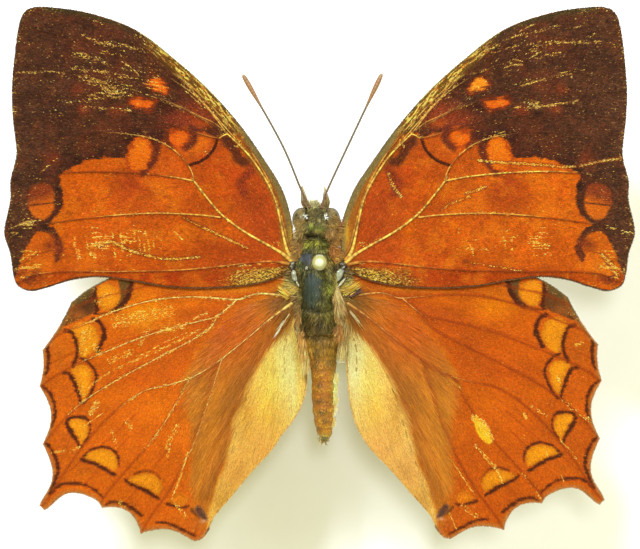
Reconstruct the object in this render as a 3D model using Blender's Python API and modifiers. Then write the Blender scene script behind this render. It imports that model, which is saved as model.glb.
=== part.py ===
"""A pinned and spread four-wing butterfly (charaxes pleione), life size, on its
own pin in a small plain display block.

Metres, +Z up. The origin is on the underside of the block, under the pin.
+Y points to the head, +X to the butterfly's right wings as seen from above.
Lengths below are in millimetres and turned into metres once, by MM.
"""
import math

import bmesh
import bpy
from mathutils import Matrix, Vector
from mathutils.geometry import delaunay_2d_cdt

MM = 0.001

# ---------------------------------------------------------------- main sizes
BASE_LENGTH = 34.0          # display block, along X
BASE_DEPTH = 12.0           # along Y
BASE_HEIGHT = 5.0
BASE_CENTRE_Y = -3.5
BASE_CORNER = 5.0           # radius of the block's upright corners
BASE_EDGE = 0.45            # rounding of its top edge

PIN_RADIUS = 0.26
PIN_TIP_Z = 1.2             # the pin's point stands in a blind hole
PIN_TOP_Z = 39.2
PIN_HEAD_RADIUS = 0.70
PIN_HEAD_Z = 39.55
PIN_CLEARANCE = 0.08

BODY_Z = 25.70              # middle height of the thorax
WING_Z = 26.50              # the level between fore and hind wings
WING_THICKNESS = 0.50
WING_STEP = 0.32            # fore wing above, hind wing below that level
WING_DIHEDRAL = 0.020       # rise of the wings to their tips, mm per mm
WING_GRID = 2.1             # spacing of the wing sheets' inner points

HIND_LEFT_TURN = math.radians(1.3)   # the left hind wing was set a little lower
HIND_HINGE = (2.3, -2.0)

# ---------------------------------------------------- fore wing, right side
# the front edge, from the thorax along the costa to the apex
FORE_COSTA = (
    (2.05, 1.00), (2.25, 2.45), (2.40, 3.90), (3.25, 6.65), (5.00, 9.55),
    (7.02, 12.44), (9.80, 15.58), (12.85, 18.32), (16.45, 21.02),
    (20.65, 22.55), (24.35, 23.08),
)
# the right fore wing is set closer to the head at its root
FORE_COSTA_RIGHT = (
    (1.76, 1.00), (1.82, 2.45), (1.98, 3.90), (3.02, 6.65), (4.92, 9.55),
)
# where the named veins meet the outer edge, with the shallow bays between
FORE_OUTER = {
    "apex_front": (25.80, 23.00), "apex": (26.65, 22.40), "r4": (27.10, 21.05),
    "r5": (27.45, 18.45), "m1": (27.68, 15.40), "m2": (27.55, 12.60),
    "bay_m3": (27.26, 9.80), "cua1": (27.78, 7.45), "bay_cua1": (27.80, 5.60),
    "cua2": (28.35, 2.80), "bay_cua2": (27.82, 0.90), "a2": (27.55, -1.05),
    "tornus": (27.10, -2.10),
}
FORE_HIND_EDGE = (
    (25.85, -2.58), (24.15, -2.20), (22.15, -1.58), (19.85, -1.33),
    (17.00, -1.65), (13.75, -2.20), (10.10, -2.34), (6.35, -2.07),
    (3.80, -1.45), (2.35, -0.65),
)

# ---------------------------------------------------- hind wing, right side
HIND_COSTA = (
    (2.42, -1.15), (4.70, -0.10), (8.60, 0.63), (12.80, 0.70), (16.40, 0.10),
    (19.15, -1.05), (20.95, -2.00), (22.35, -3.05),
)
# toothed outer edge: vein end (x, y), then the bay that follows it:
# its depth and how sharply it leaves this tooth and meets the next
HIND_TEETH = {
    "sc":   ((22.35, -3.05), 0.16, 1.0, 1.0),
    "rs":   ((25.06, -7.30), 0.20, 1.0, 1.0),
    "m1":   ((25.40, -10.55), 0.88, 1.0, 1.0),
    "m2":   ((25.25, -15.75), 1.02, 1.0, 1.5),
    "tail": ((25.66, -21.28), 0.0, 1.0, 1.0),
    "tail_inner": ((25.18, -21.76), 1.46, 1.5, 0.5),
    "cua1": ((20.00, -21.65), 1.00, 0.9, 0.9),
    "cua2": ((16.60, -24.02), 0.68, 1.0, 1.4),
    "a2":   ((11.75, -24.84), 0.0, 1.0, 1.0),
}
HIND_INNER = (
    (11.10, -24.68), (10.45, -23.95), (9.85, -22.70), (8.30, -20.95),
    (6.35, -18.70), (4.40, -16.65), (3.20, -14.60), (2.60, -12.30),
    (2.36, -9.80), (2.26, -7.40), (2.14, -5.30), (2.05, -3.35),
)
# the left wing's folded flap beside the abdomen: middle, half length, width
LEFT_FLAP = (-10.70, 4.80, 1.20)

# --------------------------------------------------------------------- body
# stations along Y: (y, middle x, half width, middle z, half height)
THORAX = (
    (2.18, -0.28, 1.40, 25.95, 1.45), (1.75, -0.26, 1.66, 25.85, 1.75),
    (0.90, -0.22, 1.82, 25.75, 2.10), (-0.30, -0.19, 1.90, 25.70, 2.32),
    (-1.70, -0.19, 1.90, 25.66, 2.42), (-3.10, -0.19, 1.82, 25.66, 2.36),
    (-4.50, -0.16, 1.74, 25.70, 2.15), (-5.60, -0.10, 1.68, 25.74, 1.95),
    (-6.22, -0.05, 1.64, 25.76, 1.84),
)
ABDOMEN = (
    (-6.32, 0.03, 1.66, 25.76, 1.82), (-7.40, 0.12, 1.56, 25.72, 1.70),
    (-8.60, 0.24, 1.40, 25.62, 1.55), (-10.00, 0.32, 1.24, 25.50, 1.42),
    (-11.60, 0.36, 1.18, 25.36, 1.36), (-13.20, 0.40, 1.12, 25.22, 1.26),
    (-14.60, 0.44, 0.95, 25.10, 1.06), (-15.50, 0.48, 0.74, 25.02, 0.82),
    (-15.95, 0.50, 0.50, 24.98, 0.56), (-16.15, 0.50, 0.22, 24.96, 0.26),
)
HEAD_X = -0.30
HEAD = (
    (2.28, HEAD_X, 1.28, 26.00, 1.22), (2.80, HEAD_X, 1.58, 26.02, 1.42),
    (3.50, HEAD_X, 1.74, 26.05, 1.52), (4.15, HEAD_X, 1.66, 26.02, 1.46),
    (4.65, HEAD_X, 1.38, 25.96, 1.24), (4.98, HEAD_X, 0.94, 25.90, 0.86),
    (5.12, HEAD_X, 0.42, 25.88, 0.40),
)
EYE_OFFSET = (1.34, 3.96, 26.12)      # x is counted from the head's middle
EYE_RADII = (0.84, 1.06, 1.24)
EYE_GAP = 0.07

# feelers: base, two points of the shaft and tip, and how thick shaft and club are
ANTENNA = {
    "left": ((-0.93, 5.04, 26.98), (-1.72, 6.75, 27.04), (-3.45, 10.80, 27.22),
             (-6.90, 16.94, 27.55)),
    "right": ((0.14, 5.02, 26.98), (0.80, 6.75, 27.04), (2.68, 10.80, 27.22),
              (5.62, 17.02, 27.55)),
}
SHAFT_RADIUS = 0.25
CLUB_RADIUS = 0.36
CLUB_START = 0.76

# palps: base under the face, the bend in front of it, and the pointed tip
PALP = {
    "left": ((-0.98, 4.25, 24.12), (-1.12, 4.98, 24.36), (-1.34, 5.50, 25.02),
             (-1.46, 6.05, 25.75), (-1.60, 6.88, 26.30)),
    "right": ((0.38, 4.25, 24.12), (0.50, 4.98, 24.36), (0.60, 5.50, 25.02),
              (0.56, 6.05, 25.75), (0.42, 6.82, 26.30)),
}
PALP_RADII = (0.34, 0.42, 0.44, 0.34, 0.13)

# legs, right side, folded under the thorax: hip, knee, heel and toe
LEG = {
    "foreleg": ((0.42, 0.75, 23.08), (0.68, 1.75, 23.42), (0.82, 2.60, 23.86),
                (0.74, 3.20, 24.02), (0.60, 3.38, 23.62), (0.50, 2.90, 23.14),
                (0.44, 2.15, 22.86)),
    "midleg": ((0.58, -1.60, 22.82), (1.16, -0.30, 22.90), (1.58, 0.75, 23.02),
               (1.74, 1.28, 22.78), (1.72, 0.95, 22.30), (1.66, -0.70, 22.12),
               (1.58, -3.20, 22.06), (1.46, -5.40, 22.16), (1.34, -6.90, 22.36)),
    "hindleg": ((0.56, -3.60, 22.86), (0.80, -2.50, 22.58), (0.94, -1.60, 22.28),
                (0.90, -1.20, 21.86), (0.82, -1.60, 21.46), (0.70, -3.30, 21.36),
                (0.58, -5.70, 21.52), (0.50, -7.60, 21.86), (0.46, -8.80, 22.16)),
}
LEG_RADIUS = 0.27

COLOURS = {                     # colour, roughness, metallic
    "scales_fore": ((0.36, 0.10, 0.025, 1), 0.62, 0.0),
    "scales_hind": ((0.50, 0.17, 0.03, 1), 0.62, 0.0),
    "hair_thorax": ((0.12, 0.11, 0.035, 1), 0.80, 0.0),
    "hair_abdomen": ((0.30, 0.13, 0.035, 1), 0.80, 0.0),
    "eye": ((0.10, 0.08, 0.03, 1), 0.22, 0.0),
    "feeler": ((0.10, 0.045, 0.025, 1), 0.55, 0.0),
    "steel": ((0.62, 0.56, 0.42, 1), 0.28, 1.0),
    "pin_head": ((0.78, 0.76, 0.48, 1), 0.22, 0.0),
    "block": ((0.86, 0.85, 0.82, 1), 0.45, 0.0),
}


# ------------------------------------------------------------------- helpers
def spline(points, steps=5):
    """Points of a smooth curve through all the given ones (2-D or 3-D)."""
    pts = [Vector(p) for p in points]
    pts = [2 * pts[0] - pts[1]] + pts + [2 * pts[-1] - pts[-2]]
    out = []
    for a, b, c, d in zip(pts, pts[1:], pts[2:], pts[3:]):
        for i in range(steps):
            t = i / steps
            out.append(0.5 * (2 * b + (c - a) * t
                              + (2 * a - 5 * b + 4 * c - d) * t * t
                              + (3 * b - a - 3 * c + d) * t * t * t))
    out.append(pts[-2])
    return out


def material(name):
    mat = bpy.data.materials.get(name)
    if mat is None:
        colour, rough, metal = COLOURS[name]
        mat = bpy.data.materials.new(name)
        mat.use_nodes = True
        shader = mat.node_tree.nodes["Principled BSDF"]
        shader.inputs["Base Color"].default_value = colour
        shader.inputs["Roughness"].default_value = rough
        shader.inputs["Metallic"].default_value = metal
        mat.diffuse_color = colour
    return mat


def add_object(name, mesh, mat, collection, smooth=True):
    obj = bpy.data.objects.new(name, mesh)
    collection.objects.link(obj)
    mesh.materials.clear()
    mesh.materials.append(material(mat))
    if smooth:
        mesh.shade_smooth()
        mesh.set_sharp_from_angle(angle=math.radians(50))
    return obj


def mesh_from_bmesh(name, bm):
    bmesh.ops.recalc_face_normals(bm, faces=bm.faces[:])
    mesh = bpy.data.meshes.new(name)
    bm.to_mesh(mesh)
    bm.free()
    return mesh


def cutter(name, mesh, collection):
    obj = bpy.data.objects.new(name, mesh)
    collection.objects.link(obj)
    obj.hide_render = True
    obj.display_type = "WIRE"
    return obj


def subtract(obj, tool):
    mod = obj.modifiers.new("cut_" + tool.name, "BOOLEAN")
    mod.operation = "DIFFERENCE"
    mod.solver = "EXACT"
    mod.object = tool


# --------------------------------------------------------------------- wings
def wing_level(x, y):
    """Height of the level between the two pairs of wings, in mm."""
    out = abs(x)
    wave = 0.10 * math.sin(0.42 * out + 0.35 * y + 0.6) * min(1.0, out / 12.0)
    return WING_Z + WING_DIHEDRAL * (out - 2.0) + wave


def fore_height(x, y):
    return wing_level(x, y) + WING_STEP


def hind_height(x, y):
    """The hind wing sinks along the abdomen, as a spread wing does."""
    run = min(1.0, max(0.0, (-4.2 - y) / 5.0))
    run = run * run * (3 - 2 * run)
    sink = 1.05 * run * math.exp(-((abs(x) - 1.3) / 2.6) ** 2)
    return wing_level(x, y) - WING_STEP - sink


def fore_outline(side):
    costa = FORE_COSTA_RIGHT + FORE_COSTA[5:] if side > 0 else FORE_COSTA
    ring = list(costa) + list(FORE_OUTER.values()) + list(FORE_HIND_EDGE)
    return [(p.x, p.y) for p in spline(ring, 3)]


def toothed_edge(steps=8):
    """The hind wing's teeth and the bays between them."""
    teeth = list(HIND_TEETH.values())
    out = []
    for (a, depth, leave, meet), nxt in zip(teeth, teeth[1:]):
        a, b = Vector(a), Vector(nxt[0])
        along = b - a
        inward = Vector((along.y, -along.x)).normalized()
        for i in range(steps):
            t = i / steps
            sharp = leave * (1 - t) + meet * t
            dip = depth * math.sin(math.pi * t) ** sharp if t > 0 else 0.0
            out.append(a + along * t + inward * dip)
    out.append(Vector(teeth[-1][0]))
    return out


def hind_outline(side):
    ring = [(p.x, p.y) for p in spline(HIND_COSTA, 3)[:-1]]
    ring += [(p.x, p.y) for p in toothed_edge()]
    inner = [(p.x, p.y) for p in spline((HIND_TEETH["a2"][0],) + HIND_INNER, 3)[1:]]
    if side < 0:
        mid, half, width = LEFT_FLAP
        shaped = []
        for x, y in inner:
            s = (y - mid) / half
            if abs(s) < 1:
                x -= width * (1 - s * s) ** 1.15
            shaped.append((x, y))
        inner = shaped
    ring += inner
    if side < 0:
        c, s = math.cos(HIND_LEFT_TURN), math.sin(HIND_LEFT_TURN)
        hx, hy = HIND_HINGE
        ring = [(hx + (x - hx) * c + (y - hy) * s,
                 hy - (x - hx) * s + (y - hy) * c) for x, y in ring]
    return ring


def inside(x, y, ring):
    hit = False
    for (x1, y1), (x2, y2) in zip(ring, ring[1:] + ring[:1]):
        if (y1 > y) != (y2 > y) and x < (x2 - x1) * (y - y1) / (y2 - y1) + x1:
            hit = not hit
    return hit


def edge_distance(x, y, ring):
    best = 1e9
    for (x1, y1), (x2, y2) in zip(ring, ring[1:] + ring[:1]):
        dx, dy = x2 - x1, y2 - y1
        t = max(0.0, min(1.0, ((x - x1) * dx + (y - y1) * dy)
                         / (dx * dx + dy * dy + 1e-12)))
        best = min(best, math.hypot(x - x1 - t * dx, y - y1 - t * dy))
    return best


def wing(name, ring, height, side, mat, collection):
    """A sheet filling the outline, bent to its height, then given thickness."""
    points = [Vector(p) for p in ring]
    n = len(points)
    xs = [p[0] for p in ring]
    ys = [p[1] for p in ring]
    row, y = 0, min(ys)
    while y < max(ys):
        x = min(xs) + (WING_GRID / 2 if row % 2 else 0.0)
        while x < max(xs):
            if inside(x, y, ring) and edge_distance(x, y, ring) > 0.55 * WING_GRID:
                points.append(Vector((x, y)))
            x += WING_GRID
        y += WING_GRID * math.sqrt(3) / 2
        row += 1
    edges = [(i, (i + 1) % n) for i in range(n)]
    verts, _, faces, _, _, _ = delaunay_2d_cdt(points, edges, [], 1, 1e-4)
    bm = bmesh.new()
    made = [bm.verts.new((side * v.x * MM, v.y * MM, height(v.x, v.y) * MM))
            for v in verts]
    for face in faces:
        bm.faces.new([made[i] for i in face])
    bmesh.ops.recalc_face_normals(bm, faces=bm.faces[:])
    if sum(f.normal.z for f in bm.faces) < 0:
        bmesh.ops.reverse_faces(bm, faces=bm.faces[:])
    mesh = bpy.data.meshes.new(name)
    bm.to_mesh(mesh)
    bm.free()
    obj = add_object(name, mesh, mat, collection, smooth=False)
    mod = obj.modifiers.new("thickness", "SOLIDIFY")
    mod.thickness = WING_THICKNESS * MM
    mod.offset = 0.0
    return obj


# ---------------------------------------------------------------------- body
def loft(name, stations, around, steps, grow=0.0):
    """A body of oval sections along Y, closed at both ends."""
    rows = spline([Vector(s[:4]) for s in stations], steps)
    heights = spline([Vector((s[0], s[4])) for s in stations], steps)
    bm = bmesh.new()
    rings = []
    for r, h in zip(rows, heights):
        y, cx, half_w, cz = r
        half_h = h[1]
        ring = []
        for i in range(around):
            a = 2 * math.pi * i / around
            ring.append(bm.verts.new(((cx + (half_w + grow) * math.cos(a)) * MM,
                                      y * MM,
                                      (cz + (half_h + grow) * math.sin(a)) * MM)))
        rings.append(ring)
    for a, b in zip(rings, rings[1:]):
        for i in range(around):
            j = (i + 1) % around
            bm.faces.new((a[i], a[j], b[j], b[i]))
    bm.faces.new(rings[0])
    bm.faces.new(rings[-1])
    return mesh_from_bmesh(name, bm)


def oval(name, centre, radii, rings, grow=0.0):
    bm = bmesh.new()
    bmesh.ops.create_uvsphere(bm, u_segments=rings * 2, v_segments=rings, radius=1.0)
    size = Matrix.Diagonal([(r + grow) * MM for r in radii] + [1.0])
    bmesh.ops.transform(bm, matrix=Matrix.Translation(Vector(centre) * MM) @ size,
                        verts=bm.verts[:])
    return mesh_from_bmesh(name, bm)


def rod(name, x, y, z_low, z_high, radius, sides):
    bm = bmesh.new()
    bmesh.ops.create_cone(bm, cap_ends=True, segments=sides, radius1=radius * MM,
                          radius2=radius * MM, depth=(z_high - z_low) * MM)
    bmesh.ops.translate(bm, vec=Vector((x, y, (z_low + z_high) / 2)) * MM,
                        verts=bm.verts[:])
    return mesh_from_bmesh(name, bm)


def tube(name, points, radii, mat, collection, resolution=2):
    """A round tube along the points, made a mesh with welded caps."""
    data = bpy.data.curves.new(name + "_line", "CURVE")
    data.dimensions = "3D"
    data.bevel_depth = 1.0 * MM
    data.bevel_resolution = resolution
    data.use_fill_caps = True
    line = data.splines.new("POLY")
    line.points.add(len(points) - 1)
    for slot, p, r in zip(line.points, points, radii):
        slot.co = (p[0] * MM, p[1] * MM, p[2] * MM, 1.0)
        slot.radius = r
    guide = bpy.data.objects.new(name + "_line", data)
    collection.objects.link(guide)
    shot = guide.evaluated_get(bpy.context.evaluated_depsgraph_get())
    mesh = bpy.data.meshes.new_from_object(shot)
    bm = bmesh.new()
    bm.from_mesh(mesh)
    bmesh.ops.remove_doubles(bm, verts=bm.verts[:], dist=0.00001)
    bmesh.ops.recalc_face_normals(bm, faces=bm.faces[:])
    bm.to_mesh(mesh)
    bm.free()
    bpy.data.objects.remove(guide, do_unlink=True)
    return add_object(name, mesh, mat, collection)


def eased(values, count):
    """The given values spread evenly over count samples."""
    out = []
    for i in range(count):
        t = i / (count - 1) * (len(values) - 1)
        k = min(int(t), len(values) - 2)
        out.append(values[k] + (values[k + 1] - values[k]) * (t - k))
    return out


def main():
    for obj in list(bpy.data.objects):
        bpy.data.objects.remove(obj, do_unlink=True)
    scene = bpy.context.scene
    model = bpy.data.collections.new("charaxes_pleione")
    tools = bpy.data.collections.new("cutters")
    scene.collection.children.link(model)
    scene.collection.children.link(tools)
    root = bpy.data.objects.new("specimen_frame", None)
    model.objects.link(root)

    # wings
    for side, word in ((1, "right"), (-1, "left")):
        wing("forewing_" + word, fore_outline(side), fore_height, side, "scales_fore", model)
        wing("hindwing_" + word, hind_outline(side), hind_height, side,
             "scales_hind", model)

    # trunk, with the pin's hole down through it
    thorax = add_object("thorax", loft("thorax", THORAX, 24, 1), "hair_thorax", model)
    hole = cutter("pin_hole", rod("pin_hole", 0, 0, 20.0, 32.0,
                                  PIN_RADIUS + PIN_CLEARANCE, 12), tools)
    subtract(thorax, hole)
    add_object("abdomen", loft("abdomen", ABDOMEN, 20, 1), "hair_abdomen", model)

    # head with its two sockets, and the eyes that fill them
    head = add_object("head", loft("head", HEAD, 24, 1), "hair_thorax", model)
    for side, word in ((1, "right"), (-1, "left")):
        dx, y, z = EYE_OFFSET
        centre = (HEAD_X + side * dx, y, z)
        add_object("eye_" + word, oval("eye_" + word, centre, EYE_RADII, 9), "eye", model)
        socket = cutter("socket_" + word,
                        oval("socket_" + word, centre, EYE_RADII, 9, EYE_GAP), tools)
        subtract(head, socket)

    # feelers and palps
    for word in ("left", "right"):
        line = spline(ANTENNA[word], 8)
        radii = []
        for i in range(len(line)):
            t = i / (len(line) - 1)
            club = 0.0
            if t > CLUB_START:
                u = (t - CLUB_START) / (1 - CLUB_START)
                club = math.sin(math.pi * min(1.0, u * 0.86 + 0.02)) ** 0.7
            radii.append(SHAFT_RADIUS + (CLUB_RADIUS - SHAFT_RADIUS) * club)
        tube("antenna_" + word, line, radii, "feeler", model, 1)
        line = spline(PALP[word], 3)
        tube("palp_" + word, line, eased(PALP_RADII, len(line)), "hair_abdomen", model, 2)

    # legs
    for kind, joints in LEG.items():
        line = spline(joints, 3)
        count = len(line)
        radii = eased((LEG_RADIUS, LEG_RADIUS, LEG_RADIUS, LEG_RADIUS * 0.94), count)
        for side, word in ((1, "right"), (-1, "left")):
            path = [(side * p.x - 0.03, p.y, p.z) for p in line]
            tube(kind + "_" + word, path, radii, "feeler", model, 1)

    # the display block, the pin and its round head
    bpy.ops.mesh.primitive_cube_add(size=1.0)
    block = bpy.context.active_object
    block.name = block.data.name = "stand_base"
    for owner in list(block.users_collection):
        owner.objects.unlink(block)
    model.objects.link(block)
    block.data.transform(Matrix.Translation(Vector((0, BASE_CENTRE_Y, BASE_HEIGHT / 2)) * MM)
                         @ Matrix.Diagonal((BASE_LENGTH * MM, BASE_DEPTH * MM,
                                            BASE_HEIGHT * MM, 1.0)))
    block.data.materials.append(material("block"))
    bm = bmesh.new()
    bm.from_mesh(block.data)
    upright = [e for e in bm.edges
               if abs(e.verts[0].co.z - e.verts[1].co.z) > 0.001]
    bmesh.ops.bevel(bm, geom=upright, offset=BASE_CORNER * MM, segments=8,
                    affect="EDGES", profile=0.5)
    top = [e for e in bm.edges
           if min(v.co.z for v in e.verts) > (BASE_HEIGHT - 0.01) * MM]
    bmesh.ops.bevel(bm, geom=top, offset=BASE_EDGE * MM, segments=2,
                    affect="EDGES", profile=0.5)
    bmesh.ops.recalc_face_normals(bm, faces=bm.faces[:])
    bm.to_mesh(block.data)
    bm.free()
    well = cutter("pin_well", rod("pin_well", 0, 0, PIN_TIP_Z - 0.2, BASE_HEIGHT + 2,
                                  PIN_RADIUS + PIN_CLEARANCE, 12), tools)
    subtract(block, well)

    profile = bpy.data.meshes.new("stand_pin")
    outline = [(0.0, PIN_TOP_Z), (PIN_RADIUS, PIN_TOP_Z), (PIN_RADIUS, PIN_TIP_Z + 1.6),
               (PIN_RADIUS * 0.55, PIN_TIP_Z + 0.6), (0.06, PIN_TIP_Z), (0.0, PIN_TIP_Z)]
    profile.from_pydata([(r * MM, 0, z * MM) for r, z in outline],
                        [(i, i + 1) for i in range(len(outline) - 1)], [])
    pin = add_object("stand_pin", profile, "steel", model, smooth=False)
    turn = pin.modifiers.new("turn", "SCREW")
    turn.angle = 2 * math.pi
    turn.steps = turn.render_steps = 12
    turn.use_merge_vertices = True
    turn.merge_threshold = 0.000005
    turn.use_smooth_shade = True

    ball = add_object("stand_pin_head", oval("stand_pin_head", (0, 0, PIN_HEAD_Z),
                                             (PIN_HEAD_RADIUS,) * 3, 9), "pin_head", model)
    drill = cutter("head_hole", rod("head_hole", 0, 0, PIN_HEAD_Z - 2,
                                    PIN_TOP_Z + PIN_CLEARANCE,
                                    PIN_RADIUS + PIN_CLEARANCE, 12), tools)
    subtract(ball, drill)

    for obj in model.objects:
        if obj is not root:
            obj.parent = root


main()
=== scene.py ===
"""Looks of a pinned, spread butterfly (charaxes pleione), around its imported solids.

Lengths are in millimetres until a mesh is written. Places of the wing pattern
are given in the photograph's pixels, PX millimetres each, counted from the pin;
the right wings carry the plan and the left ones are its mirror image, with the
few marks that only one side has.
"""
import math

import bmesh
import bpy
import numpy as np
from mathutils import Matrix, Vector
from mathutils.geometry import delaunay_2d_cdt


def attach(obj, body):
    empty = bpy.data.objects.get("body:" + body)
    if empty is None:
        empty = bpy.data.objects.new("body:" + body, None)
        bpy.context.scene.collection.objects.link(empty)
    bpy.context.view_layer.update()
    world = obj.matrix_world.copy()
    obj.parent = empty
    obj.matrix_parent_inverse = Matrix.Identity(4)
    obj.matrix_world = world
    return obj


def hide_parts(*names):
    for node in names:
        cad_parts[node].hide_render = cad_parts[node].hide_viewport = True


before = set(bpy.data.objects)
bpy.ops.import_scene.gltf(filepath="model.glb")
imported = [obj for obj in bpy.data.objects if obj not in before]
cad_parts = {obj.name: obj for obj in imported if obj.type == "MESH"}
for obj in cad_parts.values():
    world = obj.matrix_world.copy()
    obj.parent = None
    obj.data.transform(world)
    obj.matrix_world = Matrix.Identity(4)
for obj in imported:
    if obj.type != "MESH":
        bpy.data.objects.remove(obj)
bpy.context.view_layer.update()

MM = 0.001
PX = 0.09
PIN_PX = (319.5, 263.0)
GAIN = 0.58                 # painted colours are darkened by this against the light

# ------------------------------------------------------------ sizes of the part
WING_Z = 26.50
WING_STEP = 0.32
WING_DIHEDRAL = 0.020
HIND_LEFT_TURN = math.radians(1.3)
HIND_HINGE = (2.3, -2.0)

FORE_COSTA = (
    (2.05, 1.00), (2.25, 2.45), (2.40, 3.90), (3.25, 6.65), (5.00, 9.55),
    (7.02, 12.44), (9.80, 15.58), (12.85, 18.32), (16.45, 21.02),
    (20.65, 22.55), (24.35, 23.08),
)
FORE_COSTA_RIGHT = (
    (1.76, 1.00), (1.82, 2.45), (1.98, 3.90), (3.02, 6.65), (4.92, 9.55),
)
FORE_OUTER = (
    (25.80, 23.00), (26.65, 22.40), (27.10, 21.05), (27.45, 18.45), (27.68, 15.40),
    (27.55, 12.60), (27.26, 9.80), (27.78, 7.45), (27.80, 5.60), (28.35, 2.80),
    (27.82, 0.90), (27.55, -1.05), (27.10, -2.10),
)
FORE_HIND_EDGE = (
    (25.85, -2.58), (24.15, -2.20), (22.15, -1.58), (19.85, -1.33),
    (17.00, -1.65), (13.75, -2.20), (10.10, -2.34), (6.35, -2.07),
    (3.80, -1.45), (2.35, -0.65),
)
HIND_COSTA = (
    (2.42, -1.15), (4.70, -0.10), (8.60, 0.63), (12.80, 0.70), (16.40, 0.10),
    (19.15, -1.05), (20.95, -2.00), (22.35, -3.05),
)
HIND_TEETH = (
    ((22.35, -3.05), 0.16, 1.0, 1.0), ((25.06, -7.30), 0.20, 1.0, 1.0),
    ((25.40, -10.55), 0.88, 1.0, 1.0), ((25.25, -15.75), 1.02, 1.0, 1.5),
    ((25.66, -21.28), 0.0, 1.0, 1.0),
    ((25.18, -21.76), 1.46, 1.5, 0.5), ((20.00, -21.65), 1.00, 0.9, 0.9),
    ((16.60, -24.02), 0.68, 1.0, 1.4), ((11.75, -24.84), 0.0, 1.0, 1.0),
)
HIND_INNER = (
    (11.10, -24.68), (10.45, -23.95), (9.85, -22.70), (8.30, -20.95),
    (6.35, -18.70), (4.40, -16.65), (3.20, -14.60), (2.60, -12.30),
    (2.36, -9.80), (2.26, -7.40), (2.14, -5.30), (2.05, -3.35),
)
LEFT_FLAP = (-10.70, 4.80, 1.20)


# ------------------------------------------------------------------ small maths
def sst(a, b, x):
    t = np.clip((x - a) / (b - a), 0.0, 1.0)
    return t * t * (3.0 - 2.0 * t)


def rgb(r, g, b):
    return np.array([r, g, b], float) / 255.0


def linear(c):
    c = np.clip(c, 0.0, 1.0)
    return np.where(c <= 0.04045, c / 12.92, ((c + 0.055) / 1.055) ** 2.4)


def hash01(ix, iy, seed):
    h = (ix * 374761393 + iy * 668265263 + seed * 974634777) & 0xFFFFFFFF
    h = ((h ^ (h >> 13)) * 1274126177) & 0xFFFFFFFF
    return ((h ^ (h >> 16)) & 0xFFFFFF) / 16777216.0


def noise(x, y, cell, seed=0):
    """Smooth value noise from 0 to 1, cell millimetres a step."""
    u, v = np.asarray(x) / cell, np.asarray(y) / cell
    i, j = np.floor(u).astype(np.int64), np.floor(v).astype(np.int64)
    fu, fv = u - i, v - j
    fu, fv = fu * fu * (3 - 2 * fu), fv * fv * (3 - 2 * fv)
    a, b = hash01(i, j, seed), hash01(i + 1, j, seed)
    c, d = hash01(i, j + 1, seed), hash01(i + 1, j + 1, seed)
    return a + (b - a) * fu + (c - a) * fv + (a - b - c + d) * fu * fv


def fbm(x, y, cell, seed=0, octaves=3):
    total, weight = 0.0, 0.0
    for k in range(octaves):
        w = 0.55 ** k
        total = total + w * noise(x, y, cell / 2.0 ** k, seed + 17 * k)
        weight += w
    return total / weight


def spline(points, steps):
    """Uniform Catmull-Rom through the points, as the solids are drawn."""
    p = np.array(points, float)
    p = np.vstack([2 * p[0] - p[1], p, 2 * p[-1] - p[-2]])
    out = []
    for a, b, c, d in zip(p, p[1:], p[2:], p[3:]):
        t = (np.arange(steps) / steps)[:, None]
        out.append(0.5 * (2 * b + (c - a) * t + (2 * a - 5 * b + 4 * c - d) * t * t
                          + (3 * b - a - 3 * c + d) * t ** 3))
    out.append(p[-2][None])
    return np.vstack(out)


def resample(line, step, closed=False):
    line = np.asarray(line, float)
    if closed:
        line = np.vstack([line, line[:1]])
    seg = np.hypot(*np.diff(line, axis=0).T)
    s = np.concatenate([[0], np.cumsum(seg)])
    n = max(2, int(round(s[-1] / step)) + 1)
    t = np.linspace(0, s[-1], n)
    out = np.stack([np.interp(t, s, line[:, k]) for k in range(line.shape[1])], 1)
    return out[:-1] if closed else out


def P(*pts):
    """Photograph pixels to millimetres from the pin."""
    a = np.array(pts, float)
    return np.stack([(a[:, 0] - PIN_PX[0]) * PX, (PIN_PX[1] - a[:, 1]) * PX], 1)


def PL(*pts):
    """Pixels read on the left fore wing, brought over to the right one."""
    a = np.array(pts, float)
    a[:, 0] = 2 * PIN_PX[0] - a[:, 0]
    return P(*a)


def PLH(*pts):
    """Pixels read on the left hind wing, brought over and turned back."""
    a = PL(*pts)
    c, s = math.cos(HIND_LEFT_TURN), math.sin(HIND_LEFT_TURN)
    x, y = a[:, 0] - HIND_HINGE[0], a[:, 1] - HIND_HINGE[1]
    return np.stack([HIND_HINGE[0] + x * c - y * s, HIND_HINGE[1] + x * s + y * c], 1)


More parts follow.
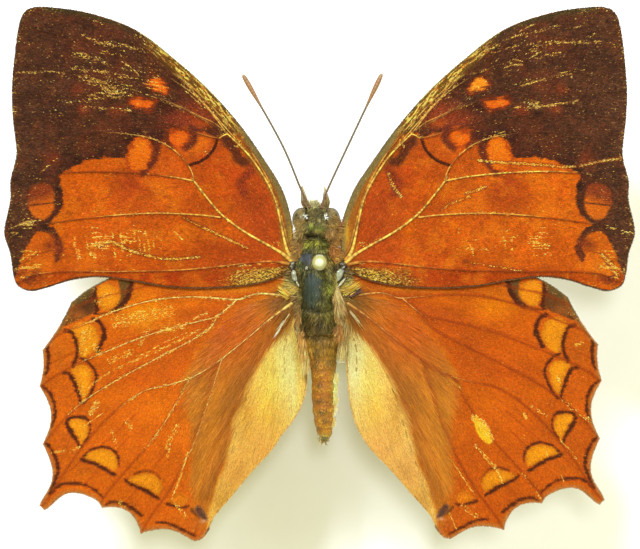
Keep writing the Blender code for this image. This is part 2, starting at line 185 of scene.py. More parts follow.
class Field:
    """A cloud of points in the plane that answers distances to lines."""

    def __init__(self, xy, cell=0.8):
        self.xy = np.asarray(xy, float)
        self.n = len(self.xy)
        self.low = self.xy.min(0) - 1e-6
        self.cell = cell
        ij = ((self.xy - self.low) / cell).astype(np.int64)
        self.nx, self.ny = ij[:, 0].max() + 1, ij[:, 1].max() + 1
        key = ij[:, 1] * self.nx + ij[:, 0]
        self.order = np.argsort(key, kind="stable")
        self.start = np.searchsorted(key[self.order], np.arange(self.nx * self.ny + 1))

    def near(self, xa, xb, ya, yb):
        ia = max(0, int((xa - self.low[0]) / self.cell))
        ib = min(self.nx - 1, int((xb - self.low[0]) / self.cell))
        ja = max(0, int((ya - self.low[1]) / self.cell))
        jb = min(self.ny - 1, int((yb - self.low[1]) / self.cell))
        if ia > ib or ja > jb or xb < self.low[0] or yb < self.low[1]:
            return np.zeros(0, np.int64)
        return np.concatenate([self.order[self.start[j * self.nx + ia]:
                                          self.start[j * self.nx + ib + 1]]
                               for j in range(ja, jb + 1)])

    def line(self, pts, reach):
        """Distance, side and length along, up to reach away from the line."""
        d = np.full(self.n, float(reach))
        side = np.zeros(self.n)
        along = np.zeros(self.n)
        run = 0.0
        for a, b in zip(pts[:-1], pts[1:]):
            v = b - a
            length = math.hypot(v[0], v[1])
            if length < 1e-9:
                continue
            idx = self.near(min(a[0], b[0]) - reach, max(a[0], b[0]) + reach,
                            min(a[1], b[1]) - reach, max(a[1], b[1]) + reach)
            if len(idx):
                p = self.xy[idx] - a
                u = np.clip((p[:, 0] * v[0] + p[:, 1] * v[1]) / length ** 2, 0, 1)
                q = p - u[:, None] * v
                dd = np.hypot(q[:, 0], q[:, 1])
                m = dd < d[idx]
                ii = idx[m]
                d[ii] = dd[m]
                side[ii] = np.sign(v[0] * p[m, 1] - v[1] * p[m, 0])
                along[ii] = run + u[m] * length
            run += length
        return d, side, along

    def inside(self, ring):
        hit = np.zeros(self.n, bool)
        idx = self.near(ring[:, 0].min(), ring[:, 0].max(),
                        ring[:, 1].min(), ring[:, 1].max())
        if not len(idx):
            return hit
        x, y = self.xy[idx].T
        h = np.zeros(len(idx), bool)
        for (x1, y1), (x2, y2) in zip(ring, np.roll(ring, -1, 0)):
            if y1 == y2:
                continue
            m = ((y1 > y) != (y2 > y)) & (x < (x2 - x1) * (y - y1) / (y2 - y1) + x1)
            h ^= m
        hit[idx] = h
        return hit

    def region(self, ring, reach):
        """Signed distance to a closed outline, negative inside it."""
        d, _, _ = self.line(np.vstack([ring, ring[:1]]), reach)
        return np.where(self.inside(ring), -d, d)


def closed_curve(pts, steps=5):
    p = np.asarray(pts, float)
    q = np.vstack([p[-1], p, p[:2]])
    out = []
    for a, b, c, d in zip(q, q[1:], q[2:], q[3:]):
        t = (np.arange(steps) / steps)[:, None]
        out.append(0.5 * (2 * b + (c - a) * t + (2 * a - 5 * b + 4 * c - d) * t * t
                          + (3 * b - a - 3 * c + d) * t ** 3))
    return np.vstack(out)


# --------------------------------------------------------------- wing outlines
def wing_level(x, y):
    out = np.abs(x)
    wave = 0.10 * np.sin(0.42 * out + 0.35 * y + 0.6) * np.minimum(1.0, out / 12.0)
    return WING_Z + WING_DIHEDRAL * (out - 2.0) + wave


def fore_height(x, y):
    return wing_level(x, y) + WING_STEP


def hind_height(x, y):
    run = np.clip((-4.2 - y) / 5.0, 0, 1)
    run = run * run * (3 - 2 * run)
    sink = 1.05 * run * np.exp(-((np.abs(x) - 1.3) / 2.6) ** 2)
    return wing_level(x, y) - WING_STEP - sink


def fore_costa(side):
    return FORE_COSTA_RIGHT + FORE_COSTA[5:] if side > 0 else FORE_COSTA


def fore_outline(side):
    return spline(fore_costa(side) + FORE_OUTER + FORE_HIND_EDGE, 6)


def hind_outline(side):
    ring = list(spline(HIND_COSTA, 6)[:-1])
    for (a, depth, leave, meet), nxt in zip(HIND_TEETH, HIND_TEETH[1:]):
        a, b = np.array(a), np.array(nxt[0])
        along = b - a
        inward = np.array([along[1], -along[0]]) / np.hypot(*along)
        for i in range(16):
            t = i / 16
            dip = depth * math.sin(math.pi * t) ** (leave * (1 - t) + meet * t) if t else 0.0
            ring.append(a + along * t + inward * dip)
    ring.append(np.array(HIND_TEETH[-1][0]))
    inner = spline((HIND_TEETH[-1][0],) + HIND_INNER, 6)[1:]
    if side < 0:
        mid, half, width = LEFT_FLAP
        s = np.clip((inner[:, 1] - mid) / half, -1, 1)
        inner[:, 0] -= width * (1 - s * s) ** 1.15
    return np.vstack([ring, inner])


def inset(ring, by):
    """The outline drawn in by a small distance along its normals."""
    ring = resample(ring, 0.16, closed=True)
    tangent = np.roll(ring, -1, 0) - np.roll(ring, 1, 0)
    tangent /= np.hypot(*tangent.T)[:, None] + 1e-12
    normal = np.stack([-tangent[:, 1], tangent[:, 0]], 1)
    area = 0.5 * np.sum(ring[:, 0] * np.roll(ring[:, 1], -1)
                        - np.roll(ring[:, 0], -1) * ring[:, 1])
    normal *= 1.0 if area > 0 else -1.0
    moved = ring + normal * by
    smooth = moved.copy()
    for _ in range(2):
        smooth = 0.5 * smooth + 0.25 * (np.roll(smooth, 1, 0) + np.roll(smooth, -1, 0))
    return smooth, normal


# ----------------------------------------------------------------------- veins
# each: line in pixels, radius at its start and end in mm, how much it gleams
FORE_VEINS = {
    "sc": (P((343, 258), (350, 246), (355.5, 225), (364, 195), (381, 162), (402, 134),
             (428, 106), (452, 82), (474, 63), (500, 45)), 0.13, 0.05, 0.55),
    "r": (P((344, 262), (352, 250), (358, 224), (363, 202), (372, 182), (387, 159),
            (401, 144), (411.5, 134)), 0.15, 0.10, 0.95),
    "r1": (P((394, 150), (415, 126), (440, 98), (462, 75), (488, 54), (515, 38)), 0.08, 0.04, 0.75),
    "r2": (P((411.5, 134), (430, 110), (446, 94), (468, 79), (500, 61), (540, 45),
             (585, 34), (618, 25)), 0.09, 0.04, 0.75),
    "r5": (P((415, 131), (425, 123), (438, 117), (462, 105.5), (500, 91), (545, 78),
             (590, 68), (624, 62)), 0.08, 0.04, 0.55),
    "m1": (P((418, 137), (421, 129), (438, 118.5), (462, 107), (490, 99.5), (530, 95),
             (580, 93), (625, 92)), 0.07, 0.04, 0.35),
    "m2": (P((420, 138.5), (435, 135), (455, 129), (490, 120), (540, 115), (590, 115.5),
             (624, 120)), 0.07, 0.04, 0.45),
    "m3": (P((445, 181), (447, 172), (453, 162), (461, 153.5), (471, 146), (485, 139.5),
             (505, 135), (540, 132.5), (590, 137), (622, 143)), 0.08, 0.04, 0.75),
    "cua1": (P((445, 181), (470, 176.5), (505, 173), (545, 171.5), (575, 173),
               (600, 177.5), (626, 181)), 0.10, 0.05, 0.95),
    "cua2": (P((418, 217.5), (440, 215), (480, 213.3), (520, 215), (560, 219),
               (600, 225), (632, 231.5)), 0.10, 0.05, 0.8),
    "cu": (P((345, 263), (356, 254), (372, 244.5), (390, 234.5), (405, 224.5),
             (419, 213), (431, 199), (445, 181)), 0.15, 0.11, 1.0),
    "a2": (P((345, 265), (365, 261.5), (390, 263), (420, 266.5), (460, 270),
             (520, 271.5), (575, 271.5), (606, 275), (622, 283)), 0.12, 0.05, 0.5),
    "udc": (P((411.5, 134), (416, 136), (420, 138.5)), 0.09, 0.07, 1.0),
    "mdc": (P((420, 138.5), (425, 150), (435, 160), (449, 166)), 0.05, 0.05, 0.0),
}
HIND_VEINS = {
    "sc": (P((346, 282), (370, 277), (420, 273), (470, 278), (515, 288), (545, 294.5),
             (571, 306)), 0.10, 0.04, 0.25),
    "rs": (PLH((286, 296), (262, 293.5), (250, 295.5), (237, 299.5), (200, 297),
               (170, 298), (145, 302), (115, 311), (85, 324), (60, 334.5), (46, 346)),
           0.13, 0.05, 0.6),
    "m1": (PLH((237, 299.5), (218, 315.5), (200, 321), (172, 328), (140, 338),
               (110, 350), (80, 363), (55, 376), (42, 386)), 0.09, 0.05, 0.6),
    "m2": (PLH((218, 315.5), (210, 328), (190, 341), (165, 354), (135, 370), (105, 387),
               (80, 404), (60, 424), (44, 444)), 0.08, 0.05, 0.6),
    "m3": (PLH((190, 378.5), (170, 384.5), (150, 389), (137, 395), (120, 407),
               (100, 426), (82, 448), (66, 470), (54, 490), (43, 505)), 0.08, 0.05, 0.5),
    "cua1": (PLH((189, 380), (178, 400), (165, 422), (150, 443), (135, 460),
                 (118, 480), (105, 496), (98, 507)), 0.08, 0.05, 0.5),
    "cua2": (PLH((222, 359), (212, 390), (203, 418), (194, 443), (182, 468),
                 (167, 494), (151, 516), (139, 536)), 0.08, 0.05, 0.5),
    "cu": (PLH((292, 303), (270, 319), (250, 336), (226, 355.5), (207, 369),
               (190, 378.5)), 0.13, 0.09, 0.7),
    "a2": (PLH((292, 308), (272, 345), (250, 383), (228, 420), (212, 455), (203, 490),
               (198, 520), (193, 543)), 0.07, 0.04, 0.1),
    "a3": (PLH((296, 316), (286, 350), (275, 385), (262, 420), (244, 455), (222, 492)),
           0.06, 0.03, 0.0),
}
FORE_GLINTS = {
    1: (P((495, 61.5), (510, 60), (520, 62)), P((535, 50), (545, 46), (555, 42.7), (568, 43.3),
        (580, 42.7), (596, 47)), P((538, 43), (552, 35), (562, 30), (577, 28), (582, 25)),
        P((518, 88), (532, 83), (542, 80), (552, 75), (562, 74)),
        P((513, 108), (528, 108), (542, 107), (555, 104), (567, 103)),
        P((527, 60), (535, 55), (545, 50)), P((489, 135), (498, 136.3), (508, 136)),
        P((476, 149), (483, 153)), P((470, 132.5), (480, 134), (490, 137)),
        P((500, 70), (512, 66), (530, 64)), P((470, 60), (484, 52), (498, 47)),
        P((452, 79), (466, 66), (480, 56)), P((440, 92), (452, 80), (463, 68)),
        P((436, 103), (446, 93), (460, 83)), P((420, 120), (428, 111), (438, 101)),
        P((497, 44), (515, 37), (535, 32)), P((572, 171.5), (582, 173.5), (592, 176)),
        P((613, 228), (622, 231), (633, 233)), P((600, 262), (612, 272), (620, 282)),
        P((604, 258), (613, 266), (621, 272)), P((446, 248), (470, 249), (490, 250)),
        P((500, 232), (503, 240), (504, 248)), P((508, 230), (510, 240), (511, 250)),
        P((530, 234), (532, 243), (533, 252)), P((540, 232), (541, 241), (542, 251)),
        P((466, 241), (470, 248), (472, 255)), P((399, 141), (403, 148)),
        P((352, 268), (366, 271), (384, 277)), P((356, 274), (370, 279), (386, 281)),
        P((350, 262), (372, 266), (392, 273)), P((388, 281), (398, 283))),
    -1: (PL((84, 76), (100, 80), (114, 88)), PL((120, 60), (134, 70), (146, 82)),
         PL((166, 62), (180, 76), (194, 90)), PL((178, 70), (194, 86), (210, 104)),
         PL((186, 92), (198, 102), (208, 112)), PL((36, 74), (50, 72), (66, 74)),
         PL((76, 237), (76, 246)), PL((92, 250), (92, 257)), PL((104, 250), (104, 258)),
         PL((116, 250), (117, 259)), PL((154, 236), (155, 247)), PL((136, 232), (136, 242)),
         PL((97, 236), (98, 244), (99, 254)), PL((106, 234), (107, 243), (108, 255)),
         PL((114, 232), (115, 243), (116, 256)), PL((122, 233), (123, 243), (124, 254)),
         PL((131, 232), (132, 243), (133, 254)), PL((140, 234), (141, 243), (142, 252)),
         PL((149, 235), (150, 244), (151, 253)), PL((158, 236), (159, 244), (160, 251)),
         PL((88, 238), (89, 246), (90, 252)), PL((168, 236), (169, 243), (170, 248)),
         PL((14, 228), (28, 222), (44, 220)), PL((20, 262), (28, 256), (38, 252)),
         PL((238, 148), (242, 140), (250, 132)), PL((205, 150), (212, 156)), PL((176, 232), (184, 240)),
         PL((255, 268), (270, 272), (286, 270)), PL((250, 275), (268, 278), (284, 276)),
         PL((240, 266), (262, 264), (284, 262))),
}
# how far along each vein, as a share of its length, its painted glints (highlights) reach; the left hind wing, which
# faces the light, glints far more than the right
FORE_GLINT_REACH = {"sc": 0.80, "r": 1.3, "r1": 0.55, "r2": 0.30, "r5": 0.22, "m1": 0.30, "m2": 0.12,
             "m3": 0.42, "cua1": 0.66, "cua2": 0.55, "cu": 1.3, "a2": 0.30, "udc": 1.3, "mdc": 0.0}
HIND_GLINT_REACH = {1: {"sc": 0.15, "rs": 0.28, "m1": 0.13, "m2": 0.02, "m3": 0.10, "cua1": 0.02,
                 "cua2": 0.02, "cu": 0.45, "a2": 0.0, "a3": 0.0},
             -1: {"sc": 0.15, "rs": 0.85, "m1": 0.75, "m2": 0.80, "m3": 0.35, "cua1": 0.5,
                  "cua2": 0.6, "cu": 1.3, "a2": 0.0, "a3": 0.0}}
FORE_SIDE_GLINT_REACH = {1: FORE_GLINT_REACH, -1: {**FORE_GLINT_REACH, "cua1": 0.13, "a2": 0.95, "m3": 0.50, "r5": 0.30}}
FORE_GLINT_BANDS = {   # bands of painted glints, fine gold highlight grains, near the tip: line, half width in mm, amount
    1: ((P((526, 54), (536, 47), (550, 43), (574, 43), (598, 43)), 0.15, 0.46),
        (P((524, 38), (540, 31), (558, 26)), 0.13, 0.34), (P((534, 58), (548, 55), (562, 54)), 0.22, 0.24),
        (P((520, 84), (542, 80), (558, 76), (582, 71)), 0.20, 0.26),
        (P((522, 110), (546, 106), (564, 104), (582, 101)), 0.13, 0.38),
        (P((525, 103), (530, 104), (535, 105)), 0.30, 0.55), (P((508, 62), (514, 65), (520, 66)), 0.12, 0.50),
        (P((506, 50), (514, 47), (522, 45)), 0.12, 0.36), (P((470, 64), (482, 55), (496, 46), (514, 35), (534, 24)), 0.06, 0.70),
        (P((470, 76), (478, 73), (486, 70)), 0.09, 0.65), (P((586, 38), (594, 34)), 0.10, 0.40)),
    -1: ((PL((142, 52), (130, 47), (114, 45), (100, 43), (86, 36)), 0.22, 0.46),
         (PL((122, 77), (108, 73), (92, 73), (76, 69)), 0.20, 0.42),
         (PL((130, 94), (118, 91), (104, 86), (84, 79)), 0.36, 0.50),
         (PL((120, 97), (114, 95), (106, 92)), 0.30, 0.75), (PL((104, 98), (86, 101), (66, 103)), 0.12, 0.34),
         (PL((132, 111), (110, 109), (86, 108)), 0.12, 0.42), (PL((108, 64), (92, 59), (74, 55)), 0.26, 0.30),
         (PL((104, 25), (96, 22), (88, 20)), 0.14, 0.40), (PL((44, 72), (32, 73), (20, 73)), 0.10, 0.42),
         (PL((169, 103), (156, 98), (146, 94), (134, 90)), 0.06, 0.85),
         (PL((150, 48), (143, 41), (136, 35)), 0.16, 0.30)),
}
# folds that catch the light, and short scratches: line in pixels, width, amount of painted glint
FORE_CREASES = {
    1: ((P((478, 161), (500, 163), (530, 164.5), (560, 167), (575, 166.5), (598, 162),
           (621, 158)), 0.085, 1.0),
        (P((388, 174), (392, 186), (400, 197)), 0.12, 0.9),
        (P((466, 193), (474, 191), (484, 187)), 0.10, 0.9),
        (P((440, 211), (448, 205), (458, 201), (468, 197)), 0.07, 0.6),
        (P((601, 255), (607, 262), (616, 275)), 0.16, 0.8),
        (P((465, 262), (490, 266), (520, 271)), 0.05, 0.5)),
    -1: ((PL((185, 218), (200, 226), (215, 233), (232, 241), (248, 248)), 0.07, 0.9),
         (PL((100, 246), (113, 242), (130, 250), (150, 256), (170, 259), (200, 257)), 0.09, 0.9),
         (PL((60, 157), (51, 165), (42, 173)), 0.03, 0.5),
         (PL((40, 150), (50, 158)), 0.03, 0.5)),
}


class Wing:
    def __init__(self, kind, side):
        self.kind, self.side = kind, side
        word = "right" if side > 0 else "left"
        self.node = ("forewing_" if kind == "fore" else "hindwing_") + word
        self.outline = fore_outline(side) if kind == "fore" else hind_outline(side)
        self.veins = FORE_VEINS if kind == "fore" else HIND_VEINS
        self.base = np.array([2.0, 0.1]) if kind == "fore" else np.array([1.7, -2.0])
        self.ring, self.ring_normal = inset(self.outline, 0.13)
        self.upper_ring = inset(self.outline, 0.22)[0]
        self.lower_ring = inset(self.outline, 0.40)[0]
        segs, tang = [], []
        for line, _, _, _ in self.veins.values():
            fine = resample(spline(line, 4), 1.2)
            mid = 0.5 * (fine[1:] + fine[:-1])
            t = np.diff(fine, axis=0)
            segs.append(mid)
            tang.append(t / np.hypot(*t.T)[:, None])
        self.seg, self.tan = np.vstack(segs), np.vstack(tang)
        low, high = self.outline.min(0) - 1, self.outline.max(0) + 1
        self.lat_low, self.lat_step = low, 0.75
        self.lat_n = np.ceil((high - low) / self.lat_step).astype(int) + 2
        gx, gy = np.meshgrid(low[0] + np.arange(self.lat_n[0]) * self.lat_step,
                             low[1] + np.arange(self.lat_n[1]) * self.lat_step)
        pts = np.stack([gx.ravel(), gy.ravel()], 1)
        d2 = ((pts[:, None] - self.seg[None]) ** 2).sum(2)
        w = 1.0 / (d2 + 0.3) ** 2
        flow = (w[:, :, None] * self.tan[None]).sum(1)
        radial = pts - self.base
        radial /= np.hypot(*radial.T)[:, None] + 1e-9
        flow /= np.hypot(*flow.T)[:, None] + 1e-9
        flow = 0.75 * flow + 0.25 * radial
        flow /= np.hypot(*flow.T)[:, None] + 1e-9
        self.flow_grid = flow.reshape(self.lat_n[1], self.lat_n[0], 2)

    def flow(self, xy):
        """The direction in which scales and hairs point, from the root outwards."""
        uv = (xy - self.lat_low) / self.lat_step
        i = np.clip(uv.astype(int), 0, self.lat_n - 2)
        f = uv - i
        g = self.flow_grid
        a, b = g[i[:, 1], i[:, 0]], g[i[:, 1], i[:, 0] + 1]
        c, d = g[i[:, 1] + 1, i[:, 0]], g[i[:, 1] + 1, i[:, 0] + 1]
        fx, fy = f[:, :1], f[:, 1:]
        out = a * (1 - fx) * (1 - fy) + b * fx * (1 - fy) + c * (1 - fx) * fy + d * fx * fy
        return out / (np.hypot(*out.T)[:, None] + 1e-9)

    def turned(self, xy):
        """Plan coordinates to this wing's own place, before mirroring."""
        if self.kind == "hind" and self.side < 0:
            c, s = math.cos(HIND_LEFT_TURN), math.sin(HIND_LEFT_TURN)
            x, y = xy[:, 0] - HIND_HINGE[0], xy[:, 1] - HIND_HINGE[1]
            return np.stack([HIND_HINGE[0] + x * c + y * s,
                             HIND_HINGE[1] - x * s + y * c], 1)
        return xy

    def turn_dir(self, d):
        if self.kind == "hind" and self.side < 0:
            c, s = math.cos(HIND_LEFT_TURN), math.sin(HIND_LEFT_TURN)
            return np.stack([d[:, 0] * c + d[:, 1] * s, -d[:, 0] * s + d[:, 1] * c], 1)
        return d

    def smooth_height(self, t):
        if self.kind == "fore":
            return fore_height(t[:, 0], t[:, 1]) - 0.13
        return hind_height(t[:, 0], t[:, 1]) + 0.10

    def relief(self, field):
        """Fine fluting: the membrane dips between veins and rides up at folds."""
        r = np.zeros(field.n)
        for name, (line, _, _, _) in self.veins.items():
            d, _, _ = field.line(resample(spline(line, 4), 0.6), 1.2)
            r += 0.055 * np.exp(-(d / 0.40) ** 2)
        if self.kind == "fore":
            for line, width, _ in FORE_CREASES[self.side]:
                d, _, _ = field.line(resample(spline(line, 4), 0.5), 0.6)
                r += 0.045 * np.exp(-(d / 0.12) ** 2)
        x, y = field.xy.T
        r += 0.06 * (fbm(x, y, 3.1, 5) - 0.5) + 0.03 * (fbm(x, y, 0.9, 9) - 0.5)
        return np.clip(r, -0.05, 0.10)

    def place(self, field):
        """World coordinates, in mm, of the membrane's upper face."""
        t = self.turned(field.xy)
        z = self.smooth_height(t) + self.relief(field)
        return np.stack([self.side * t[:, 0], t[:, 1], z], 1)

    def normals(self, field):
        t = self.turned(field.xy)
        e = 0.05
        zx = (self.smooth_height(t + [e, 0]) - self.smooth_height(t - [e, 0])) / (2 * e)
        zy = (self.smooth_height(t + [0, e]) - self.smooth_height(t - [0, e])) / (2 * e)
        n = np.stack([-zx * self.side, -zy, np.ones(len(t))], 1)
        return n / np.linalg.norm(n, axis=1)[:, None]


# ------------------------------------------------------------- writing meshes
def new_mesh(name, verts, faces_flat, sizes, smooth=False):
    """A mesh from arrays: vertices in mm, face corners, corners of each face."""
    me = bpy.data.meshes.new(name)
    me.vertices.add(len(verts))
    me.vertices.foreach_set("co", (np.asarray(verts, np.float32) * MM).ravel())
    me.loops.add(len(faces_flat))
    me.loops.foreach_set("vertex_index", np.asarray(faces_flat, np.int32))
    sizes = np.asarray(sizes, np.int32)
    me.polygons.add(len(sizes))
    start = np.concatenate([[0], np.cumsum(sizes)[:-1]]).astype(np.int32)
    me.polygons.foreach_set("loop_start", start)
    me.update(calc_edges=True)
    me.validate(verbose=False)
    if smooth:
        me.shade_smooth()
    return me


def set_colour(me, col, name="Col"):
    """Colours given as on a screen, stored as light."""
    att = me.attributes.new(name, "FLOAT_COLOR", "POINT")
    data = np.ones((len(col), 4), np.float32)
    data[:, :3] = linear(col) * GAIN
    att.data.foreach_set("color", data.ravel())


def set_value(me, values, name):
    att = me.attributes.new(name, "FLOAT", "POINT")
    att.data.foreach_set("value", np.asarray(values, np.float32))


def set_uv(me, uv):
    layer = me.uv_layers.new(name="OFBake")
    layer.data.foreach_set("uv", np.asarray(uv, np.float32).ravel())


def link(name, me, mat, nodes=()):
    ob = bpy.data.objects.new(name, me)
    bpy.context.scene.collection.objects.link(ob)
    me.materials.clear()
    me.materials.append(mat)
    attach(ob, "root")
    if nodes:
        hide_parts(*nodes)
    return ob


def blades(name, root, direction, across, normal, length, width, lift, bend, colour, tip,
           uv, mat, extra=None, nodes=(), root_width=0.55, tip_width=0.85, rows=2):
    """Many flat scales or hairs as one mesh. rows=2: a quad each; rows=3: a bent
    blade with a middle row; tip_width 0 makes a point."""
    n = len(root)
    half = width[:, None] * 0.5
    verts = []
    for k in range(rows):
        t = k / (rows - 1)
        ang = lift + bend * t
        out = root + direction * (length * t * np.cos(ang))[:, None] \
            + normal * (length * t * np.sin(ang) * (1 - 0.25 * t))[:, None]
        w = root_width + (1 - root_width) * min(1.0, 2 * t) if rows > 2 and t < 1 else \
            (root_width if t == 0 else tip_width)
        if k == rows - 1 and tip_width <= 0:
            verts.append(out[:, None, :])
        else:
            verts.append(np.stack([out - across * half * w, out + across * half * w], 1))
    per = sum(v.shape[1] for v in verts)
    allv = np.concatenate(verts, 1).reshape(-1, 3)
    base = (np.arange(n) * per)[:, None]
    face_list, size_list = [], []
    for k in range(rows - 1):
        a = 2 * k
        if k == rows - 2 and tip_width <= 0:
            face_list.append(base + np.array([a, a + 1, a + 2]))
            size_list.append(3)
        else:
            face_list.append(base + np.array([a, a + 1, a + 3, a + 2]))
            size_list.append(4)
    flat = np.concatenate(face_list, 1).ravel()
    sizes = np.tile(size_list, n)
    me = new_mesh(name, allv, flat, sizes)
    t_of = []
    for k, v in enumerate(verts):
        t_of += [k / (rows - 1)] * v.shape[1]
    t_of = np.array(t_of)
    col = colour[:, None, :] * (1 - t_of[None, :, None]) + tip[:, None, :] * t_of[None, :, None]
    set_colour(me, col.reshape(-1, 3))
    if extra is not None:
        set_value(me, np.repeat(extra, per), "gleam")
    corner = np.concatenate([f - base for f in face_list], 1)[0]
    cu = np.where(corner % 2 == 0, -0.5, 0.5)
    cu = np.where(corner == per - 1, 0.0, cu) if tip_width <= 0 else cu
    cv = t_of[corner] - 0.5
    patch = np.stack([uv[:, None, 0] + 0.003 * cu[None], uv[:, None, 1] + 0.003 * cv[None]], 2)
    set_uv(me, patch.reshape(-1, 2))
    return link(name, me, mat, nodes)


# ------------------------------------------------------------------- materials
def tree(name):
    mat = bpy.data.materials.new(name)
    mat.use_nodes = True
    nt = mat.node_tree
    nt.nodes.clear()
    out = nt.nodes.new("ShaderNodeOutputMaterial")
    sh = nt.nodes.new("ShaderNodeBsdfPrincipled")
    nt.links.new(sh.outputs[0], out.inputs[0])
    return mat, nt, sh


def node(nt, kind, **inputs):
    n = nt.nodes.new(kind)
    for k, v in inputs.items():
        if hasattr(n, k) and k not in n.inputs.keys():
            setattr(n, k, v)
        else:
            n.inputs[k.replace("_", " ")].default_value = v
    return n


def noise_node(nt, scale, detail=3.0, coords=None, rough=0.55):
    n = nt.nodes.new("ShaderNodeTexNoise")
    n.inputs["Scale"].default_value = scale
    n.inputs["Detail"].default_value = detail
    n.inputs["Roughness"].default_value = rough
    if coords is not None:
        nt.links.new(coords, n.inputs["Vector"])
    return n


def ramp(nt, src, stops):
    r = nt.nodes.new("ShaderNodeValToRGB")
    while len(r.color_ramp.elements) < len(stops):
        r.color_ramp.elements.new(0.5)
    for e, (pos, c) in zip(r.color_ramp.elements, stops):
        e.position = pos
        e.color = (*c, 1) if len(c) == 3 else c
    nt.links.new(src, r.inputs[0])
    return r.outputs[0]


def mix_rgb(nt, kind, fac, a, b):
    m = nt.nodes.new("ShaderNodeMix")
    m.data_type = "RGBA"
    m.blend_type = kind
    for sock, v in ((m.inputs[0], fac), (m.inputs[6], a), (m.inputs[7], b)):
        if isinstance(v, (int, float)):
            sock.default_value = v
        elif isinstance(v, tuple):
            sock.default_value = v
        else:
            nt.links.new(v, sock)
    return m.outputs[2]


def map_range(nt, src, a, b, lo, hi):
    m = nt.nodes.new("ShaderNodeMapRange")
    m.inputs["From Min"].default_value = a
    m.inputs["From Max"].default_value = b
    m.inputs["To Min"].default_value = lo
    m.inputs["To Max"].default_value = hi
    nt.links.new(src, m.inputs["Value"])
    return m.outputs[0]


def bump(nt, sh, src, strength, distance):
    b = nt.nodes.new("ShaderNodeBump")
    b.inputs["Strength"].default_value = strength
    b.inputs["Distance"].default_value = distance
    nt.links.new(src, b.inputs["Height"])
    nt.links.new(b.outputs[0], sh.inputs["Normal"])
    return b


def scale_material(name, rough_lo, rough_hi, spec=0.35, grain=9000.0, sheen=0.0, contrast=0.22):
    """Scales, hair and cuticle: the painted colour with a fine grain over it."""
    mat, nt, sh = tree(name)
    co = nt.nodes.new("ShaderNodeTexCoord").outputs["Object"]
    col = nt.nodes.new("ShaderNodeAttribute")
    col.attribute_name = "Col"
    gl = nt.nodes.new("ShaderNodeAttribute")
    gl.attribute_name = "gleam"
    fine = noise_node(nt, grain, 2.0, co)
    tone = map_range(nt, fine.outputs["Fac"], 0.25, 0.75, 1.0 - contrast, 1.0 + contrast * 0.6)
    comb = nt.nodes.new("ShaderNodeCombineColor")
    for k in range(3):
        nt.links.new(tone, comb.inputs[k])
    nt.links.new(mix_rgb(nt, "MULTIPLY", 1.0, col.outputs["Color"], comb.outputs[0]),
                 sh.inputs["Base Color"])
    broad = noise_node(nt, grain * 0.35, 2.0, co)
    r = map_range(nt, broad.outputs["Fac"], 0.3, 0.7, rough_lo, rough_hi)
    less = nt.nodes.new("ShaderNodeMath")
    less.operation = "MULTIPLY_ADD"
    nt.links.new(gl.outputs["Fac"], less.inputs[0])
    less.inputs[1].default_value = -0.28
    nt.links.new(r, less.inputs[2])
    less.use_clamp = True
    nt.links.new(less.outputs[0], sh.inputs["Roughness"])
    sh.inputs["Specular IOR Level"].default_value = spec
    if sheen:
        sh.inputs["Sheen Weight"].default_value = sheen
        sh.inputs["Sheen Roughness"].default_value = 0.4
    bump(nt, sh, fine.outputs["Fac"], 0.35, 0.00002)
    return mat


# --------------------------------------------------------------- the fore wing
FORE_DARK = P(
    (412, 133), (420, 137.5), (430, 134.5), (441, 131.5), (452, 128.5), (463, 128),
    (471, 131), (474, 138), (480, 143), (486, 146), (488, 140), (494, 137.5), (503, 139),
    (508, 146), (511, 156), (520, 158.5), (532, 158), (546, 160), (560, 165),
    (570, 170), (578, 176), (576, 184), (574.5, 194), (575, 205), (578, 213),
    (585, 219.5), (589.5, 224.5), (583, 229), (577, 238), (574, 247), (576, 256),
    (581, 262), (583, 256), (581, 248), (584, 240), (589, 233.5), (597, 231.5),
    (604, 235), (609, 243), (613, 253), (618, 265), (622, 276), (630, 282),
    (650, 280), (650, -5), (500, -5), (462, 36), (430, 76), (405, 110), (392, 132),
    (402, 136))
FORE_SPOTS = (   # ring in pixels, colour at its heart, softness in mm
    (P((466, 92), (470, 84), (475, 78), (481, 76), (485, 81), (488, 86), (482, 89),
       (475, 91.5), (470, 95)), rgb(232, 132, 34), 0.18),
    (P((481, 101), (489, 98.5), (500, 98.5), (509, 99.5), (506, 105), (498, 109.5),
       (490, 112.5), (484.5, 108)), rgb(214, 92, 22), 0.17),
    (P((449.5, 138), (452, 132.5), (460, 131), (467, 134), (467.5, 141), (461, 147),
       (453, 145)), rgb(222, 96, 18), 0.12),
    (P((487, 149), (489, 141), (495, 138.5), (503, 141), (507, 148), (509.5, 156),
       (509.5, 164), (504, 170.5), (496, 171.5), (490.5, 166), (488, 157)), rgb(226, 108, 16), 0.12),
)
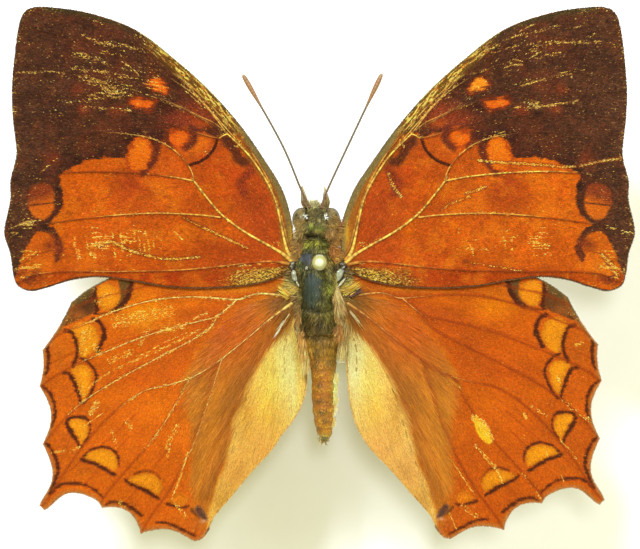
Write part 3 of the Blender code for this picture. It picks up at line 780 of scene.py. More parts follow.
FORE_PATCHES = (  # centre, radii in pixels, colour, strength
    ((378, 214), (22, 34), rgb(172, 66, 30), 0.62),
    ((392, 196), (16, 14), rgb(184, 74, 28), 0.45),
    ((404, 176), (18, 16), rgb(170, 62, 24), 0.60),
    ((428, 162), (15, 12), rgb(166, 62, 22), 0.45),
    ((422, 188), (14, 14), rgb(212, 90, 16), 0.55),
    ((440, 150), (12, 10), rgb(206, 92, 24), 0.55),
    ((508, 187), (15, 15), rgb(150, 52, 26), 0.80),
    ((500, 196), (28, 10), rgb(176, 66, 22), 0.50),
    ((472, 197), (15, 11), rgb(232, 116, 20), 0.65),
    ((482, 183), (16, 5), rgb(222, 104, 18), 0.50),
    ((408, 232), (10, 14), rgb(214, 100, 14), 0.65),
    ((428, 232), (12, 16), rgb(178, 72, 16), 0.40),
    ((452, 228), (18, 12), rgb(212, 94, 12), 0.50),
    ((545, 190), (22, 16), rgb(218, 98, 16), 0.55),
    ((530, 208), (14, 8), rgb(192, 82, 14), 0.30),
    ((560, 200), (8, 16), rgb(190, 80, 20), 0.45),
    ((550, 222), (20, 6), rgb(206, 92, 20), 0.35),
    ((600, 268), (16, 10), rgb(218, 120, 30), 0.55),
    ((520, 245), (30, 14), rgb(196, 86, 14), 0.35),
    ((555, 250), (8, 14), rgb(184, 76, 16), 0.45),
    ((400, 252), (26, 9), rgb(182, 70, 22), 0.55),
    ((440, 256), (26, 8), rgb(184, 72, 14), 0.45),
    ((470, 245), (12, 9), rgb(206, 98, 18), 0.45),
    ((460, 278), (80, 9), rgb(164, 58, 14), 0.95),
    ((545, 279), (46, 8), rgb(166, 60, 14), 0.90),
)


def pattern_noise(xy, wing):
    """Streaks along the flow and combs across it, from the wing's root."""
    d = xy - wing.base
    r = np.hypot(*d.T)
    th = np.arctan2(d[:, 1], d[:, 0])
    streak = noise(r, th * 22.0, 1.6, 3) * 0.6 + noise(r, th * 47.0, 0.8, 4) * 0.4
    comb = noise(r * 0.22, th * r, 0.10, 8) * 0.6 + noise(r * 0.5, th * r, 0.30, 9) * 0.4
    return r, th, streak, comb


def hairlines(r, th, seed, fineness=0.11):
    """Broken fine lines that run out from the wing's root."""
    a = noise(r * 0.09, th * r, fineness, seed)
    b = noise(r, th * 30.0, 1.1, seed + 1)
    return sst(0.70, 0.86, a) * sst(0.35, 0.65, b)


def paint_fore(wing, field, seed=1):
    """Colour of the upper side and how many scales gleam, for each point."""
    side = wing.side
    rnd = np.random.default_rng(100 + seed * 7 + (side > 0))
    x, y = field.xy.T
    px, py = x / PX + PIN_PX[0], PIN_PX[1] - y / PX
    r, th, streak, comb = pattern_noise(field.xy, wing)
    low = fbm(x, y, 2.6, 11 + side)
    mid = fbm(x, y, 0.7, 21 + side)
    fine = noise(x, y, 0.16, 31 + side)
    col = np.empty((field.n, 3))
    t = sst(2.0, 22.0, x)[:, None]
    col[:] = rgb(184, 76, 24) * (1 - t) + rgb(199, 89, 14) * t
    gleam = np.full(field.n, 0.001) + 0.010 * sst(0.62, 0.8, mid)

    def lay(colour, m):
        col[:] += (np.asarray(colour) - col) * np.clip(m, 0, 1)[:, None]

    for (cx, cy), (rx, ry), c, s in FORE_PATCHES:
        e = ((px - cx) / rx) ** 2 + ((py - cy) / ry) ** 2
        lay(c, s * np.exp(-e * (0.75 + 0.5 * mid)))
    col *= (1 + 0.22 * (low - 0.5) + 0.16 * (streak - 0.5) + 0.15 * (fine - 0.5))[:, None]
    amber = sst(0.45, 0.75, fbm(x, y, 1.3, 375 + side)) * sst(4, 9, x)
    lay(rgb(222, 118, 22), 0.50 * amber)
    weave = noise(r * 0.6, th * r, 0.20, 377) * noise(r, th * r * 0.5, 0.22, 379)
    lay(rgb(156, 64, 16), 0.42 * sst(0.36, 0.55, weave) * sst(-4.0, 2.0, y + 0.0 * x))

    # reddish flush and purple dusk between the cell's end and the dark tip
    dark = field.region(closed_curve(FORE_DARK, 4), 2.2)
    edge = dark + 0.26 * (mid - 0.5) + (0.42 - 0.24 * sst(555, 575, px)) * (comb - 0.5) + 0.10 * (fine - 0.5)
    tone = sst(0.0, -1.6, dark)[:, None]
    night = rgb(62, 34, 27) * (1 - tone) + rgb(77, 46, 34) * tone
    far = sst(22, 27.5, x)[:, None]
    night = night * (1 - far) + rgb(80, 51, 39) * far
    grainy = 1 + 0.30 * (noise(r * 0.5, th * r, 0.15, 371) - 0.5) + 0.40 * (mid - 0.5) + 0.24 * (low - 0.5)
    night = night * np.array([1.0, 0.94, 1.02]) * (0.96 * grainy)[:, None]
    blush = sst(0.50, 0.72, fbm(x, y, 1.5, 373))[:, None]
    night += (rgb(98, 46, 32) - night) * 0.55 * blush * (1 - 0.6 * far)
    lay(rgb(150, 58, 24), 0.55 * sst(0.75, 0.0, dark) * sst(508, 480, px) * sst(425, 440, px))
    m = sst(0.10, -0.10, edge)
    col[:] += (night - col) * m[:, None]
    dusk = m.copy()
    flush = np.exp(-(((px - 446) * 0.9 + (py - 116) * 0.42) / 34) ** 2
                   - ((-(px - 446) * 0.42 + (py - 116) * 0.9) / 15) ** 2)
    lay(rgb(136, 54, 34), 0.85 * flush * m)
    lay(rgb(176, 72, 28), 0.75 * np.exp(-((px - 437) / 12) ** 2 - ((py - 124) / 6) ** 2))
    lay(rgb(120, 48, 34), 0.6 * np.exp(-((px - 462) / 14) ** 2 - ((py - 119) / 7) ** 2))
    for cx, cy, rr in ((561, 91, 6.5), (555, 110, 6.0), (520, 111, 7.0), (585, 160, 8.0)):
        lay(rgb(136, 52, 30), 0.55 * np.exp(-((px - cx) / rr) ** 2 - ((py - cy) / rr / 0.8) ** 2) * m)
    # dark rims beside the broken row of spots
    for line, half, c in (
        (P((447, 129), (444, 136), (446, 143), (452, 148)), 0.26, rgb(96, 40, 34)),
        (P((471, 133), (472, 140), (467, 147)), 0.18, rgb(104, 44, 30)),
        (P((479, 141), (481, 149), (483, 157), (488, 165), (495, 173)), 0.24, rgb(92, 38, 32)),
        (P((387, 158), (392, 163), (399, 160), (404, 150), (412, 140)), 0.34, rgb(84, 40, 30)),
        (P((384, 166), (390, 174), (398, 184), (394, 194)), 0.30, rgb(140, 54, 34)),
    ):
        d, _, _ = field.line(spline(line, 5), 1.1)
        lay(c, 0.88 * sst(half + 0.30, half - 0.12, d + 0.25 * (mid - 0.5) + 0.14 * (comb - 0.5)))
    for k, (ring, c, soft) in enumerate(FORE_SPOTS):
        redder = side < 0 and k == 0
        d = field.region(closed_curve(ring) + [0.27 * redder, 0], 0.9)
        if redder:
            c = rgb(220, 98, 22)
        lay(rgb(150, 46, 20), 0.45 * sst(0.34, 0.0, d + 0.5 * (comb - 0.5)))
        lay(c * (1 + 0.10 * (streak[:, None] - 0.5)),
            sst(soft, -soft, d + (0.12 if k < 2 else 0.05) + 0.62 * (comb - 0.5) + 0.34 * (mid - 0.5)))
        lay(rgb(244, 168, 60), (0.06 if redder else 0.16) * sst(-0.15, -0.55, d) * sst(0.45, 0.7, streak))
    blackish = np.exp(-((px - 474) / 11) ** 2 - ((py - 107) / 7) ** 2)
    blackish += 0.9 * np.exp(-((px - 479) / 9) ** 2 - ((py - 136) / 6) ** 2)
    blackish += 0.7 * np.exp(-((px - 462) / 10) ** 2 - ((py - 84) / 9) ** 2)
    blackish += 0.6 * np.exp(-((px - 512) / 12) ** 2 - ((py - 136) / 12) ** 2)
    on_spot = np.zeros(field.n)
    for ring, c, soft in FORE_SPOTS:
        on_spot = np.maximum(on_spot, sst(0.25, -0.05, field.region(closed_curve(ring), 0.9)))
    lay(rgb(58, 26, 24), 0.75 * np.clip(blackish, 0, 1) * (1 - on_spot) * (0.5 + 0.8 * mid))
    # the dark curved bar that closes the cell
    d, _, _ = field.line(spline(FORE_VEINS["mdc"][0], 6), 0.5)
    lay(rgb(66, 28, 18), 0.95 * sst(0.17, 0.09, d + 0.05 * (comb - 0.5)))
    # two orange fields set in the dark outer edge
    ring = closed_curve(P((584, 191), (590, 184), (600, 184), (608, 190), (610, 201),
                          (608, 210), (602, 217), (593, 219), (586, 213), (583.5, 203)))
    d = field.region(ring, 1.2)
    inner = rgb(126, 54, 32) + (rgb(200, 96, 24) - rgb(126, 54, 32)) * sst(
        193, 207, py - 8 * (mid - 0.5) - (px - 596) * 0.35)[:, None]
    col[:] += (inner - col) * (0.95 * sst(0.16, -0.12, d + 0.18 * (mid - 0.5)
                                          + 0.14 * (comb - 0.5)))[:, None]
    ring = closed_curve(P((583, 236), (590, 232), (600, 232), (607, 240), (612, 252),
                          (610, 262), (598, 262), (588, 262), (582, 250)))
    d = field.region(ring, 1.2)
    lay(rgb(200, 94, 24), 0.5 * sst(0.2, -0.3, d))
    lay(rgb(128, 54, 32), 0.75 * np.exp(-((px - 586) / 8) ** 2 - ((py - 244 - (px - 586) * 0.3) / 6) ** 2)
        * (0.5 + mid))
    dv, _, _ = field.line(P((575, 202), (590, 203.5), (608, 205.5)), 0.4)
    lay(rgb(84, 40, 28), 0.8 * sst(0.12, 0.03, dv))
    dv, _, _ = field.line(P((572, 249), (585, 250), (600, 254), (612, 262)), 0.4)
    lay(rgb(120, 50, 26), 0.5 * sst(0.12, 0.03, dv))
    lay(rgb(132, 54, 30), 0.70 * np.exp(-((px - 579) / 7) ** 2 - ((py - 250) / 15) ** 2) * sst(0.30, 0.55, mid)
        * sst(0.3, 0.0, dark))
    # orange corner with dark grains; its gold grains are painted glints, laid with the glint patches below
    m = np.exp(-((px - 609) / 13) ** 2 - ((py - 277) / 9) ** 2)
    lay(rgb(104, 40, 34), 0.9 * m * sst(0.36, 0.54, mid + 0.25 * (comb - 0.5)))
    # outer edge: a shade lighter where the pale fringe starts
    rim, _, _ = field.line(np.vstack([wing.outline, wing.outline[:1]]), 1.4)
    costa, _, run = field.line(spline(fore_costa(side), 6), 2.0)
    hindedge, _, _ = field.line(spline(FORE_HIND_EDGE, 5), 1.2)
    lay(rgb(104, 68, 44), 0.35 * sst(0.55, 0.1, rim) * sst(600, 615, px) * sst(280, 260, py))
    # olive front edge, and beyond it the strip of gold scale rows, with painted glints on its brightest rows
    basal = sst(408, 392, px)
    lay(rgb(160, 98, 42), 0.85 * basal * sst(1.5, 1.1, costa) * sst(345, 352, px + (py - 240) * 0.02))
    lay(rgb(130, 112, 88), 0.95 * basal * sst(0.80, 0.52, costa + 0.10 * (mid - 0.5)))
    lay(rgb(112, 100, 92), 0.6 * basal * sst(0.36, 0.15, costa) * sst(180, 130, py))
    strip = sst(394, 408, px) * sst(505, 470, px) * sst(1.35, 1.0, costa + 0.15 * (mid - 0.5))
    lines = noise(run * 0.16, costa, 0.085, 361) * 0.75 + noise(run, costa, 0.30, 362) * 0.25
    gold = rgb(104, 74, 36) * np.ones((field.n, 1))
    gold += (rgb(164, 92, 40) - gold) * sst(0.42, 0.58, lines)[:, None]
    gold += (rgb(226, 206, 126) - gold) * sst(0.58, 0.68, lines)[:, None]
    gold += (rgb(92, 82, 50) - gold) * (0.8 * sst(0.30, 0.12, costa))[:, None]
    col[:] += (gold - col) * (0.92 * strip)[:, None]
    gleam += 0.10 * strip * sst(0.5, 0.7, lines)
    tipband = sst(470, 520, px) * sst(0.9, 0.4, costa)
    lay(rgb(74, 52, 38), 0.7 * tipband)
    lay(rgb(110, 92, 56), 0.4 * sst(0.25, 0.1, costa) * sst(480, 500, px))
    lay(rgb(62, 58, 40), 0.80 * sst(0.60, 0.15, costa + 0.2 * (mid - 0.5)) * sst(492, 530, px))
    # trailing edge: thin and brown, dark at its root, with painted gold glints there
    lay(rgb(104, 54, 24), 0.7 * sst(0.30, 0.10, hindedge) * sst(400, 470, px))
    rootdark = sst(1.9, 0.7, hindedge + 0.5 * (mid - 0.5)) * sst(432, 380, px + 20 * (mid - 0.5)) * sst(264, 272, py)
    lay(rgb(88, 58, 28), 0.88 * rootdark)
    lay(rgb(226, 192, 100), 0.85 * rootdark * (rnd.random(field.n) < 0.28))
    lay(rgb(74, 46, 22), 0.6 * np.exp(-((px - 352) / 8) ** 2 - ((py - 268) / 7) ** 2))
    gleam += (0.30 + 0.20 * (side < 0)) * rootdark * (0.4 + 1.2 * mid)
    # yellow roots of the front veins
    lay(rgb(214, 160, 62), 0.8 * np.exp(-((px - 347) / 3.2) ** 2 - ((py - 236) / 14) ** 2))
    lay(rgb(206, 140, 60), 0.6 * np.exp(-((px - 352) / 6) ** 2 - ((py - 250) / 7) ** 2))
    # each vein: a painted shadow line on its shaded side, painted gold glints on the other
    for name, (line, r0, r1, shine) in FORE_VEINS.items():
        if name == "mdc":
            continue
        fine_line = resample(spline(line, 4), 0.4)
        d, s, along = field.line(fine_line, 0.6)
        shade = field.line(fine_line + [0.05 * side, -0.10], 0.5)[0]
        lay(rgb(112, 44, 14), 0.62 * np.exp(-(shade / 0.10) ** 2) * (1 - 0.6 * m) * (1 - 0.85 * dusk))
        lay(rgb(60, 34, 26), 0.20 * np.exp(-(shade / 0.10) ** 2) * sst(0.1, -0.2, dark))
        t_run = along / (along.max() + 1e-6)
        gleam += shine * 0.20 * np.exp(-(d / 0.14) ** 2) * (0.4 + 1.2 * noise(along, along * 0, 1.1, 41)) \
            * (0.10 + 0.90 * sst(FORE_SIDE_GLINT_REACH[side][name] + 0.1, FORE_SIDE_GLINT_REACH[side][name] - 0.1, t_run))
    # folds and scratches that gleam: painted glints, each in a darker band
    for line, width, glint_amount in FORE_CREASES[side]:
        d, _, along = field.line(resample(spline(line, 5), 0.3), 0.5)
        patchy = 0.45 + 0.75 * noise(along, along * 0 + width * 90, 0.7, 43)
        gleam += glint_amount * patchy * sst(width + 0.05, width * 0.45, d)
        lay(rgb(120, 50, 20), 0.5 * sst(width + 0.16, width + 0.04, d) * glint_amount)
    # painted glints: patches of bright highlight grains read off the photograph
    glint_patches = (((478, 85), (8, 8), 0.10), ((452, 228), (12, 9), 0.12), ((470, 247), (9, 10), 0.20),
            ((470, 252), (5, 4), 0.45), ((510, 238), (9, 12), 0.26), ((540, 240), (9, 13), 0.26),
            ((525, 235), (20, 16), 0.10), ((545, 214), (8, 5), 0.30), ((560, 220), (14, 5), 0.15),
            ((609, 261), (8, 9), 0.95), ((614, 275), (8, 6), 0.45), ((596, 276), (10, 4), 0.20),
            ((628, 228), (6, 5), 0.50), ((612, 230), (10, 4), 0.35), ((605, 178), (12, 3), 0.25),
            ((530, 103), (14, 5), 0.28), ((495, 132), (14, 3), 0.40), ((478, 133), (7, 2), 0.60),
            ((520, 83), (16, 3), 0.22), ((470, 60), (16, 8), 0.22), ((500, 50), (26, 9), 0.12),
            ((545, 44), (26, 6), 0.12), ((555, 80), (34, 30), 0.025), ((590, 105), (26, 16), 0.03),
            ((452, 96), (16, 10), 0.10), ((436, 112), (14, 8), 0.08), ((404, 148), (3, 2), 0.9),
            ((483, 151), (5, 2), 0.8), ((596, 110), (14, 3), 0.08), ((625, 260), (5, 12), 0.2),
            ((630, 200), (4, 24), 0.10), ((390, 212), (16, 8), 0.06), ((365, 246), (8, 5), 0.2))
    if side < 0:
        glint_patches = tuple(d for d in glint_patches if d[0][0] not in (530, 495, 452, 436, 610)) + (
            ((2 * PIN_PX[0] - 112, 90), (20, 12), 0.30), ((2 * PIN_PX[0] - 128, 74), (18, 8), 0.28),
            ((2 * PIN_PX[0] - 100, 75), (18, 8), 0.18), ((2 * PIN_PX[0] - 80, 95), (26, 10), 0.10),
            ((2 * PIN_PX[0] - 90, 55), (22, 4), 0.16), ((2 * PIN_PX[0] - 120, 245), (24, 14), 0.20),
            ((2 * PIN_PX[0] - 28, 224), (16, 3), 0.55), ((2 * PIN_PX[0] - 25, 205), (12, 14), 0.12),
            ((2 * PIN_PX[0] - 155, 85), (12, 7), 0.22))
    lined = hairlines(r, th, 341)
    for (cx, cy), (rx, ry), p in glint_patches:
        e = ((px - cx) / rx) ** 2 + ((py - cy) / ry) ** 2
        gleam += p * np.exp(-e) * (0.07 + 3.4 * lined) * (0.5 + streak)
    gleam += 0.14 * hairlines(r, th, 351, 0.07) * sst(0.1, -0.3, dark)
    gleam += 0.022 * sst(0.0, -0.3, dark) * (0.5 + mid) + 0.008 * sst(-0.2, 0.1, dark)
    gleam += 0.16 * sst(0.75, 0.25, rim) * sst(560, 600, px) * sst(0.3, 0.7, mid)
    for line in FORE_GLINTS[side]:
        line = resample(spline(line, 5) if len(line) > 2 else line, 0.2)
        d, _, along = field.line(line, 0.4)
        dash = sst(0.35, 0.65, noise(along, along * 0 + line[0, 0], 0.45, 45))
        gleam += 0.75 * dash * sst(0.085, 0.03, d)
    rows = sst(0.42, 0.68, noise(r * 0.35, th * r, 0.11, 389))
    for line, half, amount in FORE_GLINT_BANDS[side]:
        d, _, _ = field.line(resample(spline(line, 5) if len(line) > 2 else line, 0.25), half * 1.6 + 0.1)
        gleam += amount * sst(half * 1.4, half * 0.4, d + 0.10 * (mid - 0.5)) * (0.20 + 1.25 * rows)
    if side < 0:     # combs of painted glints across the last cell of the left wing
        e = ((px - (2 * PIN_PX[0] - 136)) / 36) ** 2 + ((py - 243) / 14) ** 2
        e2 = ((px - (2 * PIN_PX[0] - 92)) / 26) ** 2 + ((py - 253) / 7) ** 2
        teeth = sst(0.56, 0.74, noise(x, y * 0.30, 0.26, 401)) * sst(0.38, 0.62, noise(x, y, 0.50, 402))
        gleam += 0.62 * teeth * np.maximum(np.exp(-e * e), np.exp(-e2 * e2))
    col *= (1 + 0.07 * dusk)[:, None]
    col[:, 2] *= 0.72 + 0.02 * dusk
    if side < 0:
        col *= np.array([0.972, 0.950, 0.92])
    return np.clip(col, 0, 1), np.clip(gleam, 0, 1)


# --------------------------------------------------------------- the hind wing
HIND_SPOTS = (
    (P((523, 283), (530, 280), (538, 281), (541, 287), (540, 296), (537, 303), (530, 305.5),
       (522, 301), (518, 294), (519, 287)), rgb(246, 148, 26)),
    (P((541, 330), (544, 322), (550, 318), (558, 317), (565, 321), (568, 326), (563.5, 333),
       (561, 340), (560, 346), (559, 352), (553, 351.5), (547, 347), (542, 340), (540, 334)),
     rgb(244, 150, 26)),
    (P((549, 375), (548, 369), (552, 362.5), (558, 360), (564, 360.5), (569, 364.5), (566, 371),
       (563, 379), (561, 386), (559, 393), (555, 392), (551, 385)), rgb(244, 150, 26)),
    (P((553, 421), (556, 415), (563, 413), (571, 414), (572, 418), (568, 426), (564, 433),
       (560, 439), (556, 434), (553, 428)), rgb(246, 154, 28)),
    (P((525, 461), (525, 453), (530, 446.5), (538, 443.5), (548, 444.5), (556, 448.5),
       (558, 452.5), (552, 455.5), (543, 459), (533, 463.5), (527, 466)), rgb(238, 148, 24)),
    (P((482, 487), (481, 480), (485, 473.5), (492, 469.5), (500, 469), (509, 472), (515, 475.5),
       (508, 479.5), (500, 483.5), (491, 488), (485, 491)), rgb(240, 146, 26)),
    (P((455, 497), (458, 492), (465, 490), (471, 494), (473, 499), (466, 501.5), (458, 501.5)),
     rgb(232, 128, 22)),
)
HIND_LINES = (   # dark arcs round the spots: line, half width in mm, darkness
    (P((506, 279), (508, 286), (511, 294), (516, 301), (523, 306)), 0.27, 0.95),
    (P((542, 282), (543.5, 293), (541, 304), (543, 308)), 0.20, 0.92),
    (P((518, 304), (529, 307.5), (541, 309)), 0.09, 0.55),
    (P((545, 314), (538, 319), (534.5, 327), (536, 335), (539.5, 342), (541.5, 346)), 0.21, 0.96),
    (P((574, 325), (568, 326.5), (564, 333), (562, 341), (562.5, 349), (564, 355), (567, 360)),
     0.17, 0.95),
    (P((559, 353), (552, 356.5), (546, 363.5), (543.5, 371), (545.5, 379), (549, 387),
       (553, 393.5), (557, 397)), 0.13, 0.93),
    (P((576, 366), (570, 368.5), (566, 377), (563, 385), (561, 391), (560, 396)), 0.17, 0.95),
    (P((551, 424), (552, 416), (557, 412.3), (565, 411), (572, 412.5), (575, 418)), 0.10, 0.92),
    (P((575, 417), (570.5, 426), (565.5, 434), (562, 441)), 0.17, 0.96),
    (P((551, 423), (552.5, 430), (557, 436.5), (561.5, 441.5)), 0.08, 0.80),
    (P((523, 461), (524, 451.5), (529, 445), (537, 441.8), (545, 442.2), (553, 445.5),
       (559, 451)), 0.10, 0.90),
    (P((528, 469.5), (535, 465.3), (542, 461.2), (549, 457.5), (556, 455.5), (560.5, 453)),
     0.16, 0.97),
    (P((483, 474.5), (487, 469.5), (493, 467), (500, 467), (508, 469.5)), 0.07, 0.60),
    (P((484.5, 494.5), (492, 489.5), (500, 485), (508, 481.3), (514, 478), (517.5, 475)),
     0.16, 0.97),
    (P((455, 502.5), (461, 504.5), (468, 502.5), (476, 500.5)), 0.12, 0.92),
    (P((439, 515.5), (445, 513), (450, 509), (452, 506)), 0.12, 0.90),
)
HIND_MARGIN = (
    (P((592.5, 335), (591.3, 345), (590.8, 353), (591.3, 361), (594, 368)), 0.16, 0.92),
    (P((598, 380), (591, 385.5), (587.5, 393), (586, 400), (585.5, 408), (587.5, 415.5),
       (592, 422)), 0.14, 0.92),
    (P((598, 435), (592.5, 440), (587.5, 449), (584.5, 458), (584.3, 466), (586.5, 471),
       (589, 479), (593, 486)), 0.14, 0.92),
    (P((540, 492), (546, 486), (554, 480.5), (562, 478), (572, 477), (581, 478), (587, 481.5),
       (593, 488)), 0.12, 0.90),
    (P((502, 511), (508, 506), (515, 501), (523, 497.5), (531, 497), (537, 499)), 0.12, 0.88),
    (P((449, 533), (457, 528.3), (466, 524), (475, 519.8), (483, 518.2), (488, 518.4)), 0.11, 0.92),
)
HIND_PATCHES = (
    ((390, 300), (26, 14), rgb(186, 84, 32), 0.75), ((372, 300), (12, 10), rgb(168, 80, 34), 0.5),
    ((400, 288), (32, 5), rgb(226, 132, 30), 0.75), ((440, 289), (30, 5), rgb(210, 116, 26), 0.6),
    ((445, 300), (16, 8), rgb(226, 116, 20), 0.7), ((415, 300), (12, 6), rgb(218, 104, 26), 0.5),
    ((432, 318), (22, 12), rgb(190, 86, 26), 0.7), ((463, 330), (20, 20), rgb(196, 88, 22), 0.6),
    ((494, 306), (24, 14), rgb(246, 140, 16), 0.95), ((510, 288), (14, 6), rgb(232, 130, 26), 0.6),
    ((522, 330), (16, 14), rgb(224, 108, 18), 0.6), ((500, 345), (18, 10), rgb(216, 98, 18), 0.5),
    ((525, 355), (20, 9), rgb(222, 106, 16), 0.5), ((505, 372), (24, 9), rgb(198, 86, 20), 0.6),
    ((470, 360), (20, 16), rgb(200, 92, 24), 0.6), ((535, 392), (22, 10), rgb(228, 112, 16), 0.6),
    ((482, 402), (20, 14), rgb(232, 118, 18), 0.8), ((505, 420), (20, 10), rgb(228, 112, 20), 0.6),
    ((460, 402), (9, 14), rgb(204, 98, 34), 0.4), ((457, 430), (12, 18), rgb(226, 118, 30), 0.7),
    ((460, 462), (12, 18), rgb(206, 98, 24), 0.5), ((520, 430), (20, 10), rgb(212, 100, 18), 0.5),
    ((545, 425), (10, 10), rgb(216, 104, 18), 0.4), ((500, 452), (18, 12), rgb(214, 102, 20), 0.5),
    ((572, 436), (14, 12), rgb(198, 96, 30), 0.7), ((560, 468), (22, 8), rgb(212, 106, 22), 0.6),
    ((530, 482), (22, 8), rgb(208, 98, 18), 0.5), ((490, 505), (22, 10), rgb(200, 92, 20), 0.6),
    ((462, 515), (14, 7), rgb(210, 106, 22), 0.5), ((578, 345), (10, 18), rgb(212, 110, 28), 0.8),
    ((578, 388), (12, 14), rgb(214, 104, 28), 0.8), ((445, 523), (8, 6), rgb(206, 112, 48), 0.8),
    ((520, 500), (16, 5), rgb(190, 92, 30), 0.6), ((560, 400), (12, 10), rgb(212, 100, 20), 0.5),
)
HAIR_ZONE = P((345, 303), (360, 296), (382, 300), (400, 311), (418, 327), (433, 346),
              (448, 368), (454, 392), (448, 415), (447, 445), (449, 475), (447, 500),
              (440, 514), (434, 505), (427, 480), (416, 452), (402, 415), (388, 380),
              (374, 352), (358, 332), (348, 322))
PALE_ZONE = P((345, 317), (354, 325), (370, 346), (384, 368), (398, 396), (407, 426),
              (416, 460), (427, 488), (434, 512), (428, 530), (380, 500), (330, 430),
              (300, 380), (300, 335), (330, 318))


def paint_hind(wing, field, seed=1):
    side = wing.side
    rnd = np.random.default_rng(200 + seed * 7 + (side > 0))
    x, y = field.xy.T
    px, py = x / PX + PIN_PX[0], PIN_PX[1] - y / PX
    r, th, streak, comb = pattern_noise(field.xy, wing)
    low = fbm(x, y, 2.6, 51 + side)
    mid = fbm(x, y, 0.7, 61 + side)
    fine = noise(x, y, 0.16, 71 + side)
    col = np.empty((field.n, 3))
    col[:] = rgb(213, 102, 20)
    gleam = np.full(field.n, 0.003) + 0.015 * sst(0.62, 0.8, mid)

    def lay(colour, m):
        col[:] += (np.asarray(colour) - col) * np.clip(m, 0, 1)[:, None]

    lay(rgb(186, 84, 26), 0.75 * sst(15, 3, x))
    for (cx, cy), (rx, ry), c, s in HIND_PATCHES:
        e = ((px - cx) / rx) ** 2 + ((py - cy) / ry) ** 2
        lay(c, s * np.exp(-e * (0.7 + 0.6 * mid)))
    col *= (1 + 0.16 * (low - 0.5) + 0.12 * (streak - 0.5) + 0.10 * (fine - 0.5))[:, None]
    col *= np.array([0.925, 0.865, 0.76]) if side > 0 else np.array([0.975, 0.945, 0.79])
    if side < 0:
        glow = np.exp(-((px - (2 * PIN_PX[0] - 142)) / 36) ** 2 - ((py - 317 + 0.20 * (px - 497)) / 9) ** 2)
        lay(rgb(240, 150, 34), 0.60 * glow * sst(0.25, 0.55, mid))
    # a thin darker fold down the middle of each outer cell
    for line in (P((480, 326), (520, 338), (545, 347)), P((500, 360), (540, 385), (575, 412)),
                 P((505, 410), (540, 440), (575, 466)), P((512, 432), (545, 466), (560, 480)),
                 P((470, 440), (500, 478), (520, 500)), P((420, 285), (470, 292), (500, 300)),
                 P((545, 340), (578, 352), (596, 362))):
        d, _, _ = field.line(resample(spline(line, 5), 0.4), 0.4)
        lay(rgb(176, 74, 16), 0.55 * sst(0.16, 0.03, d))
    # smoky corner in front of the first eyespot and along the outer edge
    ring = closed_curve(P((543, 280), (556, 285), (568, 294), (577, 308), (582, 320), (576, 321),
                          (566, 317), (555, 312), (544, 307), (542, 295)))
    d = field.region(ring, 1.3)
    smoke = sst(0.14, -0.14, d + 0.18 * (mid - 0.5))
    lay(rgb(92, 56, 34) * (0.85 + 0.5 * (mid[:, None] - 0.3)), 0.94 * smoke)
    gleam += 0.10 * smoke * sst(0.4, 0.7, streak)
    lay(rgb(176, 94, 42), 0.75 * smoke * np.exp(-((px - 561) / 10) ** 2 - ((py - 310) / 6) ** 2))
    lay(rgb(106, 90, 56), 0.65 * smoke * sst(0.9, 0.3, field.line(spline(HIND_COSTA, 6), 1.5)[0]))
    ring = closed_curve(P((504, 281), (511, 276), (519, 276), (518, 284), (517.5, 292),
                          (521, 300), (527, 306), (520, 306), (513, 300), (508, 292)))
    d = field.region(ring, 0.9)
    lay(rgb(98, 70, 44), 0.93 * sst(0.10, -0.10, d + 0.12 * (comb - 0.5)))
    for ring, c in HIND_SPOTS:
        d = field.region(closed_curve(ring), 0.9)
        heart = c * np.array([0.985, 0.955, 0.95]) * (1 + 0.12 * (streak[:, None] - 0.5) + 0.10 * (fine[:, None] - 0.5))
        rim = 0.90 + 0.10 * sst(-0.05, -0.5, d)[:, None]
        lay(heart * rim, sst(0.13, -0.10, d + 0.26 * (comb - 0.5)))
    # margin: brown outside the dark arcs, paler towards the fringe
    outer = np.vstack([[22.35, -3.05]] + [p for p in wing.outline if p[0] > 9.9 and p[1] < -3.05])
    rim, _, _ = field.line(outer, 1.6)
    lay(rgb(188, 108, 56), 0.80 * sst(0.62, 0.30, rim + 0.15 * (mid - 0.5)))
    lay(rgb(206, 146, 92), 0.40 * sst(0.40, 0.15, rim) * (mid > 0.5))
    lay(rgb(120, 72, 38), 0.70 * sst(0.16, 0.05, rim))
    lay(rgb(118, 84, 48), 0.80 * sst(0.55, 0.25, rim) * sst(345, 318, py))
    for line, half, strength in HIND_MARGIN + HIND_LINES:
        fine_line = resample(spline(line, 6), 0.12)
        d, _, along = field.line(fine_line, 0.7)
        total = along.max() if along.max() > 0 else 1.0
        taper = 0.72 + 0.28 * np.sin(np.pi * np.clip(along / total, 0, 1))
        soft = d - half * 0.95 * taper + 0.26 * (comb - 0.5)
        lay(rgb(150, 62, 22), 0.55 * strength * sst(0.16, 0.02, soft))
        lay(rgb(72, 34, 20), 0.95 * strength * sst(0.07, -0.08, soft))
    # violet-grey eye at the inner corner
    ring = closed_curve(P((436, 518), (437, 511), (441, 505), (446, 502), (449, 506), (447, 512),
                          (441, 517)))
    d = field.region(ring, 0.6)
    lay(rgb(104, 78, 62), 0.70 * sst(0.02, -0.16, d + 0.15 * (mid - 0.5)))
    lay(rgb(206, 150, 140), 0.8 * np.exp(-((px - 441) / 2.6) ** 2 - ((py - 517.5) / 1.3) ** 2))
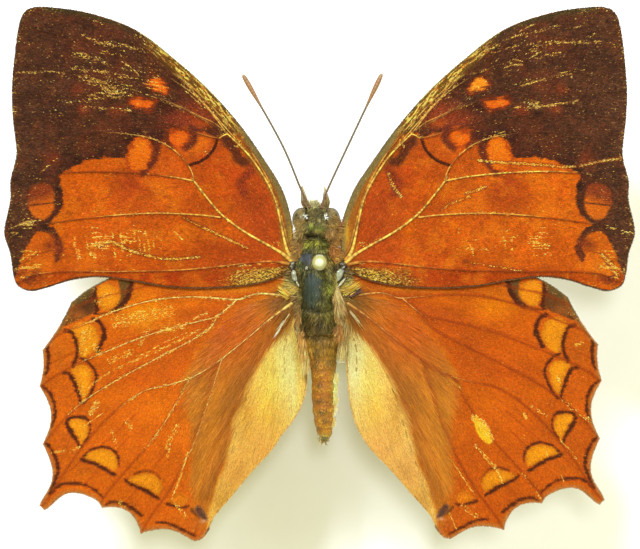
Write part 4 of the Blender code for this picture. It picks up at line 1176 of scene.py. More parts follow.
    # ochre hair field and the pale inner fold
    d = field.region(closed_curve(HAIR_ZONE, 4), 2.0)
    hair = sst(0.95, -0.55, d + 1.2 * (streak - 0.5) + 0.6 * (comb - 0.5))
    tone = rgb(216, 134, 42) * (0.90 + 0.20 * noise(r, th * 60.0, 2.4, 77))[:, None]
    col[:] += (tone - col) * (0.90 * hair)[:, None]
    lay(rgb(212, 92, 20), 0.90 * hair * np.exp(-((px - 410) / 44) ** 2 - ((py - 322) / 44) ** 2))
    lay(rgb(112, 74, 40), 0.85 * hair * sst(340, 300, py) * sst(376, 350, px))
    lay(rgb(160, 86, 30), 0.50 * hair * sst(1.9, 0.1, field.region(closed_curve(PALE_ZONE, 4), 2.2)))
    lay(rgb(150, 92, 34), 0.40 * hair * np.exp(-((px - 400) / 20) ** 2 - ((py - 388) / 22) ** 2))
    d = field.region(closed_curve(PALE_ZONE, 4), 3.0)
    pale = sst(0.35, -0.30, d + 0.45 * (streak - 0.5))
    cream = np.empty_like(col)
    cream[:] = rgb(255, 202, 98)
    wash = lambda cx, cy, rx, ry: np.exp(-((px - cx) / rx) ** 2 - ((py - cy) / ry) ** 2)[:, None]
    cream += (rgb(255, 234, 150) - cream) * np.clip(1.15 * wash(354, 362, 13, 40), 0, 1)
    cream += (rgb(251, 222, 104) - cream) * 0.8 * wash(370, 378, 9, 26)
    cream += (rgb(251, 196, 66) - cream) * 0.7 * wash(376, 412, 12, 24)
    cream += (rgb(240, 172, 82) - cream) * 0.9 * wash(380, 448, 20, 30)
    cream += (rgb(222, 162, 64) - cream) * 0.9 * wash(396, 410, 9, 34)
    cream += (rgb(220, 156, 70) - cream) * 0.9 * wash(408, 472, 18, 26)
    cream += (rgb(206, 150, 60) - cream) * 0.9 * wash(422, 500, 13, 18)
    cream += (rgb(170, 130, 58) - cream) * 0.9 * wash(352, 324, 12, 12)
    # left wing: painted light and shade on the folded inner area, paler along its inner edge and darker tan where it
    # turns down beside the abdomen
    if side < 0:
        cream += (rgb(250, 208, 104) - cream) * 0.80 * sst(351, 344, px)[:, None]
        cream += (rgb(196, 160, 84) - cream) * 0.75 * (sst(342, 334, px) * sst(396, 360, py))[:, None]
        cream += (rgb(255, 238, 156) - cream) * 0.9 * wash(348, 378, 4.5, 38)
        cream *= np.array([1.0, 0.985, 0.88])
    cream *= (1 + 0.10 * (streak[:, None] - 0.5) + 0.05 * (fine[:, None] - 0.5))
    col[:] += (cream - col) * (0.97 * pale)[:, None]
    ring = closed_curve(P((436, 518), (437, 511), (441, 505), (446, 502), (449, 506), (447, 512),
                          (441, 517)))
    d = field.region(ring, 0.6)
    lay(rgb(110, 72, 70), 0.62 * sst(0.06, -0.12, d + 0.25 * (mid - 0.5)))
    lay(rgb(80, 54, 62), 0.80 * sst(-0.10, -0.24, d + 0.30 * (comb - 0.5)))
    lay(rgb(214, 150, 150), 0.85 * np.exp(-((px - 441) / 3.0) ** 2 - ((py - 518) / 1.5) ** 2))
    folds = (P((353.5, 338), (356.5, 352), (356, 370)),
             P((386, 372), (394, 394), (402, 420), (410, 446), (418, 470)))
    for k, line in enumerate(folds):
        d, _, along = field.line(resample(spline(line, 5), 0.3), 0.5)
        dash = noise(along, along * 0, 0.35, 91 + k)
        lay(rgb(142, 104, 46), (0.75 if side > 0 else 0.50) * sst(0.10, 0.02, d) * sst(0.30, 0.6, dash))
    inner = wing.outline[(wing.outline[:, 0] < 10.5) & (wing.outline[:, 1] < -3.4)]
    d, _, _ = field.line(inner, 0.8)
    lay(rgb(176, 128, 62), 0.55 * sst(0.22, 0.04, d) * pale)
    # golden tuft at the root, a painted shadow beside it, and a darker olive patch
    lay(rgb(206, 166, 66), 0.85 * np.exp(-((px - 352) / 9) ** 2 - ((py - 286) / 5) ** 2))
    lay(rgb(96, 66, 44), 0.75 * np.exp(-((px - 360) / 8) ** 2 - ((py - 294) / 3.4) ** 2))
    lay(rgb(118, 98, 56), 0.70 * np.exp(-((px - 348) / 8) ** 2 - ((py - 306) / 9) ** 2))
    # veins: reddish brown lines, with painted glints along them, far stronger on the left wing, which faces the light
    for name, (line, r0, r1, shine) in HIND_VEINS.items():
        fine_line = resample(spline(line, 4), 0.4)
        d, s, along = field.line(fine_line, 0.6)
        weak = 0.20 if name in ("a2", "a3") else (0.60 if side > 0 else 0.5)
        lay(rgb(146, 56, 14), weak * np.exp(-(d / 0.13) ** 2) * (1 - pale))
        lit = shine * (2.2 if side < 0 else 0.35)
        t_run = along / (along.max() + 1e-6)
        reach = HIND_GLINT_REACH[side][name]
        gleam += lit * 0.34 * np.exp(-(d / 0.13) ** 2) * (0.3 + 1.4 * noise(along, along * 0, 0.9, 93)) \
            * sst(reach + 0.1, reach - 0.1, t_run)
    # painted glints: short streaks and patches of bright grains on each wing
    marks = {
        1: ((P((474, 417), (484, 426), (489, 438)), 0.34, 1.4), (P((475, 444), (490, 462)), 0.16, 0.4),
            (P((484, 455), (497, 470)), 0.20, 0.4), (P((451, 459), (466, 482), (474, 494)), 0.06, 1.0),
            (P((449, 512), (456, 528)), 0.06, 0.8), (P((560, 473), (563, 480)), 0.05, 0.9),
            (P((523, 413), (525, 417)), 0.12, 1.2), (P((556, 376), (559, 382)), 0.12, 0.9),
            (P((545, 448), (547, 455)), 0.06, 0.9), (P((498, 472), (502, 482)), 0.08, 0.9),
            (P((563, 400), (575, 410), (590, 420)), 0.22, 0.22), (P((530, 405), (545, 415)), 0.14, 0.3),
            (P((440, 447), (448, 462)), 0.04, 0.3), (P((560, 440), (580, 462)), 0.14, 0.25),
            (P((520, 470), (540, 498)), 0.12, 0.22), (P((575, 344), (582, 342)), 0.14, 0.7),
            (P((446, 382), (450, 386)), 0.08, 1.2), (P((455, 382), (459, 387)), 0.05, 1.0),
            (P((462, 505), (475, 515)), 0.24, 0.25)),
        -1: ((PLH((170, 311), (145, 315), (118, 322)), 0.62, 0.30), (PLH((132, 352), (110, 361)), 0.34, 0.30),
             (PLH((184, 326), (165, 330)), 0.30, 0.30), (PLH((208, 313), (195, 318)), 0.12, 0.5),
             (PLH((200, 329), (170, 345), (110, 372), (90, 387)), 0.10, 0.55),
             (PLH((188, 332), (175, 338), (165, 342)), 0.05, 0.6),
             (PLH((110, 296), (100, 302)), 0.5, 0.20), (PLH((88, 332), (84, 350)), 0.5, 0.30),
             (PLH((96, 346), (100, 352)), 0.3, 0.3), (PLH((78, 380), (84, 392)), 0.4, 0.22),
             (PLH((92, 412), (98, 402)), 0.28, 0.6), (PLH((84, 426), (104, 412)), 0.05, 0.9),
             (PLH((160, 345), (148, 352), (138, 356)), 0.05, 0.7), (PLH((205, 392), (200, 410)), 0.06, 0.6),
             (PLH((178, 425), (170, 440), (168, 455)), 0.26, 0.30), (PLH((128, 420), (132, 428)), 0.24, 0.3),
             (PLH((188, 452), (180, 478), (172, 498)), 0.10, 0.8), (PLH((70, 452), (80, 446)), 0.10, 0.4),
             (PLH((50, 452), (66, 450)), 0.10, 0.5), (PLH((112, 430), (118, 446)), 0.16, 0.25),
             (PLH((120, 500), (128, 512)), 0.20, 0.3), (PLH((176, 502), (186, 516)), 0.20, 0.35),
             (PLH((140, 344), (150, 330)), 0.3, 0.25)),
    }
    for line, width, amount in marks[side]:
        d, _, along = field.line(resample(spline(line, 4) if len(line) > 2 else line, 0.2), 1.0)
        gleam += amount * (0.45 + 1.1 * noise(x, y, 0.22, 97)) * sst(width * 1.25, width * 0.6, d)
    if side > 0:     # a rubbed yellow patch on the right wing only
        ring = closed_curve(P((473, 421), (476, 416), (481, 421), (486, 427), (490, 438), (488, 443),
                              (482, 438), (477, 433)))
        d = field.region(ring, 0.6)
        lay(rgb(250, 190, 44), 0.95 * sst(0.10, -0.05, d + 0.2 * (comb - 0.5)))
        gleam *= 1 - 0.8 * sst(0.1, -0.05, d)
    col[:, 2] *= 0.78 + 0.24 * pale
    return np.clip(col, 0, 1), np.clip(gleam, 0, 1)


def paint_under(wing, field, seed=1):
    """The underside: rusty and lilac-grey, with fine dark lines, as dead leaf."""
    side = wing.side
    x, y = field.xy.T
    px, py = x / PX + PIN_PX[0], PIN_PX[1] - y / PX
    r, th, streak, comb = pattern_noise(field.xy, wing)
    low = fbm(x, y, 3.4, 151 + side)
    mid = fbm(x, y, 0.7, 161 + side)
    fine = noise(x, y, 0.16, 171 + side)
    col = np.empty((field.n, 3))
    col[:] = rgb(158, 86, 50)

    def lay(colour, m):
        col[:] += (np.asarray(colour) - col) * np.clip(m, 0, 1)[:, None]

    if wing.kind == "fore":
        lay(rgb(188, 100, 48), 0.7 * sst(8, -3, y) * sst(4, 14, x))
        lay(rgb(150, 118, 108), 0.75 * sst(20.5, 25.5, x + 0.25 * y + 2 * (low - 0.5)))
        lay(rgb(150, 112, 100), 0.6 * sst(0.45, 0.7, low))
        median = (P((478, 70), (492, 120), (500, 170), (510, 225), (520, 283)),)
        basal = (P((388, 168), (396, 182), (402, 196)), P((402, 160), (410, 174), (414, 188)),
                 P((424, 150), (432, 166), (436, 180)), P((382, 215), (392, 228), (398, 240)),
                 P((372, 200), (376, 212)))
        post = P((540, 70), (545, 100), (548, 130), (556, 165), (566, 205), (572, 245))
    else:
        lay(rgb(150, 112, 100), 0.65 * sst(0.40, 0.68, low))
        lay(rgb(182, 104, 60), 0.5 * sst(16, 24, x))
        median = (P((452, 280), (474, 330), (488, 380), (490, 430), (470, 480), (448, 510)),)
        basal = (P((400, 290), (408, 306), (412, 322)), P((380, 318), (392, 332), (404, 340)),
                 P((372, 300), (378, 312)), P((418, 330), (430, 348)))
        post = P((530, 300), (546, 340), (550, 380), (545, 425), (525, 460), (490, 490), (455, 510))
    for line in median:
        d, s, _ = field.line(resample(spline(line, 6), 0.3), 1.6)
        lay(rgb(88, 42, 28), 0.9 * sst(0.20, 0.08, d + 0.10 * (comb - 0.5)))
        lay(rgb(128, 66, 42), 0.45 * sst(1.4, 0.1, d) * (s * side > 0))
        lay(rgb(196, 164, 148), 0.5 * sst(0.42, 0.24, d) * (s < 0))
    for line in basal:
        d, _, _ = field.line(resample(spline(line, 6) if len(line) > 2 else line, 0.2), 0.5)
        lay(rgb(206, 176, 158), 0.5 * sst(0.26, 0.14, d))
        lay(rgb(60, 30, 22), 0.95 * sst(0.13, 0.05, d))
    row = resample(spline(post, 6), 2.35)
    for k, (cx, cy) in enumerate(row):
        e = np.hypot(x - cx, (y - cy)) / (0.42 if wing.kind == "fore" else 0.50)
        lay(rgb(204, 146, 84), 0.75 * sst(1.25, 0.7, e))
        lay(rgb(66, 36, 30), 0.85 * sst(0.55, 0.30, e))
        lay(rgb(214, 206, 214), 0.8 * sst(0.20, 0.08, e))
    rim, _, _ = field.line(np.vstack([wing.outline, wing.outline[:1]]), 2.6)
    lay(rgb(110, 64, 46), 0.55 * sst(1.05, 0.85, rim) * sst(0.55, 0.75, rim))
    lay(rgb(176, 124, 84), 0.40 * sst(0.55, 0.2, rim))
    if wing.kind == "hind":
        d = field.region(closed_curve(PALE_ZONE, 4), 3.0)
        lay(rgb(176, 130, 96), 0.75 * sst(0.5, -0.5, d + 0.4 * (streak - 0.5)))
        lay(rgb(134, 102, 84), 0.45 * sst(4.5, 2.0, x))
    for name, (line, _, _, _) in wing.veins.items():
        d, _, _ = field.line(resample(spline(line, 4), 0.5), 0.5)
        lay(rgb(128, 70, 46), 0.5 * np.exp(-(d / 0.10) ** 2))
    col *= (1 + 0.14 * (streak - 0.5) + 0.16 * (fine - 0.5) + 0.08 * (mid - 0.5))[:, None]
    gleam = 0.01 + 0.03 * sst(0.6, 0.8, mid)
    return np.clip(col, 0, 1), gleam


# ----------------------------------------------------------- building the wings
def scale_seeds(ring, base, row, step, rnd):
    """Points in rows round the wing's root, like tiles, inside the outline."""
    d = ring - base
    th = np.arctan2(d[:, 1], d[:, 0])
    rad = np.hypot(*d.T)
    th = np.where(th > 2.6, th - 2 * np.pi, th)
    th0, th1 = th[rad > 1.5].min() - 0.02, th[rad > 1.5].max() + 0.02
    out = []
    for k in range(2, int(rad.max() / row) + 1):
        r = (k + 0.5) * row
        n = int((th1 - th0) * r / step) + 1
        t = th0 + (np.arange(n) + 0.5 * (k % 2) + rnd.uniform(-0.22, 0.22, n)) * step / r
        rr = r + rnd.uniform(-0.16, 0.16, n) * row
        out.append(np.stack([base[0] + rr * np.cos(t), base[1] + rr * np.sin(t)], 1))
    pts = np.vstack(out)
    pts = pts[(pts[:, 0] > ring[:, 0].min()) & (pts[:, 0] < ring[:, 0].max())
              & (pts[:, 1] > ring[:, 1].min()) & (pts[:, 1] < ring[:, 1].max())]
    f = Field(pts)
    return pts[f.inside(ring)]


def wing_uv(wing, xy):
    low, high = wing.outline.min(0), wing.outline.max(0)
    span = (high - low).max()
    return 0.02 + 0.96 * (xy - low) / span


def membrane(wing, mat, under_mat):
    """The thin wing itself: two faces a tenth of a millimetre apart."""
    ring = wing.ring
    step = 0.27
    low, high = ring.min(0), ring.max(0)
    rows = []
    y = low[1]
    k = 0
    while y < high[1]:
        xs = np.arange(low[0] + (step / 2 if k % 2 else 0), high[0], step)
        rows.append(np.stack([xs, np.full(len(xs), y)], 1))
        y += step * math.sqrt(3) / 2
        k += 1
    pts = np.vstack(rows)
    f = Field(pts)
    d, _, _ = f.line(np.vstack([ring, ring[:1]]), 0.5)
    pts = pts[f.inside(ring) & (d > 0.16)]
    allp = np.vstack([ring, pts])
    n = len(ring)
    vs, _, faces, _, _, _ = delaunay_2d_cdt([Vector(p) for p in allp],
                                            [(i, (i + 1) % n) for i in range(n)], [], 1, 1e-5)
    xy = np.array([[v.x, v.y] for v in vs])
    tri = np.array([list(t) for t in faces if len(t) == 3])
    a, b, c = xy[tri[:, 0]], xy[tri[:, 1]], xy[tri[:, 2]]
    area = (b[:, 0] - a[:, 0]) * (c[:, 1] - a[:, 1]) - (b[:, 1] - a[:, 1]) * (c[:, 0] - a[:, 0])
    tri[area < 0] = tri[area < 0][:, ::-1]
    if wing.side < 0:
        tri = tri[:, ::-1]
    field = Field(xy)
    top = wing.place(field)
    nrm = wing.normals(field)
    thick = 0.09
    low_face = top - nrm * thick
    m = len(xy)
    verts = np.vstack([top, low_face])
    idx = {}
    edges = np.vstack([tri[:, [0, 1]], tri[:, [1, 2]], tri[:, [2, 0]]])
    key = np.sort(edges, 1)
    code = key[:, 0] * m + key[:, 1]
    uniq, inv, cnt = np.unique(code, return_inverse=True, return_counts=True)
    rim = edges[cnt[inv] == 1]
    side_a = np.stack([rim[:, 1], rim[:, 0], rim[:, 0] + m], 1)
    side_b = np.stack([rim[:, 1], rim[:, 0] + m, rim[:, 1] + m], 1)
    faces = np.vstack([tri, tri[:, ::-1] + m, side_a, side_b])
    me = new_mesh(wing.node + "_membrane", verts, faces.ravel(), np.full(len(faces), 3), True)
    paint = paint_fore if wing.kind == "fore" else paint_hind
    col, _ = paint(wing, field, 3)
    ucol, _ = paint_under(wing, field, 3)
    set_colour(me, np.vstack([col * 0.80, ucol * 0.80]))
    set_value(me, np.zeros(2 * m), "gleam")
    me.materials.clear()
    name = wing.node.replace("forewing", "fore_wing").replace("hindwing", "hind_wing")
    ob = link(name + "_membrane", me, mat, [wing.node])
    return ob


def sweep(lines, sides=7):
    """Tubes along 3-D lines with varying radius, as arrays for one mesh."""
    verts, faces, ts, ids = [], [], [], []
    base = 0
    for k, (pts, rad) in enumerate(lines):
        n = len(pts)
        tan = np.gradient(pts, axis=0)
        tan /= np.linalg.norm(tan, axis=1)[:, None] + 1e-12
        up = np.array([0, 0, 1.0])
        s = np.cross(tan, up)
        bad = np.linalg.norm(s, axis=1) < 1e-3
        s[bad] = [1, 0, 0]
        s /= np.linalg.norm(s, axis=1)[:, None]
        w = np.cross(s, tan)
        ang = np.arange(sides) / sides * 2 * np.pi
        ring = (pts[:, None] + rad[:, None, None] * (np.cos(ang)[None, :, None] * s[:, None]
                                                     + np.sin(ang)[None, :, None] * w[:, None]))
        verts.append(ring.reshape(-1, 3))
        i = np.arange(n - 1)[:, None] * sides
        j = np.arange(sides)[None]
        j2 = (j + 1) % sides
        quad = np.stack([i + j, i + sides + j, i + sides + j2, i + j2], 2).reshape(-1, 4) + base
        faces.append(quad)
        ts.append(np.repeat(np.linspace(0, 1, n), sides))
        ids.append(np.full(n * sides, k))
        base += n * sides
    return np.vstack(verts), np.vstack(faces), np.concatenate(ts), np.concatenate(ids)


def caps(lines, sides):
    """End faces for the tubes of sweep(), one polygon at each end."""
    flat, sizes, base = [], [], 0
    for pts, _ in lines:
        n = len(pts)
        flat += list(base + np.arange(sides))
        flat += list(base + (n - 1) * sides + np.arange(sides)[::-1])
        sizes += [sides, sides]
        base += n * sides
    return flat, sizes


def vein_mesh(wing, mat):
    lines, meta = [], []
    for name, (line, r0, r1, shine) in wing.veins.items():
        flat = resample(spline(line, 5), 0.16)
        f = Field(flat)
        keep = f.inside(wing.ring)
        flat = flat[keep]
        if len(flat) < 4:
            continue
        f = Field(flat)
        p = wing.place(f)
        p[:, 2] += 0.012
        t = np.linspace(0, 1, len(flat))
        rad = (r0 * 0.82 + (r1 * 0.70 - r0 * 0.82) * t ** 0.7)
        if wing.kind == "hind":
            rad = rad * (0.68 if wing.side < 0 else 0.62)
        swell = np.hypot(*(flat - flat[0]).T)
        if name in ("sc", "r", "cu", "a2", "rs"):
            rad = rad + 0.07 * np.exp(-(swell / 1.6) ** 2)
        lines.append((p, rad))
        reach = (FORE_SIDE_GLINT_REACH if wing.kind == "fore" else HIND_GLINT_REACH)[wing.side][name]
        meta.append((flat, shine, reach))
    sides = 7
    verts, quads, ts, ids = sweep(lines, sides)
    flat, sizes = caps(lines, sides)
    me = new_mesh(wing.node + "_veins", verts, np.concatenate([quads.ravel(), flat]),
                  np.concatenate([np.full(len(quads), 4), sizes]), True)
    xy = np.vstack([np.repeat(m[0], sides, 0) for m in meta])
    shine = np.concatenate([np.full(len(m[0]) * sides, m[1]) for m in meta])
    reach = np.concatenate([np.full(len(m[0]) * sides, m[2]) for m in meta])
    f = Field(xy)
    paint = paint_fore if wing.kind == "fore" else paint_hind
    ground, _ = paint(wing, f, 5)
    x, y = xy.T
    # painted highlight: the vein turns pale gold where its glints reach, most on the left hind wing, which faces the
    # light
    lit = shine * (1.7 if wing.kind == "hind" and wing.side < 0 else 1.0)
    n = noise(x, y, 0.8, 201)
    gold = rgb(268, 208, 88) if wing.kind == "fore" else rgb(262, 208, 108)
    gold = gold * (0.52 + 0.80 * noise(x, y, 0.15, 202))[:, None]
    brown = ground * (0.96 if wing.kind == "fore" else 1.04)
    strength = np.clip(lit * sst(0.10, 0.70, n + 0.45 * lit - 0.1), 0, 1)
    fade = sst(reach + 0.10, reach - 0.10, ts) * (reach > 0.01)
    fade = np.maximum(fade, 0.5 * sst(0.80, 0.92, noise(x, y, 0.35, 203)) * (reach > 0.01))
    col = brown + (gold - brown) * (strength * fade)[:, None]
    set_colour(me, col)
    set_value(me, strength * fade, "gleam")
    return link(wing.node.replace("wing_", "_wing_") + "_veins", me, mat)


def cover(wing, mat, rnd, row, step, upper=True):
    """The scale cover of one face of a wing."""
    pts = scale_seeds(wing.upper_ring if upper else wing.lower_ring, wing.base, row, step, rnd)
    field = Field(pts)
    place = wing.place(field)
    nrm = wing.normals(field)
    if upper:
        paint = paint_fore if wing.kind == "fore" else paint_hind
        col, gleam = paint(wing, field, 1)
    else:
        col, gleam = paint_under(wing, field, 1)
        place = place - nrm * 0.09
        nrm = -nrm
    n = len(pts)
    flow = wing.flow(pts)
    turn = rnd.normal(0, 0.16, n)
    c, s = np.cos(turn), np.sin(turn)
    flow = np.stack([flow[:, 0] * c - flow[:, 1] * s, flow[:, 0] * s + flow[:, 1] * c], 1)
    flow = wing.turn_dir(flow)
    d = np.stack([wing.side * flow[:, 0], flow[:, 1], np.zeros(n)], 1)
    d -= nrm * (d * nrm).sum(1)[:, None]
    d /= np.linalg.norm(d, axis=1)[:, None]
    across = np.cross(nrm, d)
    roll = rnd.normal(0, 0.13, n)
    across = across * np.cos(roll)[:, None] + nrm * np.sin(roll)[:, None]
    bright = rnd.random(n) < gleam
    length = row * rnd.uniform(1.55, 2.05, n)
    width = step * rnd.uniform(1.05, 1.35, n) * np.where(bright, rnd.uniform(0.55, 1.0, n), 1.0)
    lift = np.radians(rnd.uniform(4, 11, n)) + bright * np.radians(rnd.uniform(0, 14, n))
    dusky = (col.mean(1) < 0.30) & (wing.kind == "fore")
    value = 1 + rnd.normal(0, 1, n) * np.where(dusky, 0.15, 0.070 if wing.kind == "fore" else 0.060)
    col = col * value[:, None] + rnd.normal(0, 0.014, (n, 3))
    light = col.mean(1)
    # painted glints: scales picked by gleam take bright gold, warm or pale colours
    gold = rgb(304, 232, 84) * rnd.uniform(0.80, 1.08, n)[:, None]
    warm = rgb(258, 168, 52) * rnd.uniform(0.85, 1.1, n)[:, None]
    pale = rgb(312, 274, 150) * rnd.uniform(0.8, 1.05, n)[:, None]
    pick = rnd.random(n)
    shiny = np.where((pick < 0.50)[:, None], warm, np.where((pick < 0.88)[:, None], gold, pale))
    if wing.kind == "fore":
        shiny = np.where((light < 0.30)[:, None] & (pick < 0.72)[:, None],
                         rgb(220, 164, 74) * rnd.uniform(0.55, 1.25, n)[:, None], shiny)
    mixf = (bright * rnd.uniform(0.55, 1.0, n) * (0.42 + 0.58 * sst(0.02, 0.26, gleam)))[:, None]
    col = np.clip(col * (1 - mixf) + shiny * mixf, 0, 1.26)
    tip = np.clip(col * (1.06 + rnd.uniform(-0.04, 0.08, n))[:, None], 0, 1.26)
    root = place + nrm * 0.008
    name = wing.node.replace("wing_", "_wing_") + ("_scales" if upper else "_scales_below")
    return blades(name, root, d, across, nrm, length, width, lift, np.radians(-3) * np.ones(n),
                  col * 0.93, tip, wing_uv(wing, pts), mat,
                  extra=np.where(bright, rnd.uniform(0.5, 1.0, n), 0.0))


def fringe(wing, mat, rnd):
    """Narrow scales that stand out all along the edge, in three layers."""
    roots, dirs, cols, tips, lens, wids, lifts, uvs = [], [], [], [], [], [], [], []
    ring0 = resample(wing.outline, 0.034, closed=True)
    tangent = np.roll(ring0, -1, 0) - np.roll(ring0, 1, 0)
    tangent /= np.hypot(*tangent.T)[:, None] + 1e-12
    area = 0.5 * np.sum(ring0[:, 0] * np.roll(ring0[:, 1], -1) - np.roll(ring0[:, 0], -1) * ring0[:, 1])
    outward = np.stack([tangent[:, 1], -tangent[:, 0]], 1) * (1 if area > 0 else -1)
    for layer in range(3):
        k = rnd.permutation(len(ring0))
        k = k[: int(len(k) * 0.92)]
        p = ring0[k] + rnd.normal(0, 0.015, (len(k), 2))
        o = outward[k]
        rootpt = p - o * (0.20 + 0.04 * layer)
        f = Field(rootpt)
        flow = wing.flow(rootpt)
        costal = sst(0.5, 0.0, o[:, 0] - 0.35 * o[:, 1] + 0.2) if wing.kind == "fore" else np.zeros(len(k))
        d = (0.75 - 0.35 * costal)[:, None] * o + 0.45 * flow
        d /= np.hypot(*d.T)[:, None]
        x, y = rootpt.T
        px = x / PX + PIN_PX[0]
        py = PIN_PX[1] - y / PX
        if wing.kind == "fore":
            costal = sst(0.5, 0.0, o[:, 0] - 0.35 * o[:, 1] + 0.2) * (py < 235)
            base = np.where((px > 560)[:, None], rgb(92, 62, 40), rgb(112, 70, 38))
            base = np.where((costal > 0.5)[:, None] & (px < 500)[:, None], rgb(128, 114, 84), base)
            base = np.where((costal > 0.5)[:, None] & (px >= 420)[:, None] & (px < 500)[:, None],
                            rgb(178, 160, 96), base)
            length = rnd.uniform(0.19, 0.235, len(k)) * np.where(costal > 0.5, 0.88, 1.0)
        else:
            base = np.where(((px > 440) & (py > 318))[:, None], rgb(186, 128, 72), rgb(126, 98, 58))
            pale_edge = (px < 436) & (py > 330)
            base = np.where(pale_edge[:, None], rgb(226, 178, 96), base)
            length = rnd.uniform(0.19, 0.24, len(k)) * np.where(pale_edge, 0.85, 1.0)
        vary = 0.92 + 0.16 * noise(x, y, 0.35, 301 + layer)
        col = base * (vary * rnd.uniform(0.85, 1.15, len(k)))[:, None]
        z = wing.place(f) + wing.normals(f) * (0.0 - 0.03 * layer)
        roots.append(z)
        dd = wing.turn_dir(d)
        dirs.append(np.stack([wing.side * dd[:, 0], dd[:, 1], np.zeros(len(k))], 1))
        cols.append(np.clip(col, 0, 1))
        tips.append(np.clip(col * 0.96, 0, 1))
        lens.append(length)
        wids.append(rnd.uniform(0.050, 0.070, len(k)))
        lifts.append(np.radians(rnd.normal(-1.5 + 3 * (1 - layer), 4.0, len(k))))
        uvs.append(wing_uv(wing, rootpt))
    root, d = np.vstack(roots), np.vstack(dirs)
    nrm = np.tile([0, 0, 1.0], (len(root), 1))
    across = np.cross(nrm, d)
    across /= np.linalg.norm(across, axis=1)[:, None]
    name = wing.node.replace("wing_", "_wing_") + "_fringe"
    return blades(name, root, d, across, nrm, np.concatenate(lens), np.concatenate(wids),
                  np.concatenate(lifts), np.zeros(len(root)), np.vstack(cols), np.vstack(tips),
                  np.vstack(uvs), mat, extra=np.zeros(len(root)), rows=3, tip_width=0.0)


def wing_hair(wing, mat, rnd, zone, count, lengths, width, palette, seed, lift=(2, 9)):
    """Long hairs lying on a part of the wing, along the flow."""
    low, high = zone.min(0), zone.max(0)
    pts = rnd.uniform(low, high, (count * 3, 2))
    f = Field(pts)
    ok = f.inside(zone)
    f2 = Field(pts)
    ok &= f2.inside(wing.ring)
    bare = P((442, 505))[0]
    ok &= np.hypot(*(pts - bare).T) > 1.5
    pts = pts[ok][:count]
    field = Field(pts)
    place, nrm = wing.place(field), wing.normals(field)
    n = len(pts)
    radial = pts - wing.base
    radial /= np.hypot(*radial.T)[:, None]
    flow = 0.35 * wing.flow(pts) + 0.65 * radial
    turn = rnd.normal(0, 0.035, n)
    c, s = np.cos(turn), np.sin(turn)
    flow = np.stack([flow[:, 0] * c - flow[:, 1] * s, flow[:, 0] * s + flow[:, 1] * c], 1)
    flow /= np.hypot(*flow.T)[:, None]
    length = rnd.uniform(lengths[0], lengths[1], n)
    end = pts + flow * length[:, None]
    fe = Field(end)
    length = np.where(fe.inside(wing.ring), length, length * 0.35)
    flow = wing.turn_dir(flow)
    d = np.stack([wing.side * flow[:, 0], flow[:, 1], np.zeros(n)], 1)
    d -= nrm * (d * nrm).sum(1)[:, None]
    d /= np.linalg.norm(d, axis=1)[:, None]
    across = np.cross(nrm, d)
    roll = rnd.normal(0, 0.35, n)
    across = across * np.cos(roll)[:, None] + nrm * np.sin(roll)[:, None]
    pick = rnd.integers(0, len(palette), n)
    col = np.array(palette)[pick] * rnd.uniform(0.74, 1.16, n)[:, None]
    paint = paint_hind if wing.kind == "hind" else paint_fore
    ground, _ = paint(wing, field, 9)
    own = 0.12 if seed == "ochre" else 0.20
    col = own * col + (1 - own) * ground * rnd.uniform(0.80, 1.14, n)[:, None]
    name = wing.node.replace("wing_", "_wing_") + "_hair_" + seed
    return blades(name, place + nrm * 0.03, d, across, nrm, length,
                  width * rnd.uniform(0.7, 1.3, n), np.radians(rnd.uniform(lift[0], lift[1], n)),
                  np.radians(-lift[1] * 0.9) * np.ones(n), np.clip(col, 0, 1),
                  np.clip(col * 1.12, 0, 1), wing_uv(wing, pts), mat,
                  extra=rnd.random(n) * 0.3, rows=3, tip_width=0.0)


MAT_SCALE = scale_material("wing_scales", 0.50, 0.68, spec=0.02, grain=16000.0, contrast=0.18)
MAT_SCALE_BELOW = scale_material("wing_scales_below", 0.52, 0.72, spec=0.06, grain=16000.0, contrast=0.2)
MAT_MEMBRANE = scale_material("wing_membrane", 0.45, 0.60, spec=0.10, grain=7000.0, contrast=0.30)
MAT_VEIN = scale_material("wing_veins", 0.50, 0.66, spec=0.08, grain=9000.0, contrast=0.28)
MAT_FRINGE = scale_material("wing_fringe", 0.55, 0.75, spec=0.06, grain=12000.0)
MAT_HAIR = scale_material("long_hair", 0.42, 0.60, spec=0.08, grain=9000.0)

for kind in ("hind", "fore"):
    for side in (1, -1):
        rnd = np.random.default_rng(11 if side > 0 else 12)
        wing = Wing(kind, side)
        membrane(wing, MAT_MEMBRANE, None)
        vein_mesh(wing, MAT_VEIN)
        cover(wing, MAT_SCALE, rnd, 0.092, 0.068)
        cover(wing, MAT_SCALE_BELOW, rnd, 0.19, 0.14, upper=False)
        fringe(wing, MAT_FRINGE, rnd)
        if kind == "hind":
            wing_hair(wing, MAT_HAIR, rnd, closed_curve(HAIR_ZONE, 4), 7500, (0.8, 2.0), 0.028,
                      [rgb(214, 128, 44), rgb(190, 106, 34), rgb(236, 166, 74), rgb(168, 96, 34)], "ochre")
            wing_hair(wing, MAT_HAIR, rnd, closed_curve(PALE_ZONE, 4), 1500, (0.5, 1.2), 0.030,
                      [rgb(250, 226, 150), rgb(246, 200, 100), rgb(232, 180, 90)], "pale")

